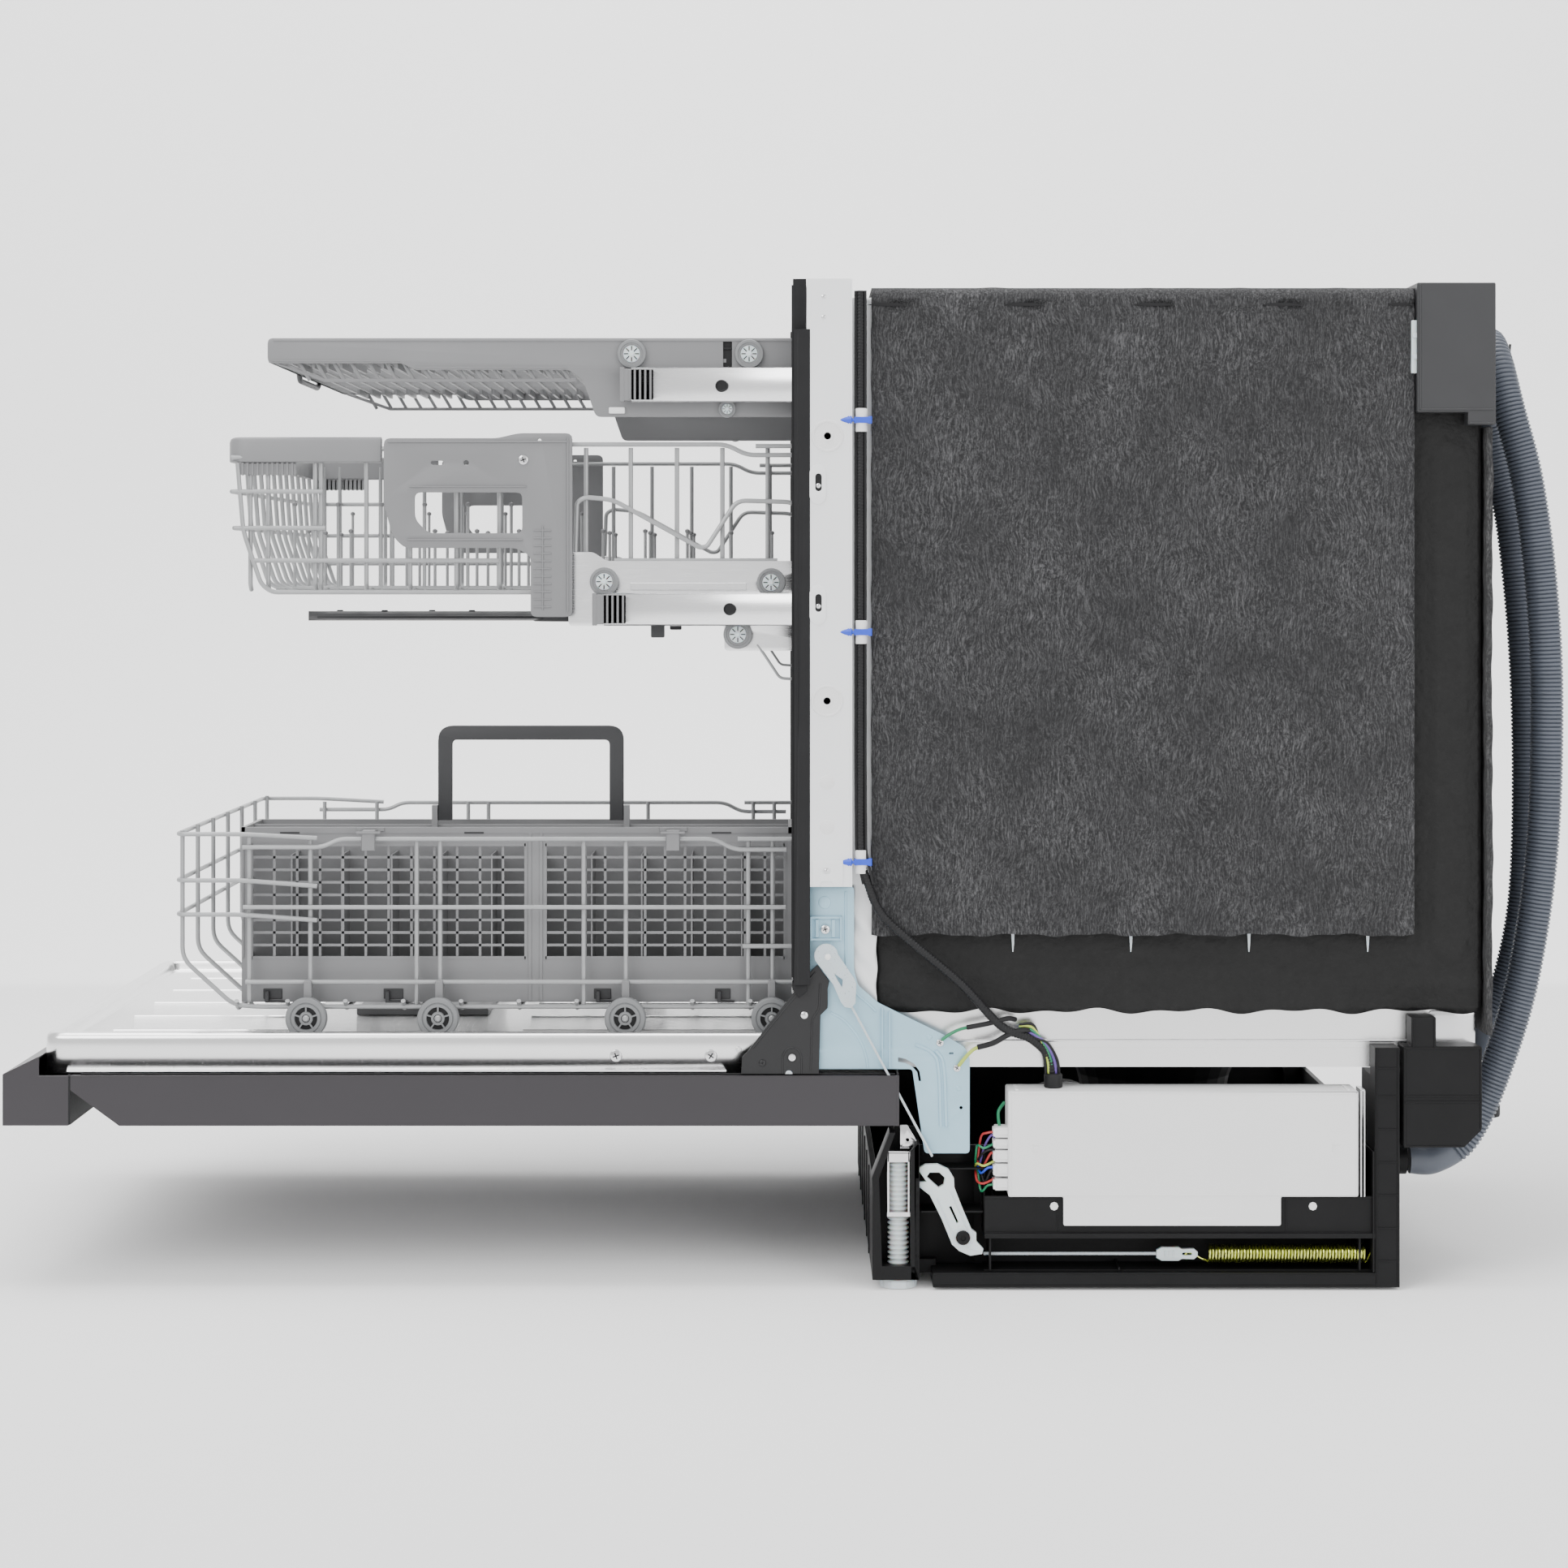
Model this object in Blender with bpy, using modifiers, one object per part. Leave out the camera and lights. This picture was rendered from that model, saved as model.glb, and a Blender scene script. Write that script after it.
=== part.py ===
"""Built-in dishwasher with its door open and its three racks drawn out.

Metres, +Z up.  The machine stands on the floor at Z = 0 and opens towards -Y.
X is the width.  Y = 0 is halfway between the open door's top edge and the
machine's back.  Side pieces are made once for each side of X = 0.
"""
import math

import bmesh
import bpy
from mathutils import Matrix, Vector

# ---------------------------------------------------------------- driving sizes
HALF_WIDTH = 0.3015
HEIGHT = 0.861
REAR = 0.6358
GAP = 0.0003
SHEET = 0.0015
TUCK = 0.0001      # a joined sheet stops this far short of its neighbour's outer face

# door, lying open
DOOR_HALF = 0.2985
DOOR_TOP_EDGE = -0.6358
DOOR_TAIL = 0.1273
DOOR_LOW = 0.1394
DOOR_HIGH = 0.1822
CONTROL_DEPTH = 0.0565
POCKET_RUN = 0.0429
LINER_HALF = 0.2875
LINER_FRONT = -0.6040
LINER_REAR = 0.0500
LINER_TOP = 0.2174
LINER_RIM = 0.0115
LINER_STEP = 0.0100
LINER_SLOPE = 0.0020
PIVOT = (0.0362, 0.1973)

# tub
TUB_HALF = 0.2720
TUB_FRONT = 0.0600
TUB_BACK = 0.6220
TUB_TOP = 0.8400
TUB_FLOOR = 0.2040
TUB_SKIRT = 0.1860
SUMP_CENTRE = (0.045, 0.370)
SUMP_RADIUS = 0.0845
ARM_CENTRE = (0.0, 0.338)
ARM_REACH = 0.238

# base
BASE_FRONT = 0.1045
BASE_BACK = 0.5530
BASE_TOP = 0.1160
WEB = 0.2540
FOOT_RADIUS = 0.0155
FRONT_FOOT = (0.2810, 0.1270)
REAR_FOOT = (0.2250, 0.5000)

# racks
WIRE = 0.0040
RACK_HALF = 0.2500
RAIL_X = (0.2580, 0.2665)
WHEEL_RADIUS = 0.0178
WHEEL_X = (0.2570, 0.2665)
WHEEL_Z = 0.2265
WHEEL_Y = (-0.3820, -0.2685, -0.1074, 0.0188)
AXLE_RADIUS = 0.0030

# door balance, in the outer layers of each side
PLATE_X = (0.2885, 0.2910)
ARM_X = (0.2925, 0.2955)
LINK_X = (0.2965, 0.2995)
STRAP_X = (0.2948, 0.2967)
LINK_PIVOT = (0.0652, 0.2843)
GUIDE_PIVOT = (0.1818, 0.0435)
SPRING_AXIS = (0.2850, 0.0283)
SPRING_RADIUS = 0.0083

# drain hose
HOSE_RADIUS = 0.0145
HOSE_X = (0.2130, 0.1400)

SIDES = (("right", 1), ("left", -1))
TO_SIDE_VIEW = Matrix(((0, 0, 1, 0), (1, 0, 0, 0), (0, 1, 0, 0), (0, 0, 0, 1)))


# ---------------------------------------------------------------- scene and helpers
def clear_scene():
    for old in list(bpy.data.objects):
        bpy.data.objects.remove(old, do_unlink=True)


def new_collection(name):
    collection = bpy.data.collections.new(name)
    bpy.context.scene.collection.children.link(collection)
    return collection


def material(name, colour, roughness, metallic=0.0):
    found = bpy.data.materials.get(name)
    if found:
        return found
    made = bpy.data.materials.new(name)
    made.use_nodes = True
    shader = made.node_tree.nodes["Principled BSDF"]
    shader.inputs["Base Color"].default_value = (*colour, 1.0)
    shader.inputs["Roughness"].default_value = roughness
    shader.inputs["Metallic"].default_value = metallic
    return made


clear_scene()
PARTS = new_collection("built_in_dishwasher")
CUTTERS = new_collection("cutters")

STEEL = ("stainless_steel", (0.62, 0.62, 0.62), 0.25, 1.0)
DARK_STEEL = ("dark_steel", (0.115, 0.110, 0.112), 0.38, 0.7)
ZINC = ("zinc_plated_steel", (0.52, 0.62, 0.68), 0.35, 0.8)
FRAME_GREY = ("galvanised_frame", (0.66, 0.66, 0.67), 0.40, 0.5)
BLACK_PLASTIC = ("black_plastic", (0.035, 0.035, 0.036), 0.55, 0.0)
RUBBER = ("black_rubber", (0.02, 0.02, 0.021), 0.70, 0.0)
BITUMEN = ("bitumen", (0.028, 0.028, 0.028), 0.75, 0.0)
FELT = ("felt", (0.055, 0.055, 0.056), 0.95, 0.0)
GREY_PLASTIC = ("grey_plastic", (0.32, 0.32, 0.33), 0.50, 0.0)
LIGHT_PLASTIC = ("light_grey_plastic", (0.68, 0.69, 0.69), 0.45, 0.0)
WHITE_NYLON = ("white_nylon", (0.80, 0.80, 0.78), 0.40, 0.0)
COATED_WIRE = ("coated_wire", (0.50, 0.50, 0.51), 0.40, 0.0)
HOSE_GREY = ("hose_grey", (0.155, 0.175, 0.20), 0.50, 0.0)
SPRING_STEEL = ("yellow_zinc", (0.52, 0.58, 0.16), 0.30, 1.0)
DARK_PLASTIC = ("dark_grey_plastic", (0.05, 0.05, 0.055), 0.50, 0.0)


def finish(name, mesh, look):
    obj = bpy.data.objects.new(name, mesh)
    PARTS.objects.link(obj)
    mesh.materials.clear()
    mesh.materials.append(material(*look))
    return obj


def as_cutter(obj):
    for owner in list(obj.users_collection):
        owner.objects.unlink(obj)
    CUTTERS.objects.link(obj)
    obj.hide_render = True
    obj.display_type = "WIRE"
    return obj


def combine(target, other, operation):
    change = target.modifiers.new(operation.lower(), "BOOLEAN")
    change.operation = operation
    change.object = as_cutter(other)
    change.solver = "EXACT"
    change.use_self = operation == "UNION"
    return target


def box_mesh(bm, box):
    """One box from (x0, x1, y0, y1, z0, z1)."""
    low = Vector((box[0], box[2], box[4]))
    high = Vector((box[1], box[3], box[5]))
    place = Matrix.Translation((low + high) / 2) @ Matrix.Diagonal((*(high - low), 1.0))
    bmesh.ops.create_cube(bm, size=1.0, matrix=place)


def boxes_mesh(name, boxes):
    bm = bmesh.new()
    for box in boxes:
        box_mesh(bm, box)
    mesh = bpy.data.meshes.new(name)
    bm.to_mesh(mesh)
    bm.free()
    return mesh


def solid_boxes(name, boxes, look):
    """A piece made of boxes that cross each other, joined into one body."""
    obj = finish(name, boxes_mesh(name, boxes[:1]), look)
    if len(boxes) > 1:
        combine(obj, finish(name + "_joined", boxes_mesh(name, boxes[1:]), look), "UNION")
    return obj


def both_sides(boxes):
    """The same boxes on the right and on the left."""
    return list(boxes) + [(-b[1], -b[0], *b[2:]) for b in boxes]


def on_side(box, sign):
    return box if sign > 0 else (-box[1], -box[0], *box[2:])


def cylinder(name, look, centre, axis, radius, length, sides=20):
    """A round bar with its middle at centre, along axis X, Y or Z."""
    bm = bmesh.new()
    turn = {"X": Matrix.Rotation(math.pi / 2, 4, "Y"),
            "Y": Matrix.Rotation(math.pi / 2, 4, "X"),
            "Z": Matrix.Identity(4)}[axis]
    bmesh.ops.create_cone(bm, cap_ends=True, segments=sides, radius1=radius, radius2=radius,
                          depth=length, matrix=Matrix.Translation(centre) @ turn)
    mesh = bpy.data.meshes.new(name)
    bm.to_mesh(mesh)
    bm.free()
    smooth(mesh)
    return finish(name, mesh, look)


def smooth(mesh):
    mesh.shade_smooth()
    mesh.set_sharp_from_angle(angle=math.radians(35))


def curve_to_mesh(curve_object, name, look):
    """Replaces a curve by its welded mesh."""
    graph = bpy.context.evaluated_depsgraph_get()
    mesh = bpy.data.meshes.new_from_object(curve_object.evaluated_get(graph))
    mesh.transform(curve_object.matrix_world)
    bm = bmesh.new()
    bm.from_mesh(mesh)
    bmesh.ops.remove_doubles(bm, verts=bm.verts, dist=0.00001)
    bmesh.ops.recalc_face_normals(bm, faces=bm.faces)
    bm.to_mesh(mesh)
    bm.free()
    bpy.data.objects.remove(curve_object, do_unlink=True)
    return finish(name, mesh, look)


def side_plate(name, outline, x_range, look, holes=()):
    """A flat plate from an outline of (Y, Z) points, between two X values."""
    curve = bpy.data.curves.new(name, "CURVE")
    curve.dimensions = "2D"
    curve.fill_mode = "BOTH"
    curve.extrude = abs(x_range[1] - x_range[0]) / 2
    for ring in (outline, *holes):
        spline = curve.splines.new("POLY")
        spline.points.add(len(ring) - 1)
        for point, (y, z) in zip(spline.points, ring):
            point.co = (y, z, 0.0, 1.0)
        spline.use_cyclic_u = True
    obj = bpy.data.objects.new(name, curve)
    PARTS.objects.link(obj)
    obj.matrix_world = Matrix.Translation((sum(x_range) / 2, 0, 0)) @ TO_SIDE_VIEW
    bpy.context.view_layer.update()
    return curve_to_mesh(obj, name, look)


def circle(y, z, radius, count=16):
    turn = 2 * math.pi / count
    return [(y + radius * math.cos(i * turn), z + radius * math.sin(i * turn)) for i in range(count)]


def smooth_route(points, spacing):
    """Evenly spaced points along a Catmull-Rom curve through the given points."""
    knots = [Vector(p) for p in points]
    knots = [2 * knots[0] - knots[1]] + knots + [2 * knots[-1] - knots[-2]]
    fine = []
    for a, b, c, d in zip(knots, knots[1:], knots[2:], knots[3:]):
        for step in range(24):
            t = step / 24
            fine.append(0.5 * (2 * b + (c - a) * t + (2 * a - 5 * b + 4 * c - d) * t * t
                               + (3 * b - a - 3 * c + d) * t ** 3))
    fine.append(knots[-2])
    total = sum((q - p).length for p, q in zip(fine, fine[1:]))
    count = max(2, round(total / spacing))
    step = total / count
    route = [fine[0]]
    walked = 0.0
    for p, q in zip(fine, fine[1:]):
        length = (q - p).length
        while len(route) < count and walked + length >= step * len(route) - 1e-9:
            route.append(p.lerp(q, (step * len(route) - walked) / length))
        walked += length
    route.append(fine[-1])
    return route


def tube(name, points, radius, look, resolution=2):
    curve = bpy.data.curves.new(name, "CURVE")
    curve.dimensions = "3D"
    curve.bevel_depth = radius
    curve.bevel_resolution = resolution
    curve.use_fill_caps = True
    spline = curve.splines.new("POLY")
    spline.points.add(len(points) - 1)
    for point, place in zip(spline.points, points):
        point.co = (*place, 1.0)
    obj = bpy.data.objects.new(name, curve)
    PARTS.objects.link(obj)
    bpy.context.view_layer.update()
    return curve_to_mesh(obj, name, look)


def turned(name, profile, centre, axis, look, steps=20):
    """A closed profile of (radius, height) points turned about an axis through centre."""
    bm = bmesh.new()
    points = [bm.verts.new((r, 0.0, h)) for r, h in profile]
    for a, b in zip(points, points[1:] + points[:1]):
        if a.co.x > 0 or b.co.x > 0:
            bm.edges.new((a, b))
    bmesh.ops.spin(bm, geom=bm.verts[:] + bm.edges[:], cent=(0, 0, 0), axis=(0, 0, 1),
                   angle=2 * math.pi, steps=steps, use_merge=True)
    bmesh.ops.remove_doubles(bm, verts=bm.verts, dist=0.00001)
    bmesh.ops.recalc_face_normals(bm, faces=bm.faces)
    turn = {"X": Matrix.Rotation(math.pi / 2, 4, "Y"), "Z": Matrix.Identity(4)}[axis]
    bm.transform(Matrix.Translation(centre) @ turn)
    mesh = bpy.data.meshes.new(name)
    bm.to_mesh(mesh)
    bm.free()
    smooth(mesh)
    return finish(name, mesh, look)


# ---------------------------------------------------------------- tub and its coverings
def tub():
    """An open-fronted steel box with skirts under its side walls."""
    bm = bmesh.new()
    box_mesh(bm, (-TUB_HALF, TUB_HALF, TUB_FRONT, TUB_BACK, TUB_FLOOR - SHEET, TUB_TOP))
    mouth = min(bm.faces, key=lambda f: f.calc_center_median().y)
    bmesh.ops.delete(bm, geom=[mouth], context="FACES_ONLY")
    mesh = bpy.data.meshes.new("tub")
    bm.to_mesh(mesh)
    bm.free()
    body = finish("tub", mesh, STEEL)
    shell = body.modifiers.new("sheet", "SOLIDIFY")
    shell.thickness = SHEET
    shell.offset = -1
    inner = TUB_HALF - SHEET
    skirts = both_sides([(inner + TUCK, TUB_HALF - TUCK, TUB_FRONT + TUCK, TUB_BACK - TUCK,
                          TUB_SKIRT, TUB_FLOOR - SHEET / 2)])
    combine(body, finish("tub_skirts", boxes_mesh("tub_skirts", skirts), STEEL), "UNION")
    hole = cylinder("sump_hole", STEEL, (*SUMP_CENTRE, TUB_FLOOR), "Z", SUMP_RADIUS + GAP, 0.02, 28)
    combine(body, hole, "DIFFERENCE")


def damping_shell():
    inner = TUB_HALF + GAP
    outer = TUB_HALF + 0.0065
    front = TUB_FRONT + 0.048
    back = TUB_BACK + 0.0045
    low = 0.2346
    top = TUB_TOP + 0.0065
    walls = both_sides([(inner, outer, front, back, low, top)])
    roof = (-outer, outer, front, back, TUB_TOP + GAP, top)
    rear = (-outer, outer, TUB_BACK + GAP, back, low, top)
    solid_boxes("damping_shell", [*walls, roof, rear], BITUMEN)


def insulation_blanket():
    inner = TUB_HALF + 0.0070
    outer = inner + 0.0135
    front = 0.1040
    back = 0.5670
    low = 0.3010
    top = 0.8556
    walls = both_sides([(inner, outer, front, back, low, top)])
    roof = (-outer, outer, front, back, TUB_TOP + 0.0070, top)
    solid_boxes("insulation_blanket", [*walls, roof], FELT)


def rear_felt():
    solid_boxes("rear_felt", [(-0.288, 0.288, 0.6275, REAR, 0.2150, 0.7350)], FELT)


def top_rear_bracket():
    """Two corner blocks joined by a bar across the back."""
    blocks = both_sides([
        (0.2795, DOOR_HALF, 0.5680, 0.6350, 0.7466, 0.8570),
        (0.2000, DOOR_HALF, 0.5680, 0.6350, 0.8475, 0.8570),
        (0.2795, DOOR_HALF, 0.6110, 0.6350, 0.7360, 0.7500),
    ])
    bar = (-DOOR_HALF, DOOR_HALF, 0.6275, 0.6350, 0.7600, 0.8570)
    solid_boxes("top_rear_bracket", [bar, *blocks], DARK_PLASTIC)


# ---------------------------------------------------------------- front frame
def front_frame():
    """A folded steel arch: two posts and a head, open towards the tub."""
    low = 0.3430
    top = 0.8600
    near = 0.0486
    far = 0.0873
    fold = 0.0016
    edge = HALF_WIDTH - TUCK
    post = [
        (HALF_WIDTH - fold, HALF_WIDTH, near, far, low, top - TUCK),
        (0.2675, edge, near + TUCK, near + fold, low + TUCK, top - 2 * TUCK),
        (0.2830, edge, far - fold, far - TUCK, low + 2 * TUCK, top - 3 * TUCK),
        (0.2830 + TUCK, 0.2830 + fold, far - fold / 2, 0.1030, low + 3 * TUCK, 0.8450),
    ]
    head = [
        (-edge + TUCK, edge - TUCK, near + 2 * TUCK, far - 2 * TUCK, top - fold, top),
        (-edge + 2 * TUCK, edge - 2 * TUCK, near + 3 * TUCK, near + fold - TUCK, 0.8415, top - fold / 2),
    ]
    solid_boxes("front_frame", [*head, *both_sides(post)], FRAME_GREY)


def door_gasket():
    side = (0.2675, LINER_HALF, 0.0369, 0.0483, 0.2594, HEIGHT - TUCK)
    width = LINER_HALF - TUCK
    head = (-width, width, 0.0369 + TUCK, 0.0483 - TUCK, 0.8415, HEIGHT)
    solid_boxes("door_gasket", [head, *both_sides([side])], RUBBER)


# ---------------------------------------------------------------- base and what it holds
def corner_outline():
    """Side profile of a front corner, swept back under the door's tail."""
    return [(0.1080, 0.0083), (BASE_FRONT, 0.0950), (0.1240, 0.1340), (0.1445, 0.1340),
            (0.1445, 0.0083)]


def base_frame():
    rail_low = 0.0020
    rail = [
        (0.2500, 0.2990, 0.1560, BASE_BACK, rail_low, 0.0145),
        (0.2500, WEB, 0.1400, BASE_BACK, 0.0083, BASE_TOP),
        (0.2500, 0.2990, 0.2000, 0.5400, 0.0437, 0.0480),
        (0.2920, 0.2955, 0.2000, 0.5400, 0.0437, 0.0785),
        (0.2300, 0.2990, 0.5320, BASE_BACK, rail_low, 0.1800),
        (0.2735, 0.2990, 0.5320, BASE_BACK, 0.1700, 0.2060),
        (0.2620, 0.2990, BASE_FRONT, 0.1095, 0.0083, 0.0950),
        (0.2500, 0.2990, 0.1400, 0.1445, 0.0083, 0.1240),
        (0.2620, 0.2990, 0.1050, 0.1445, 0.0083, 0.0200),
        (0.2500, 0.2660, 0.1400, 0.1600, 0.0083, 0.0200),
    ]
    toe = (-0.2680, 0.2680, BASE_FRONT, 0.1095, 0.0083, 0.0950)
    tray = (-0.2520, 0.2520, 0.1090, BASE_BACK, 0.0120, 0.0155)
    rear = (-0.2320, 0.2320, 0.5480, BASE_BACK, 0.0120, BASE_TOP)
    body = solid_boxes("base_frame", [tray, toe, rear, *both_sides(rail)], BLACK_PLASTIC)
    for side, sign in SIDES:
        cheek = side_plate("corner_cheek_" + side, corner_outline(), (sign * 0.2620, sign * 0.2665),
                           BLACK_PLASTIC)
        combine(body, cheek, "UNION")
        boss = cylinder("guide_boss_" + side, BLACK_PLASTIC,
                        (sign * 0.2730, *GUIDE_PIVOT), "X", 0.0060, 0.0440, 16)
        combine(body, boss, "UNION")
    spigot = cylinder("drain_spigot", BLACK_PLASTIC, (HOSE_X[0], 0.5600, 0.0980), "Y", 0.0120, 0.0240, 16)
    combine(body, spigot, "UNION")
    for side, sign in SIDES:
        for label, (x, y), radius in (("front", FRONT_FOOT, 0.0100), ("rear", REAR_FOOT, 0.0060)):
            hole = cylinder(f"{label}_foot_hole_{side}", BLACK_PLASTIC, (sign * x, y, 0.0150), "Z",
                            radius, 0.0200, 16)
            combine(body, hole, "DIFFERENCE")


def levelling_feet():
    front = [(0.0, 0.0), (FOOT_RADIUS, 0.0), (FOOT_RADIUS, 0.0078), (0.0092, 0.0078),
             (0.0092, 0.1120), (0.0, 0.1120)]
    rear = [(0.0, 0.0), (FOOT_RADIUS, 0.0), (FOOT_RADIUS, 0.0078), (0.0052, 0.0078),
            (0.0052, 0.0600), (0.0, 0.0600)]
    for side, sign in SIDES:
        turned("front_foot_" + side, front, (sign * FRONT_FOOT[0], FRONT_FOOT[1], 0.0), "Z", WHITE_NYLON, 16)
        turned("rear_foot_" + side, rear, (sign * REAR_FOOT[0], REAR_FOOT[1], 0.0), "Z", WHITE_NYLON, 16)


def inlet_tank():
    outline = [(0.5560, 0.1210), (0.6080, 0.1210), (0.6230, 0.1360), (0.6230, 0.2070),
               (0.5840, 0.2070), (0.5840, 0.2320), (0.5630, 0.2320), (0.5630, 0.2070),
               (0.5560, 0.2070)]
    side_plate("inlet_tank", outline, (0.2740, 0.2990), BLACK_PLASTIC)
    body = bpy.data.objects["inlet_tank"]
    rear = (0.2360, 0.2800, 0.5560, 0.6080, 0.1210, 0.1840)
    combine(body, finish("inlet_tank_joined", boxes_mesh("inlet_tank", [rear]), BLACK_PLASTIC), "UNION")


def control_box():
    cover = (0.2570, 0.2990, 0.2200, 0.5180, 0.0790, 0.1690)
    apron = (0.2962, 0.2990, 0.2670, 0.4520, 0.0545, 0.0850)
    solid_boxes("control_box", [cover, apron], LIGHT_PLASTIC)


def sump():
    """An open bowl under the tub floor, with the post that carries the lower spray arm."""
    profile = [(0.0, 0.085), (0.055, 0.085), (0.062, 0.110), (0.070, 0.150), (SUMP_RADIUS - 0.0005, 0.185),
               (SUMP_RADIUS - 0.0005, 0.2035), (0.0800, 0.2035), (0.0790, 0.187), (0.066, 0.153),
               (0.058, 0.112), (0.052, 0.090), (0.0, 0.090)]
    bowl = turned("sump", profile, (*SUMP_CENTRE, 0.0), "Z", BLACK_PLASTIC, 28)
    post = cylinder("spray_post", BLACK_PLASTIC, (*ARM_CENTRE, 0.1540), "Z", 0.0130, 0.1150, 16)
    combine(bowl, post, "UNION")


def filter_cup():
    profile = [(0.0, 0.1250), (0.0300, 0.1250), (0.0300, 0.2045), (0.0330, 0.2045), (0.0330, 0.2075),
               (0.0270, 0.2075), (0.0270, 0.1280), (0.0, 0.1280)]
    turned("filter_cup", profile, (0.0600, 0.3840, 0.0), "Z", GREY_PLASTIC, 20)


def pumps():
    motor = cylinder("circulation_pump", BLACK_PLASTIC, (-0.095, 0.300, 0.0720), "X", 0.0420, 0.1300, 24)
    volute = cylinder("volute", BLACK_PLASTIC, (-0.040, 0.300, 0.0720), "X", 0.0540, 0.0360, 24)
    combine(motor, volute, "UNION")
    drain = cylinder("drain_pump", BLACK_PLASTIC, (0.1600, 0.455, 0.0600), "Y", 0.0280, 0.0900, 20)
    outlet = cylinder("drain_outlet", BLACK_PLASTIC, (0.1600, 0.510, 0.0600), "Y", 0.0110, 0.0500, 14)
    combine(drain, outlet, "UNION")


def lower_spray_arm():
    blade_arm("lower_spray_arm", (*ARM_CENTRE, 0.2120), ARM_REACH, GREY_PLASTIC)


def blade_arm(name, place, reach, look):
    """A tapered blade along Y with round ends and a hub, 10 mm thick."""
    half = []
    for i in range(9):
        t = math.pi * i / 8
        half.append((0.014 * math.cos(t), reach - 0.014 + 0.014 * math.sin(t)))
    outline = [(0.026, 0.0), *half, (-0.026, 0.0)]
    outline += [(-x, -y) for x, y in half]
    curve = bpy.data.curves.new(name, "CURVE")
    curve.dimensions = "2D"
    curve.fill_mode = "BOTH"
    curve.extrude = 0.0045
    spline = curve.splines.new("POLY")
    spline.points.add(len(outline) - 1)
    for point, (x, y) in zip(spline.points, outline):
        point.co = (x, y, 0.0, 1.0)
    spline.use_cyclic_u = True
    obj = bpy.data.objects.new(name, curve)
    PARTS.objects.link(obj)
    obj.matrix_world = Matrix.Translation((place[0], place[1], place[2] + 0.0050))
    bpy.context.view_layer.update()
    blade = curve_to_mesh(obj, name, look)
    hub = cylinder(name + "_hub", look, (place[0], place[1], place[2] + 0.0055), "Z", 0.0300, 0.0110, 20)
    return combine(blade, hub, "UNION")


# ---------------------------------------------------------------- hinges and door balance
def hinge_plates():
    outline = [(0.0510, 0.3420), (0.0887, 0.3420), (0.0887, 0.2710), (0.0920, 0.2580), (0.1094, 0.2430),
               (0.1666, 0.2150), (0.1832, 0.2050), (0.1873, 0.1966), (0.1873, 0.1152), (0.1494, 0.1152),
               (0.1390, 0.1870), (0.0200, 0.1870), (0.0200, 0.2080), (0.0510, 0.2500)]
    for side, sign in SIDES:
        side_plate("hinge_plate_" + side, outline, (sign * PLATE_X[0], sign * PLATE_X[1]), ZINC,
                   [circle(*PIVOT, 0.0044)])


def hinge_arms():
    outline = [(0.0576, 0.2760), (0.0680, 0.2622), (0.0666, 0.2560), (0.0666, 0.2394), (0.0604, 0.2332),
               (0.0590, 0.1830), (-0.0072, 0.1830), (-0.0065, 0.1974), (-0.0024, 0.2015), (0.0507, 0.2690)]
    for side, sign in SIDES:
        arm = side_plate("hinge_arm_" + side, outline, (sign * ARM_X[0], sign * ARM_X[1]), DARK_STEEL)
        inner = PLATE_X[0] + 0.0002
        pin = cylinder("hinge_pin_" + side, DARK_STEEL, (sign * (inner + ARM_X[1]) / 2, *PIVOT), "X",
                       0.0040, ARM_X[1] - inner + 0.0006, 16)
        combine(arm, pin, "UNION")


def strap_end():
    """Where the balance strap reaches the cord guide."""
    return Vector((0.1560, 0.1130))


def balance_links():
    """The pear-shaped link at the hinge arm's tip, with the flat strap that hangs from it."""
    top = Vector(LINK_PIVOT)
    foot = Vector((0.0850, 0.2470))
    along = (strap_end() - foot).normalized()
    across = Vector((-along.y, along.x))
    arc = [top + Vector((math.cos(a), math.sin(a))) * 0.0097
           for a in (math.radians(200 - 25 * i) for i in range(8))]
    pear = [*arc, Vector((0.0890, 0.2620)), foot + across * 0.0040, foot - across * 0.0060]
    strap_top = foot - along * 0.0060
    strap = [strap_top + across * 0.0022, strap_end() + across * 0.0022,
             strap_end() - across * 0.0022, strap_top - across * 0.0022]
    for side, sign in SIDES:
        link = side_plate("balance_link_" + side, [tuple(p) for p in pear],
                          (sign * LINK_X[0], sign * LINK_X[1]), WHITE_NYLON)
        tail = side_plate("balance_strap_" + side, [tuple(p) for p in strap],
                          (sign * STRAP_X[0], sign * STRAP_X[1]), WHITE_NYLON)
        combine(link, tail, "UNION")


def cord_guides():
    """A swinging guide that turns the strap's pull towards the spring."""
    outline = [(0.1450, 0.1010), (0.1520, 0.1040), (0.1640, 0.1030), (0.1725, 0.0960), (0.1735, 0.0880),
               (0.1925, 0.0480), (0.1925, 0.0400), (0.1975, 0.0320), (0.1880, 0.0290), (0.1780, 0.0330),
               (0.1700, 0.0420), (0.1450, 0.0900)]
    for side, sign in SIDES:
        side_plate("cord_guide_" + side, outline, (sign * 0.2860, sign * 0.2940), WHITE_NYLON,
                   [circle(*GUIDE_PIVOT, 0.0064), circle(0.1610, 0.0925, 0.0060, 12)])


def balance_cords():
    """Pull cord from the guide to the spring, with the connector on its end."""
    z = SPRING_AXIS[1]
    for side, sign in SIDES:
        x = sign * 0.2850
        bar = cylinder("balance_cord_" + side, WHITE_NYLON, (x, 0.2750, z), "Y", 0.0015, 0.1500, 8)
        plate = (SPRING_AXIS[0] - 0.0035, SPRING_AXIS[0] + 0.0035, 0.3480, 0.3820, z - 0.0055, z + 0.0055)
        joined = finish("connector_" + side, boxes_mesh("connector", [on_side(plate, sign)]), WHITE_NYLON)
        combine(bar, joined, "UNION")


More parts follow.
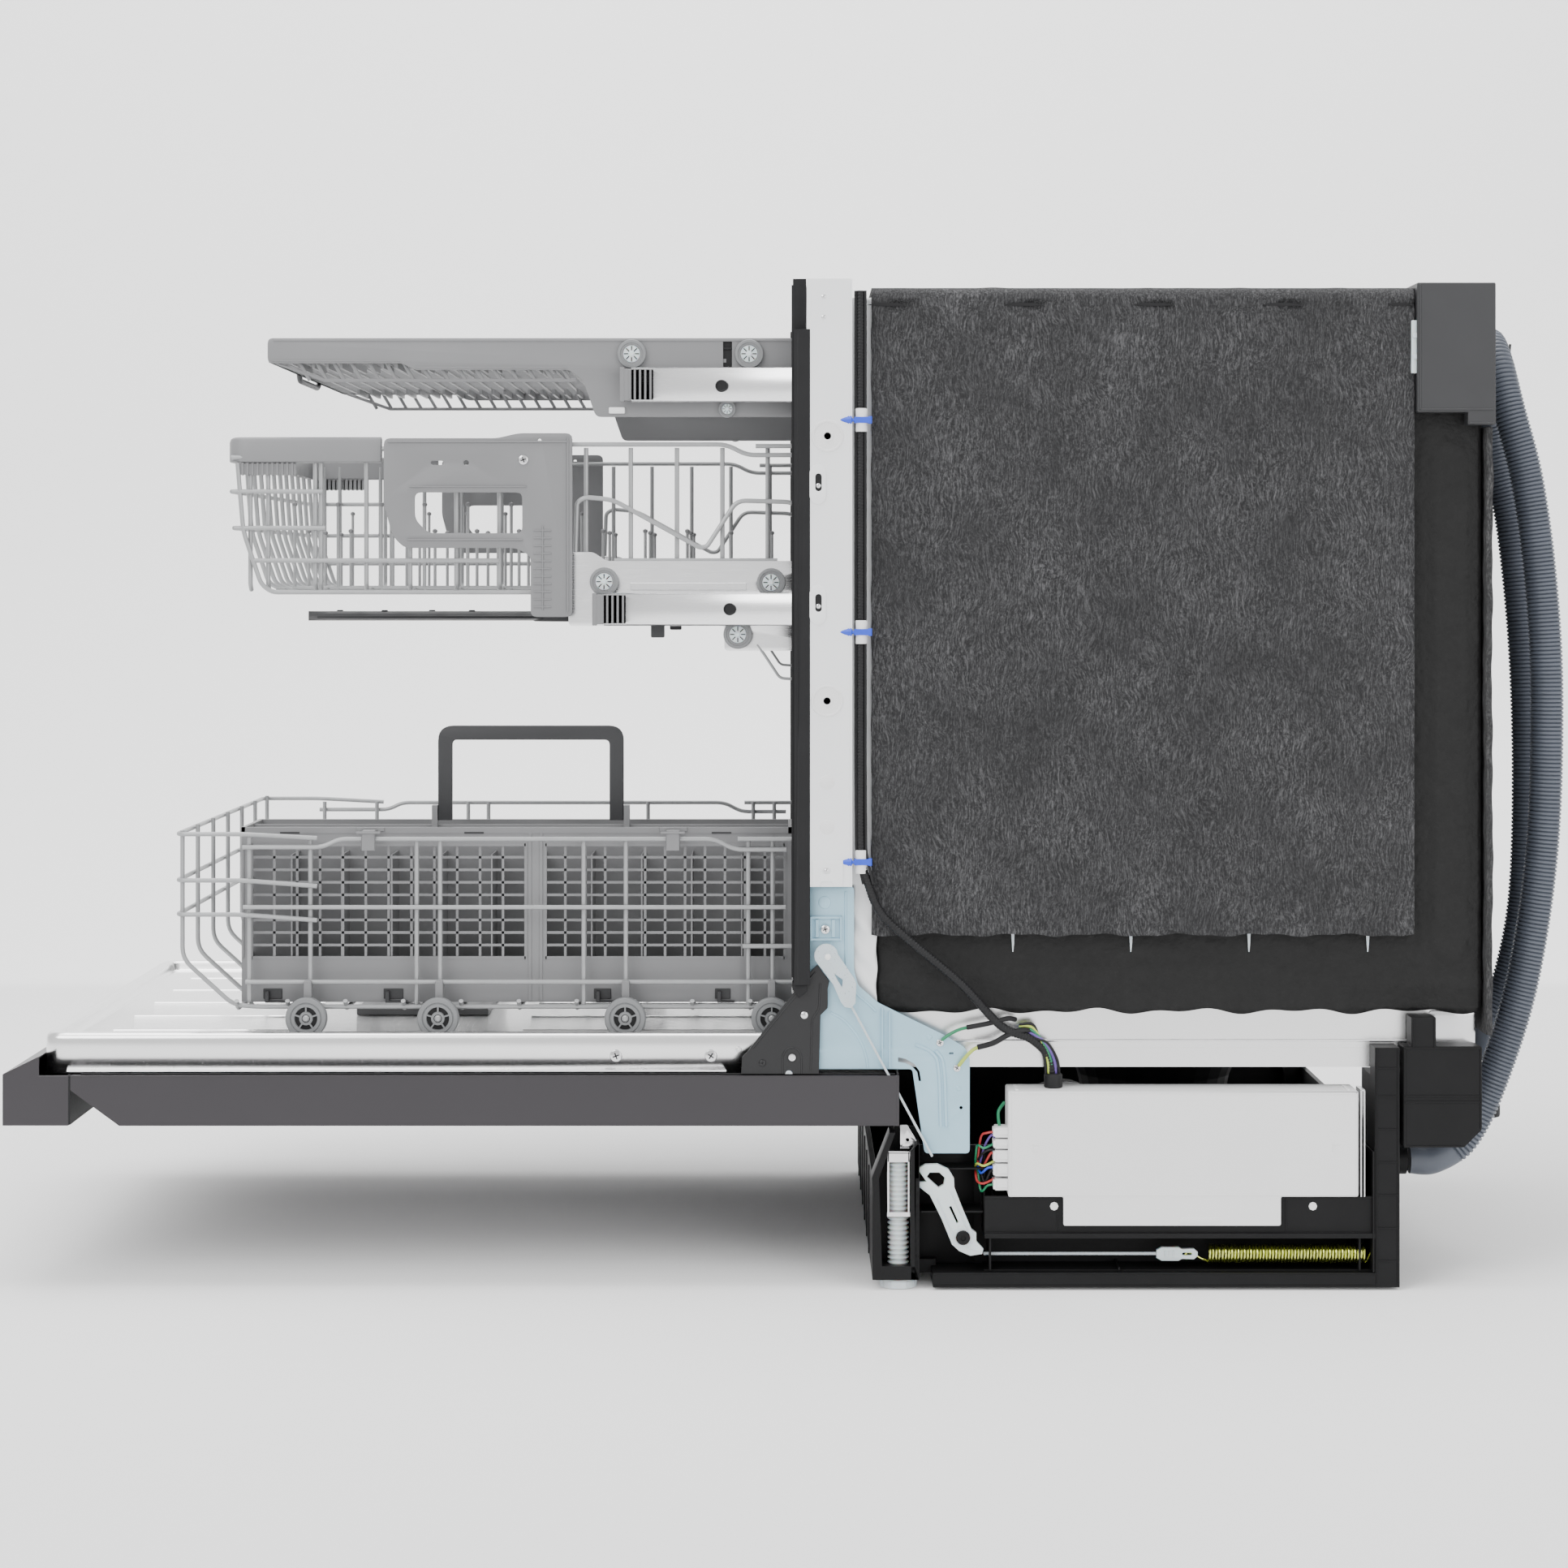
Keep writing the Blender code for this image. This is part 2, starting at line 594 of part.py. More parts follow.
def balance_springs():
    """Plain tubes over the coils, closed towards the hooks."""
    z = SPRING_AXIS[1]
    for side, sign in SIDES:
        coil = cylinder("balance_spring_" + side, SPRING_STEEL, (sign * SPRING_AXIS[0], 0.4590, z), "Y",
                        SPRING_RADIUS, 0.1345, 16)
        hook = cylinder("spring_hook_" + side, SPRING_STEEL, (sign * SPRING_AXIS[0], 0.4585, z), "Y",
                        0.0012, 0.1450, 8)
        combine(coil, hook, "UNION")


# ---------------------------------------------------------------- door
def door_panel():
    """A folded steel tray whose front end slopes to make the finger pocket."""
    front = DOOR_TOP_EDGE + CONTROL_DEPTH + 0.0014
    slope_low = DOOR_TOP_EDGE + CONTROL_DEPTH + POCKET_RUN
    cheek = [(front, DOOR_HIGH), (front, DOOR_HIGH - 0.0125), (slope_low, DOOR_LOW),
             (DOOR_TAIL, DOOR_LOW), (DOOR_TAIL, DOOR_HIGH)]
    width = DOOR_HALF - TUCK
    lip = 0.0060
    high = DOOR_HIGH - TUCK
    tail = DOOR_TAIL - TUCK
    boxes = [
        (-width, width, slope_low + 0.0010, tail, DOOR_LOW + TUCK, DOOR_LOW + SHEET),
        (-width, width, tail - SHEET, tail, DOOR_LOW + 2 * TUCK, high),
        *both_sides([(width - lip, width, front + TUCK, tail - TUCK, high - SHEET, high - TUCK)]),
        (-width + TUCK, width - TUCK, front + 2 * TUCK, front + 0.03, high - SHEET, high - 2 * TUCK),
    ]
    body = solid_boxes("door_panel", boxes, DARK_STEEL)
    slope = [(front + TUCK, high - TUCK), (front + TUCK, cheek[1][1] + TUCK),
             (slope_low + 0.0002, DOOR_LOW + 3 * TUCK), (slope_low + 0.0040, DOOR_LOW + 3 * TUCK),
             (front + SHEET, cheek[1][1] + 0.0020), (front + SHEET, high - TUCK)]
    combine(body, side_plate("pocket_slope", slope, (-width + TUCK, width - TUCK), DARK_STEEL), "UNION")
    for side, sign in SIDES:
        plate = side_plate("door_cheek_" + side, cheek, (sign * (DOOR_HALF - SHEET), sign * DOOR_HALF),
                           DARK_STEEL)
        combine(body, plate, "UNION")
    passage = both_sides([(0.2860, 0.2969, 0.0960, 0.1400, DOOR_LOW + 0.0021, 0.1900)])
    combine(body, finish("strap_passage", boxes_mesh("strap_passage", passage), DARK_STEEL), "DIFFERENCE")


def control_panel():
    wall = 0.0025
    front = DOOR_TOP_EDGE
    back = front + CONTROL_DEPTH
    cheek = [(front, DOOR_LOW), (back, DOOR_LOW), (back, DOOR_HIGH), (LINER_FRONT - 0.0005, DOOR_HIGH),
             (LINER_FRONT - 0.0005, 0.1985), (front, DOOR_HIGH + 0.001)]
    boxes = [
        (-DOOR_HALF, DOOR_HALF, front, front + wall, DOOR_LOW, DOOR_HIGH + 0.001),
        (-DOOR_HALF, DOOR_HALF, front, back, DOOR_LOW, DOOR_LOW + wall),
        (-DOOR_HALF, DOOR_HALF, back - wall, back, DOOR_LOW, DOOR_HIGH),
    ]
    body = solid_boxes("control_panel", boxes, DARK_STEEL)
    for side, sign in SIDES:
        plate = side_plate("control_cheek_" + side, cheek, (sign * (DOOR_HALF - wall), sign * DOOR_HALF),
                           DARK_STEEL)
        combine(body, plate, "UNION")
    bezel = [(front, DOOR_HIGH - 0.0015), (front, DOOR_HIGH + 0.001), (LINER_FRONT - 0.0005, 0.1985),
             (LINER_FRONT - 0.0005, 0.1965)]
    combine(body, side_plate("bezel", bezel, (-DOOR_HALF, DOOR_HALF), DARK_STEEL), "UNION")
    window = finish("button_window", boxes_mesh("button_window", [
        (0.1995, 0.2205, front - 0.005, front + 0.008, 0.1545, 0.1675)]), DARK_STEEL)
    combine(body, window, "DIFFERENCE")


def power_button():
    solid_boxes("power_button", [(0.2000, 0.2200, DOOR_TOP_EDGE, DOOR_TOP_EDGE + 0.0080, 0.1550, 0.1670)],
                BLACK_PLASTIC)


def door_liner():
    """A pressed steel tray: a raised rim on three sides and a lower field, open to the tub for the wheels."""
    step = LINER_RIM + LINER_SLOPE
    across = (-LINER_HALF, LINER_RIM - LINER_HALF, step - LINER_HALF,
              LINER_HALF - step, LINER_HALF - LINER_RIM, LINER_HALF)
    along = (LINER_FRONT, LINER_FRONT + LINER_RIM, LINER_FRONT + step, LINER_REAR)
    bm = bmesh.new()
    grid = []
    for i, x in enumerate(across):
        drop = [LINER_STEP if 2 <= i <= 3 and j >= 2 else 0.0 for j in range(len(along))]
        grid.append([bm.verts.new((x, y, LINER_TOP - d)) for y, d in zip(along, drop)])
    for near, far in zip(grid, grid[1:]):
        for j in range(len(along) - 1):
            bm.faces.new((near[j], far[j], far[j + 1], near[j + 1]))
    edge = [e for e in bm.edges if e.is_boundary]
    skirt = bmesh.ops.extrude_edge_only(bm, edges=edge)["geom"]
    for vertex in skirt:
        if isinstance(vertex, bmesh.types.BMVert):
            vertex.co.z = DOOR_HIGH + GAP
    bmesh.ops.recalc_face_normals(bm, faces=bm.faces)
    if sum(face.normal.z for face in bm.faces) < 0:
        bmesh.ops.reverse_faces(bm, faces=bm.faces[:])
    mesh = bpy.data.meshes.new("door_liner")
    bm.to_mesh(mesh)
    bm.free()
    liner = finish("door_liner", mesh, STEEL)
    shell = liner.modifiers.new("sheet", "SOLIDIFY")
    shell.thickness = SHEET
    shell.offset = -1


def dispenser():
    low = LINER_TOP - LINER_STEP + GAP
    housing = [(-0.1300, 0.0900, -0.3600, -0.3550, low, low + 0.0060),
               (-0.1300, 0.0900, -0.2450, -0.2400, low, low + 0.0060),
               (-0.1300, 0.0900, -0.3600, -0.2400, low, low + 0.0020),
               (0.0300, 0.0900, -0.3600, -0.2400, low, low + 0.0060)]
    solid_boxes("dispenser_housing", housing, GREY_PLASTIC)
    solid_boxes("dispenser_lid", [(-0.0600, 0.0250, -0.3540, -0.2460, low + 0.0025, low + 0.0060)],
                GREY_PLASTIC)


# ---------------------------------------------------------------- racks
def spaced(low, high, count):
    return [low + (high - low) * i / (count - 1) for i in range(count)]


def wire_floor(x_half, y0, y1, z, across, along):
    """Bars across X and bars along Y in one level."""
    h = WIRE / 2
    bars = [(-x_half - h, x_half + h, y - h, y + h, z - h, z + h) for y in spaced(y0, y1, across)]
    bars += [(x - h, x + h, y0 - h, y1 + h, z - h, z + h) for x in spaced(-x_half, x_half, along)]
    return bars


def wire_ring(x_half, y0, y1, z):
    return wire_floor(x_half, y0, y1, z, 2, 2)


def wire_posts(x_half, y0, y1, z0, z1, side_count, end_count):
    h = WIRE / 2
    places = [(x, y) for y in spaced(y0, y1, side_count) for x in (-x_half, x_half)]
    places += [(x, y) for x in spaced(-x_half, x_half, end_count)[1:-1] for y in (y0, y1)]
    return [(x - h, x + h, y - h, y + h, z0 - h, z1 + h) for x, y in places]


def lower_rack():
    y0 = -0.4960
    y1 = 0.0500
    floor = 0.2345
    rim = 0.3790
    bars = wire_floor(RACK_HALF, y0 + 0.06, y1, floor, 5, 4)
    bars += wire_ring(RACK_HALF, y0, y1, rim)
    bars += wire_ring(RACK_HALF, y0, y1, 0.3210)
    bars += wire_posts(RACK_HALF, y0 + 0.06, y1, floor, rim, 5, 4)
    h = WIRE / 2
    bars += [(x - h, x + h, y0 - h, y0 + h, 0.2700, rim + h) for x in spaced(-RACK_HALF, RACK_HALF, 4)]
    bars += [(x - h, x + h, y0 - h, y0 + 0.06 + h, 0.2680, 0.2680 + WIRE)
             for x in spaced(-RACK_HALF, RACK_HALF, 4)]
    for _, sign in SIDES:
        for y in WHEEL_Y:
            bars.append(on_side((0.2480, 0.2540, y - 0.005, y + 0.005, 0.2215, 0.2600), sign))
    body = solid_boxes("lower_rack", bars, COATED_WIRE)
    for side, sign in SIDES:
        for number, y in enumerate(WHEEL_Y, 1):
            axle = cylinder(f"axle_{side}_{number}", COATED_WIRE, (sign * 0.2590, y, WHEEL_Z), "X",
                            AXLE_RADIUS, 0.0160, 10)
            combine(body, axle, "UNION")


def lower_wheels():
    half = (WHEEL_X[1] - WHEEL_X[0]) / 2
    bore = AXLE_RADIUS + 0.0005
    profile = [(bore, -half), (WHEEL_RADIUS - 0.001, -half), (WHEEL_RADIUS, -half + 0.001),
               (WHEEL_RADIUS, half - 0.001), (WHEEL_RADIUS - 0.001, half), (bore, half)]
    for side, sign in SIDES:
        for number, y in enumerate(WHEEL_Y, 1):
            turned(f"wheel_{side}_{number}", profile, (sign * sum(WHEEL_X) / 2, y, WHEEL_Z), "X",
                   GREY_PLASTIC, 16)


BASKET = (0.1300, 0.2350, -0.4420, 0.0360, 0.2372, 0.3890)
HANDLE_X = 0.1825
HANDLE_Y = (-0.2700, -0.1186)
HANDLE_PIVOT_Z = 0.3990


def cutlery_basket():
    x0, x1, y0, y1, z0, z1 = BASKET
    wall = 0.0025
    mid = (y0 + y1) / 2
    boxes = [
        (x0, x1, y0, y1, z0, z0 + wall),
        (x0, x0 + wall, y0, y1, z0, z1),
        (x1 - wall, x1, y0, y1, z0, z1),
        (x0, x1, y0, y0 + wall, z0, z1),
        (x0, x1, y1 - wall, y1, z0, z1),
        (x0, x1, mid - 0.0045, mid + 0.0045, z0, z1),
        (HANDLE_X - 0.0013, HANDLE_X + 0.0013, y0, y1, z0, z1),
    ]
    for y in HANDLE_Y:
        outward = -1 if y < mid else 1
        lug = sorted((y + outward * 0.0065, y + outward * 0.0115))
        boxes.append((HANDLE_X - 0.006, HANDLE_X + 0.006, *lug, z1 - 0.01, HANDLE_PIVOT_Z + 0.006))
    body = solid_boxes("cutlery_basket", boxes, GREY_PLASTIC)
    bore = cylinder("lug_bore", GREY_PLASTIC, (HANDLE_X, mid + 0.008, HANDLE_PIVOT_Z), "Y", 0.0034, 0.20, 12)
    combine(body, bore, "DIFFERENCE")


def basket_handle():
    half = 0.0050
    y0, y1 = HANDLE_Y
    top = 0.4740
    low = HANDLE_PIVOT_Z - 0.0060
    boxes = [
        (HANDLE_X - half, HANDLE_X + half, y0 - half, y0 + half, low, top),
        (HANDLE_X - half, HANDLE_X + half, y1 - half, y1 + half, low, top),
        (HANDLE_X - half, HANDLE_X + half, y0 - half, y1 + half, top - 2 * half, top),
    ]
    body = solid_boxes("basket_handle", boxes, DARK_PLASTIC)
    for y, outward in ((y0, -1), (y1, 1)):
        pin = cylinder(f"handle_pin_{outward}", DARK_PLASTIC,
                       (HANDLE_X, y + outward * 0.0070, HANDLE_PIVOT_Z), "Y", 0.0030, 0.0090, 10)
        combine(body, pin, "UNION")


MIDDLE_FRONT = -0.4530
MIDDLE_BACK = 0.0850
MIDDLE_FLOOR = 0.5953
MIDDLE_ARM = (0.0, -0.1760)


def middle_rack():
    y0 = MIDDLE_FRONT + 0.03
    y1 = MIDDLE_BACK
    rim = 0.7100
    bars = wire_floor(RACK_HALF - 0.003, y0, y1, MIDDLE_FLOOR, 5, 4)
    bars += wire_ring(RACK_HALF - 0.003, y0, y1, rim)
    bars += wire_ring(RACK_HALF - 0.003, y0, y1, 0.6480)
    bars += wire_posts(RACK_HALF - 0.003, y0, y1, MIDDLE_FLOOR, rim, 5, 4)
    trim = [(-RACK_HALF, RACK_HALF, MIDDLE_FRONT, y0 + 0.002, 0.7047, 0.7278),
            *both_sides([(RACK_HALF - 0.004, RACK_HALF, MIDDLE_FRONT, -0.3180, 0.7047, 0.7278)])]
    hub = [(-0.02, 0.02, MIDDLE_ARM[1] - 0.02, MIDDLE_ARM[1] + 0.02, 0.5765, MIDDLE_FLOOR)]
    plates = both_sides([(0.2480, 0.2500, -0.1500, y1, 0.5646, 0.6270),
                         (0.2480, 0.2500, -0.0250, y1, 0.5430, 0.5650)])
    solid_boxes("middle_rack", [*bars, *trim, *hub, *plates], COATED_WIRE)


def middle_brackets():
    """Grey side panels with a grip window and a leg that carries the height scale."""
    outline = [(-0.3155, 0.7257), (-0.2180, 0.7257), (-0.2000, 0.7300), (-0.1540, 0.7300),
               (-0.1540, 0.5725), (-0.1887, 0.5725), (-0.1887, 0.6250), (-0.2020, 0.6320),
               (-0.2980, 0.6320), (-0.3080, 0.6420), (-0.3155, 0.6700)]
    window = [(-0.2900, 0.6800), (-0.2900, 0.6560), (-0.2780, 0.6437), (-0.1960, 0.6437),
              (-0.1960, 0.6800)]
    for side, sign in SIDES:
        side_plate("middle_bracket_" + side, outline, (sign * 0.2525, sign * 0.2565), GREY_PLASTIC, [window])


def rails():
    """Channels that run half as far as their racks."""
    for level, y0, y1, z0, z1 in (("middle", -0.1357, 0.3550, 0.5646, 0.5926),
                                  ("third", -0.1120, 0.3750, 0.7570, 0.7867)):
        for side, sign in SIDES:
            x0, x1 = RAIL_X
            boxes = [(x0, x0 + 0.0016, y0, y1, z0, z1),
                     (x0, x1, y0, y1, z1 - 0.0016, z1),
                     (x0, x1, y0, y1, z0, z0 + 0.0016),
                     (x0, x1, y0, y0 + 0.004, z0, z1)]
            solid_boxes(f"{level}_rail_{side}", [on_side(b, sign) for b in boxes], STEEL)


def middle_spray_arm():
    blade_arm("middle_spray_arm", (*MIDDLE_ARM, 0.5650), 0.2400, DARK_PLASTIC)


def third_rack():
    front = -0.4157
    back = 0.0850
    top = 0.8119
    outline = [(front, top), (front, 0.7920), (-0.3000, 0.7916), (-0.2900, 0.7860), (-0.1560, 0.7860),
               (-0.1420, 0.7750), (-0.1340, 0.7454), (back, 0.7454), (back, top)]
    bars = wire_floor(0.2490, front + 0.004, back - 0.002, 0.7940, 6, 4)
    ends = [(-0.2500, 0.2500, front, front + 0.004, 0.7920, top),
            (-0.2500, 0.2500, back - 0.004, back, 0.7900, top)]
    body = solid_boxes("third_rack", [*ends, *bars], GREY_PLASTIC)
    for side, sign in SIDES:
        plate = side_plate("third_cheek_" + side, outline, (sign * 0.2490, sign * 0.2530), GREY_PLASTIC)
        combine(body, plate, "UNION")


# ---------------------------------------------------------------- cables and hose
def wire_harness():
    """From the door switch at the top, down the right post and over to the control box."""
    route = [(0.2960, 0.0945, 0.8500), (0.2960, 0.0945, 0.7800), (0.2960, 0.0945, 0.6000),
             (0.2960, 0.0945, 0.4500), (0.2965, 0.0950, 0.3720), (0.2970, 0.1010, 0.3450),
             (0.2975, 0.1120, 0.3200), (0.2975, 0.1360, 0.2970), (0.2965, 0.1800, 0.2600),
             (0.2930, 0.2140, 0.2240), (0.2880, 0.2400, 0.2120), (0.2800, 0.2560, 0.1950),
             (0.2760, 0.2600, 0.1705)]
    tube("wire_harness", smooth_route(route, 0.020), 0.0038, BLACK_PLASTIC)


def drain_hose():
    """From the spigot behind the base, up the back, over the top bend and down again."""
    near, far = HOSE_X
    route = [(near, 0.5760, 0.0980), (near, 0.5980, 0.0985), (near, 0.6250, 0.1180),
             (near, 0.6500, 0.1700), (near, 0.6760, 0.2550), (near, 0.6930, 0.3700),
             (near, 0.6970, 0.5000), (near, 0.6920, 0.6000), (near, 0.6800, 0.6900),
             (near - 0.003, 0.6640, 0.7550), (near - 0.014, 0.6560, 0.7950),
             ((near + far) / 2, 0.6530, 0.8130), (far + 0.014, 0.6540, 0.7920),
             (far + 0.003, 0.6600, 0.7500), (far, 0.6700, 0.7050), (far, 0.6820, 0.6500),
             (far, 0.6925, 0.5450), (far, 0.6960, 0.4300), (far, 0.6925, 0.3200), (far, 0.6780, 0.2450),
             (far, 0.6600, 0.2000), (far, 0.6540, 0.1745)]
    tube("drain_hose", smooth_route(route, 0.040), HOSE_RADIUS, HOSE_GREY, 2)
    cylinder("drain_hose_end", RUBBER, (far, 0.6538, 0.1460), "Z", 0.0170, 0.0460, 16)


def build():
    tub()
    damping_shell()
    insulation_blanket()
    rear_felt()
    top_rear_bracket()
    front_frame()
    door_gasket()
    base_frame()
    levelling_feet()
    inlet_tank()
    control_box()
    sump()
    filter_cup()
    pumps()
    lower_spray_arm()
    hinge_plates()
    hinge_arms()
    balance_links()
    cord_guides()
    balance_cords()
    balance_springs()
    door_panel()
    control_panel()
    power_button()
    door_liner()
    dispenser()
    lower_rack()
    lower_wheels()
    cutlery_basket()
    basket_handle()
    middle_rack()
    middle_brackets()
    middle_spray_arm()
    third_rack()
    rails()
    wire_harness()
    drain_hose()


build()
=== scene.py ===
import math

import bmesh
import bpy
from mathutils import Matrix, Vector


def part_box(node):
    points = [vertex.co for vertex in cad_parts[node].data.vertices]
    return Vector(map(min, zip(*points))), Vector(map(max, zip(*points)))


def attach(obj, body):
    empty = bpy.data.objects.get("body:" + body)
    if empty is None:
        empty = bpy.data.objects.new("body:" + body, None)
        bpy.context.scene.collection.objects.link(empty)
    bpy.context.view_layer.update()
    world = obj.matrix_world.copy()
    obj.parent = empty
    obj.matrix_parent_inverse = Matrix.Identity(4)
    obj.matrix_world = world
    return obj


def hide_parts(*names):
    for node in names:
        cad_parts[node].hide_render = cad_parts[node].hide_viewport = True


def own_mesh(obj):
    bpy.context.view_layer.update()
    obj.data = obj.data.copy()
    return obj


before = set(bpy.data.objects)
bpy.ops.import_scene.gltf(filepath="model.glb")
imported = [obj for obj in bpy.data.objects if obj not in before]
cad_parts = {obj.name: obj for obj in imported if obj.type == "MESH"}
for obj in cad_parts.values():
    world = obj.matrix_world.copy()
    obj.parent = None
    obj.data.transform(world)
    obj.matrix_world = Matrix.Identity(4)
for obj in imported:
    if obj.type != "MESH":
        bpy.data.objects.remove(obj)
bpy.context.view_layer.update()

SIDES = (("right", 1), ("left", -1))
TO_SIDE_VIEW = Matrix(((0, 0, 1, 0), (1, 0, 0, 0), (0, 1, 0, 0), (0, 0, 0, 1)))
# Metres, in the row frame. Pairs are (Y, Z), except FILTER, which is (X, Y).
HALF = 0.3015
HINGE = (0.0362, 0.1973)
GUIDE_PIVOT = (0.1818, 0.0435)
FILTER = (0.06, 0.384)
RACK_WHEELS_Y = (-0.382, -0.2685, -0.1074, 0.0188)
RACK_WHEEL_Z = 0.2265
RACK_FLOOR = 0.2345
SHELF_FLOOR = 0.5953
SAME_POINT = 0.000005


# ---------------------------------------------------------------- materials
def look(name, colour, rough, metal=0.0, tint=0.08, tint_size=30.0, grain=400.0, stretch=(1, 1, 1),
         bump=0.15, depth=0.0002, rough_spread=0.08, **sockets):
    """A surface with broad colour drift, fine grain in the roughness and a matching bump."""
    made = bpy.data.materials.new(name)
    made.use_nodes = True
    tree = made.node_tree
    new = tree.nodes.new
    link = tree.links.new
    shader = tree.nodes["Principled BSDF"]
    place = new("ShaderNodeTexCoord")
    broad = new("ShaderNodeTexNoise")
    broad.inputs["Scale"].default_value = tint_size
    broad.inputs["Detail"].default_value = 5.0
    link(place.outputs["Object"], broad.inputs["Vector"])
    mix = new("ShaderNodeMix")
    mix.data_type = "RGBA"
    mix.inputs[6].default_value = (*[c * (1 - tint) for c in colour], 1)
    mix.inputs[7].default_value = (*[min(1.0, c * (1 + tint)) for c in colour], 1)
    link(broad.outputs["Fac"], mix.inputs[0])
    link(mix.outputs[2], shader.inputs["Base Color"])
    mapping = new("ShaderNodeMapping")
    mapping.inputs["Scale"].default_value = stretch
    link(place.outputs["Object"], mapping.inputs["Vector"])
    fine = new("ShaderNodeTexNoise")
    fine.inputs["Scale"].default_value = grain
    fine.inputs["Detail"].default_value = 4.0
    link(mapping.outputs["Vector"], fine.inputs["Vector"])
    spread = new("ShaderNodeMapRange")
    spread.inputs["To Min"].default_value = max(0.02, rough - rough_spread)
    spread.inputs["To Max"].default_value = min(1.0, rough + rough_spread)
    link(fine.outputs["Fac"], spread.inputs["Value"])
    link(spread.outputs["Result"], shader.inputs["Roughness"])
    lift = new("ShaderNodeBump")
    lift.inputs["Strength"].default_value = bump
    lift.inputs["Distance"].default_value = depth
    link(fine.outputs["Fac"], lift.inputs["Height"])
    link(lift.outputs["Normal"], shader.inputs["Normal"])
    shader.inputs["Metallic"].default_value = metal
    for socket, value in sockets.items():
        shader.inputs[socket.replace("_", " ")].default_value = value
    return made


def felt_look(name, dark, pale, amount):
    """Needled fibre mat: long pale fibres running down through a dark one."""
    made = look(name, dark, 0.92, tint=0.35, tint_size=26.0, grain=260.0, bump=0.9, depth=0.0012)
    tree = made.node_tree
    new = tree.nodes.new
    link = tree.links.new
    shader = tree.nodes["Principled BSDF"]
    base = shader.inputs["Base Color"].links[0].from_socket
    place = new("ShaderNodeTexCoord")
    wander = new("ShaderNodeTexNoise")
    wander.inputs["Scale"].default_value = 22.0
    link(place.outputs["Object"], wander.inputs["Vector"])
    shift = new("ShaderNodeVectorMath")
    shift.operation = "MULTIPLY_ADD"
    shift.inputs[1].default_value = (0.022, 0.022, 0.022)
    link(wander.outputs["Color"], shift.inputs[0])
    link(place.outputs["Object"], shift.inputs[2])
    total = None
    for stretch, scale, low, high in (((1, 1, 0.12), 780.0, 0.47, 0.8), ((1, 1, 0.2), 380.0, 0.52, 0.86),
                                      ((1, 0.6, 0.35), 1100.0, 0.48, 0.84)):
        mapping = new("ShaderNodeMapping")
        mapping.inputs["Scale"].default_value = stretch
        link(shift.outputs["Vector"], mapping.inputs["Vector"])
        strand = new("ShaderNodeTexNoise")
        strand.inputs["Scale"].default_value = scale
        strand.inputs["Detail"].default_value = 6.0
        strand.inputs["Roughness"].default_value = 0.65
        link(mapping.outputs["Vector"], strand.inputs["Vector"])
        cut = new("ShaderNodeMapRange")
        cut.inputs["From Min"].default_value = low
        cut.inputs["From Max"].default_value = high
        cut.inputs["To Max"].default_value = amount
        link(strand.outputs["Fac"], cut.inputs["Value"])
        if total is None:
            total = cut.outputs["Result"]
        else:
            add = new("ShaderNodeMath")
            add.operation = "ADD"
            add.use_clamp = True
            link(total, add.inputs[0])
            link(cut.outputs["Result"], add.inputs[1])
            total = add.outputs["Value"]
    patch = new("ShaderNodeTexNoise")
    patch.inputs["Scale"].default_value = 14.0
    link(place.outputs["Object"], patch.inputs["Vector"])
    fade = new("ShaderNodeMath")
    fade.operation = "MULTIPLY"
    link(total, fade.inputs[0])
    link(patch.outputs["Fac"], fade.inputs[1])
    mix = new("ShaderNodeMix")
    mix.data_type = "RGBA"
    mix.inputs[7].default_value = (*pale, 1)
    link(fade.outputs["Value"], mix.inputs[0])
    link(base, mix.inputs[6])
    link(mix.outputs[2], shader.inputs["Base Color"])
    return made


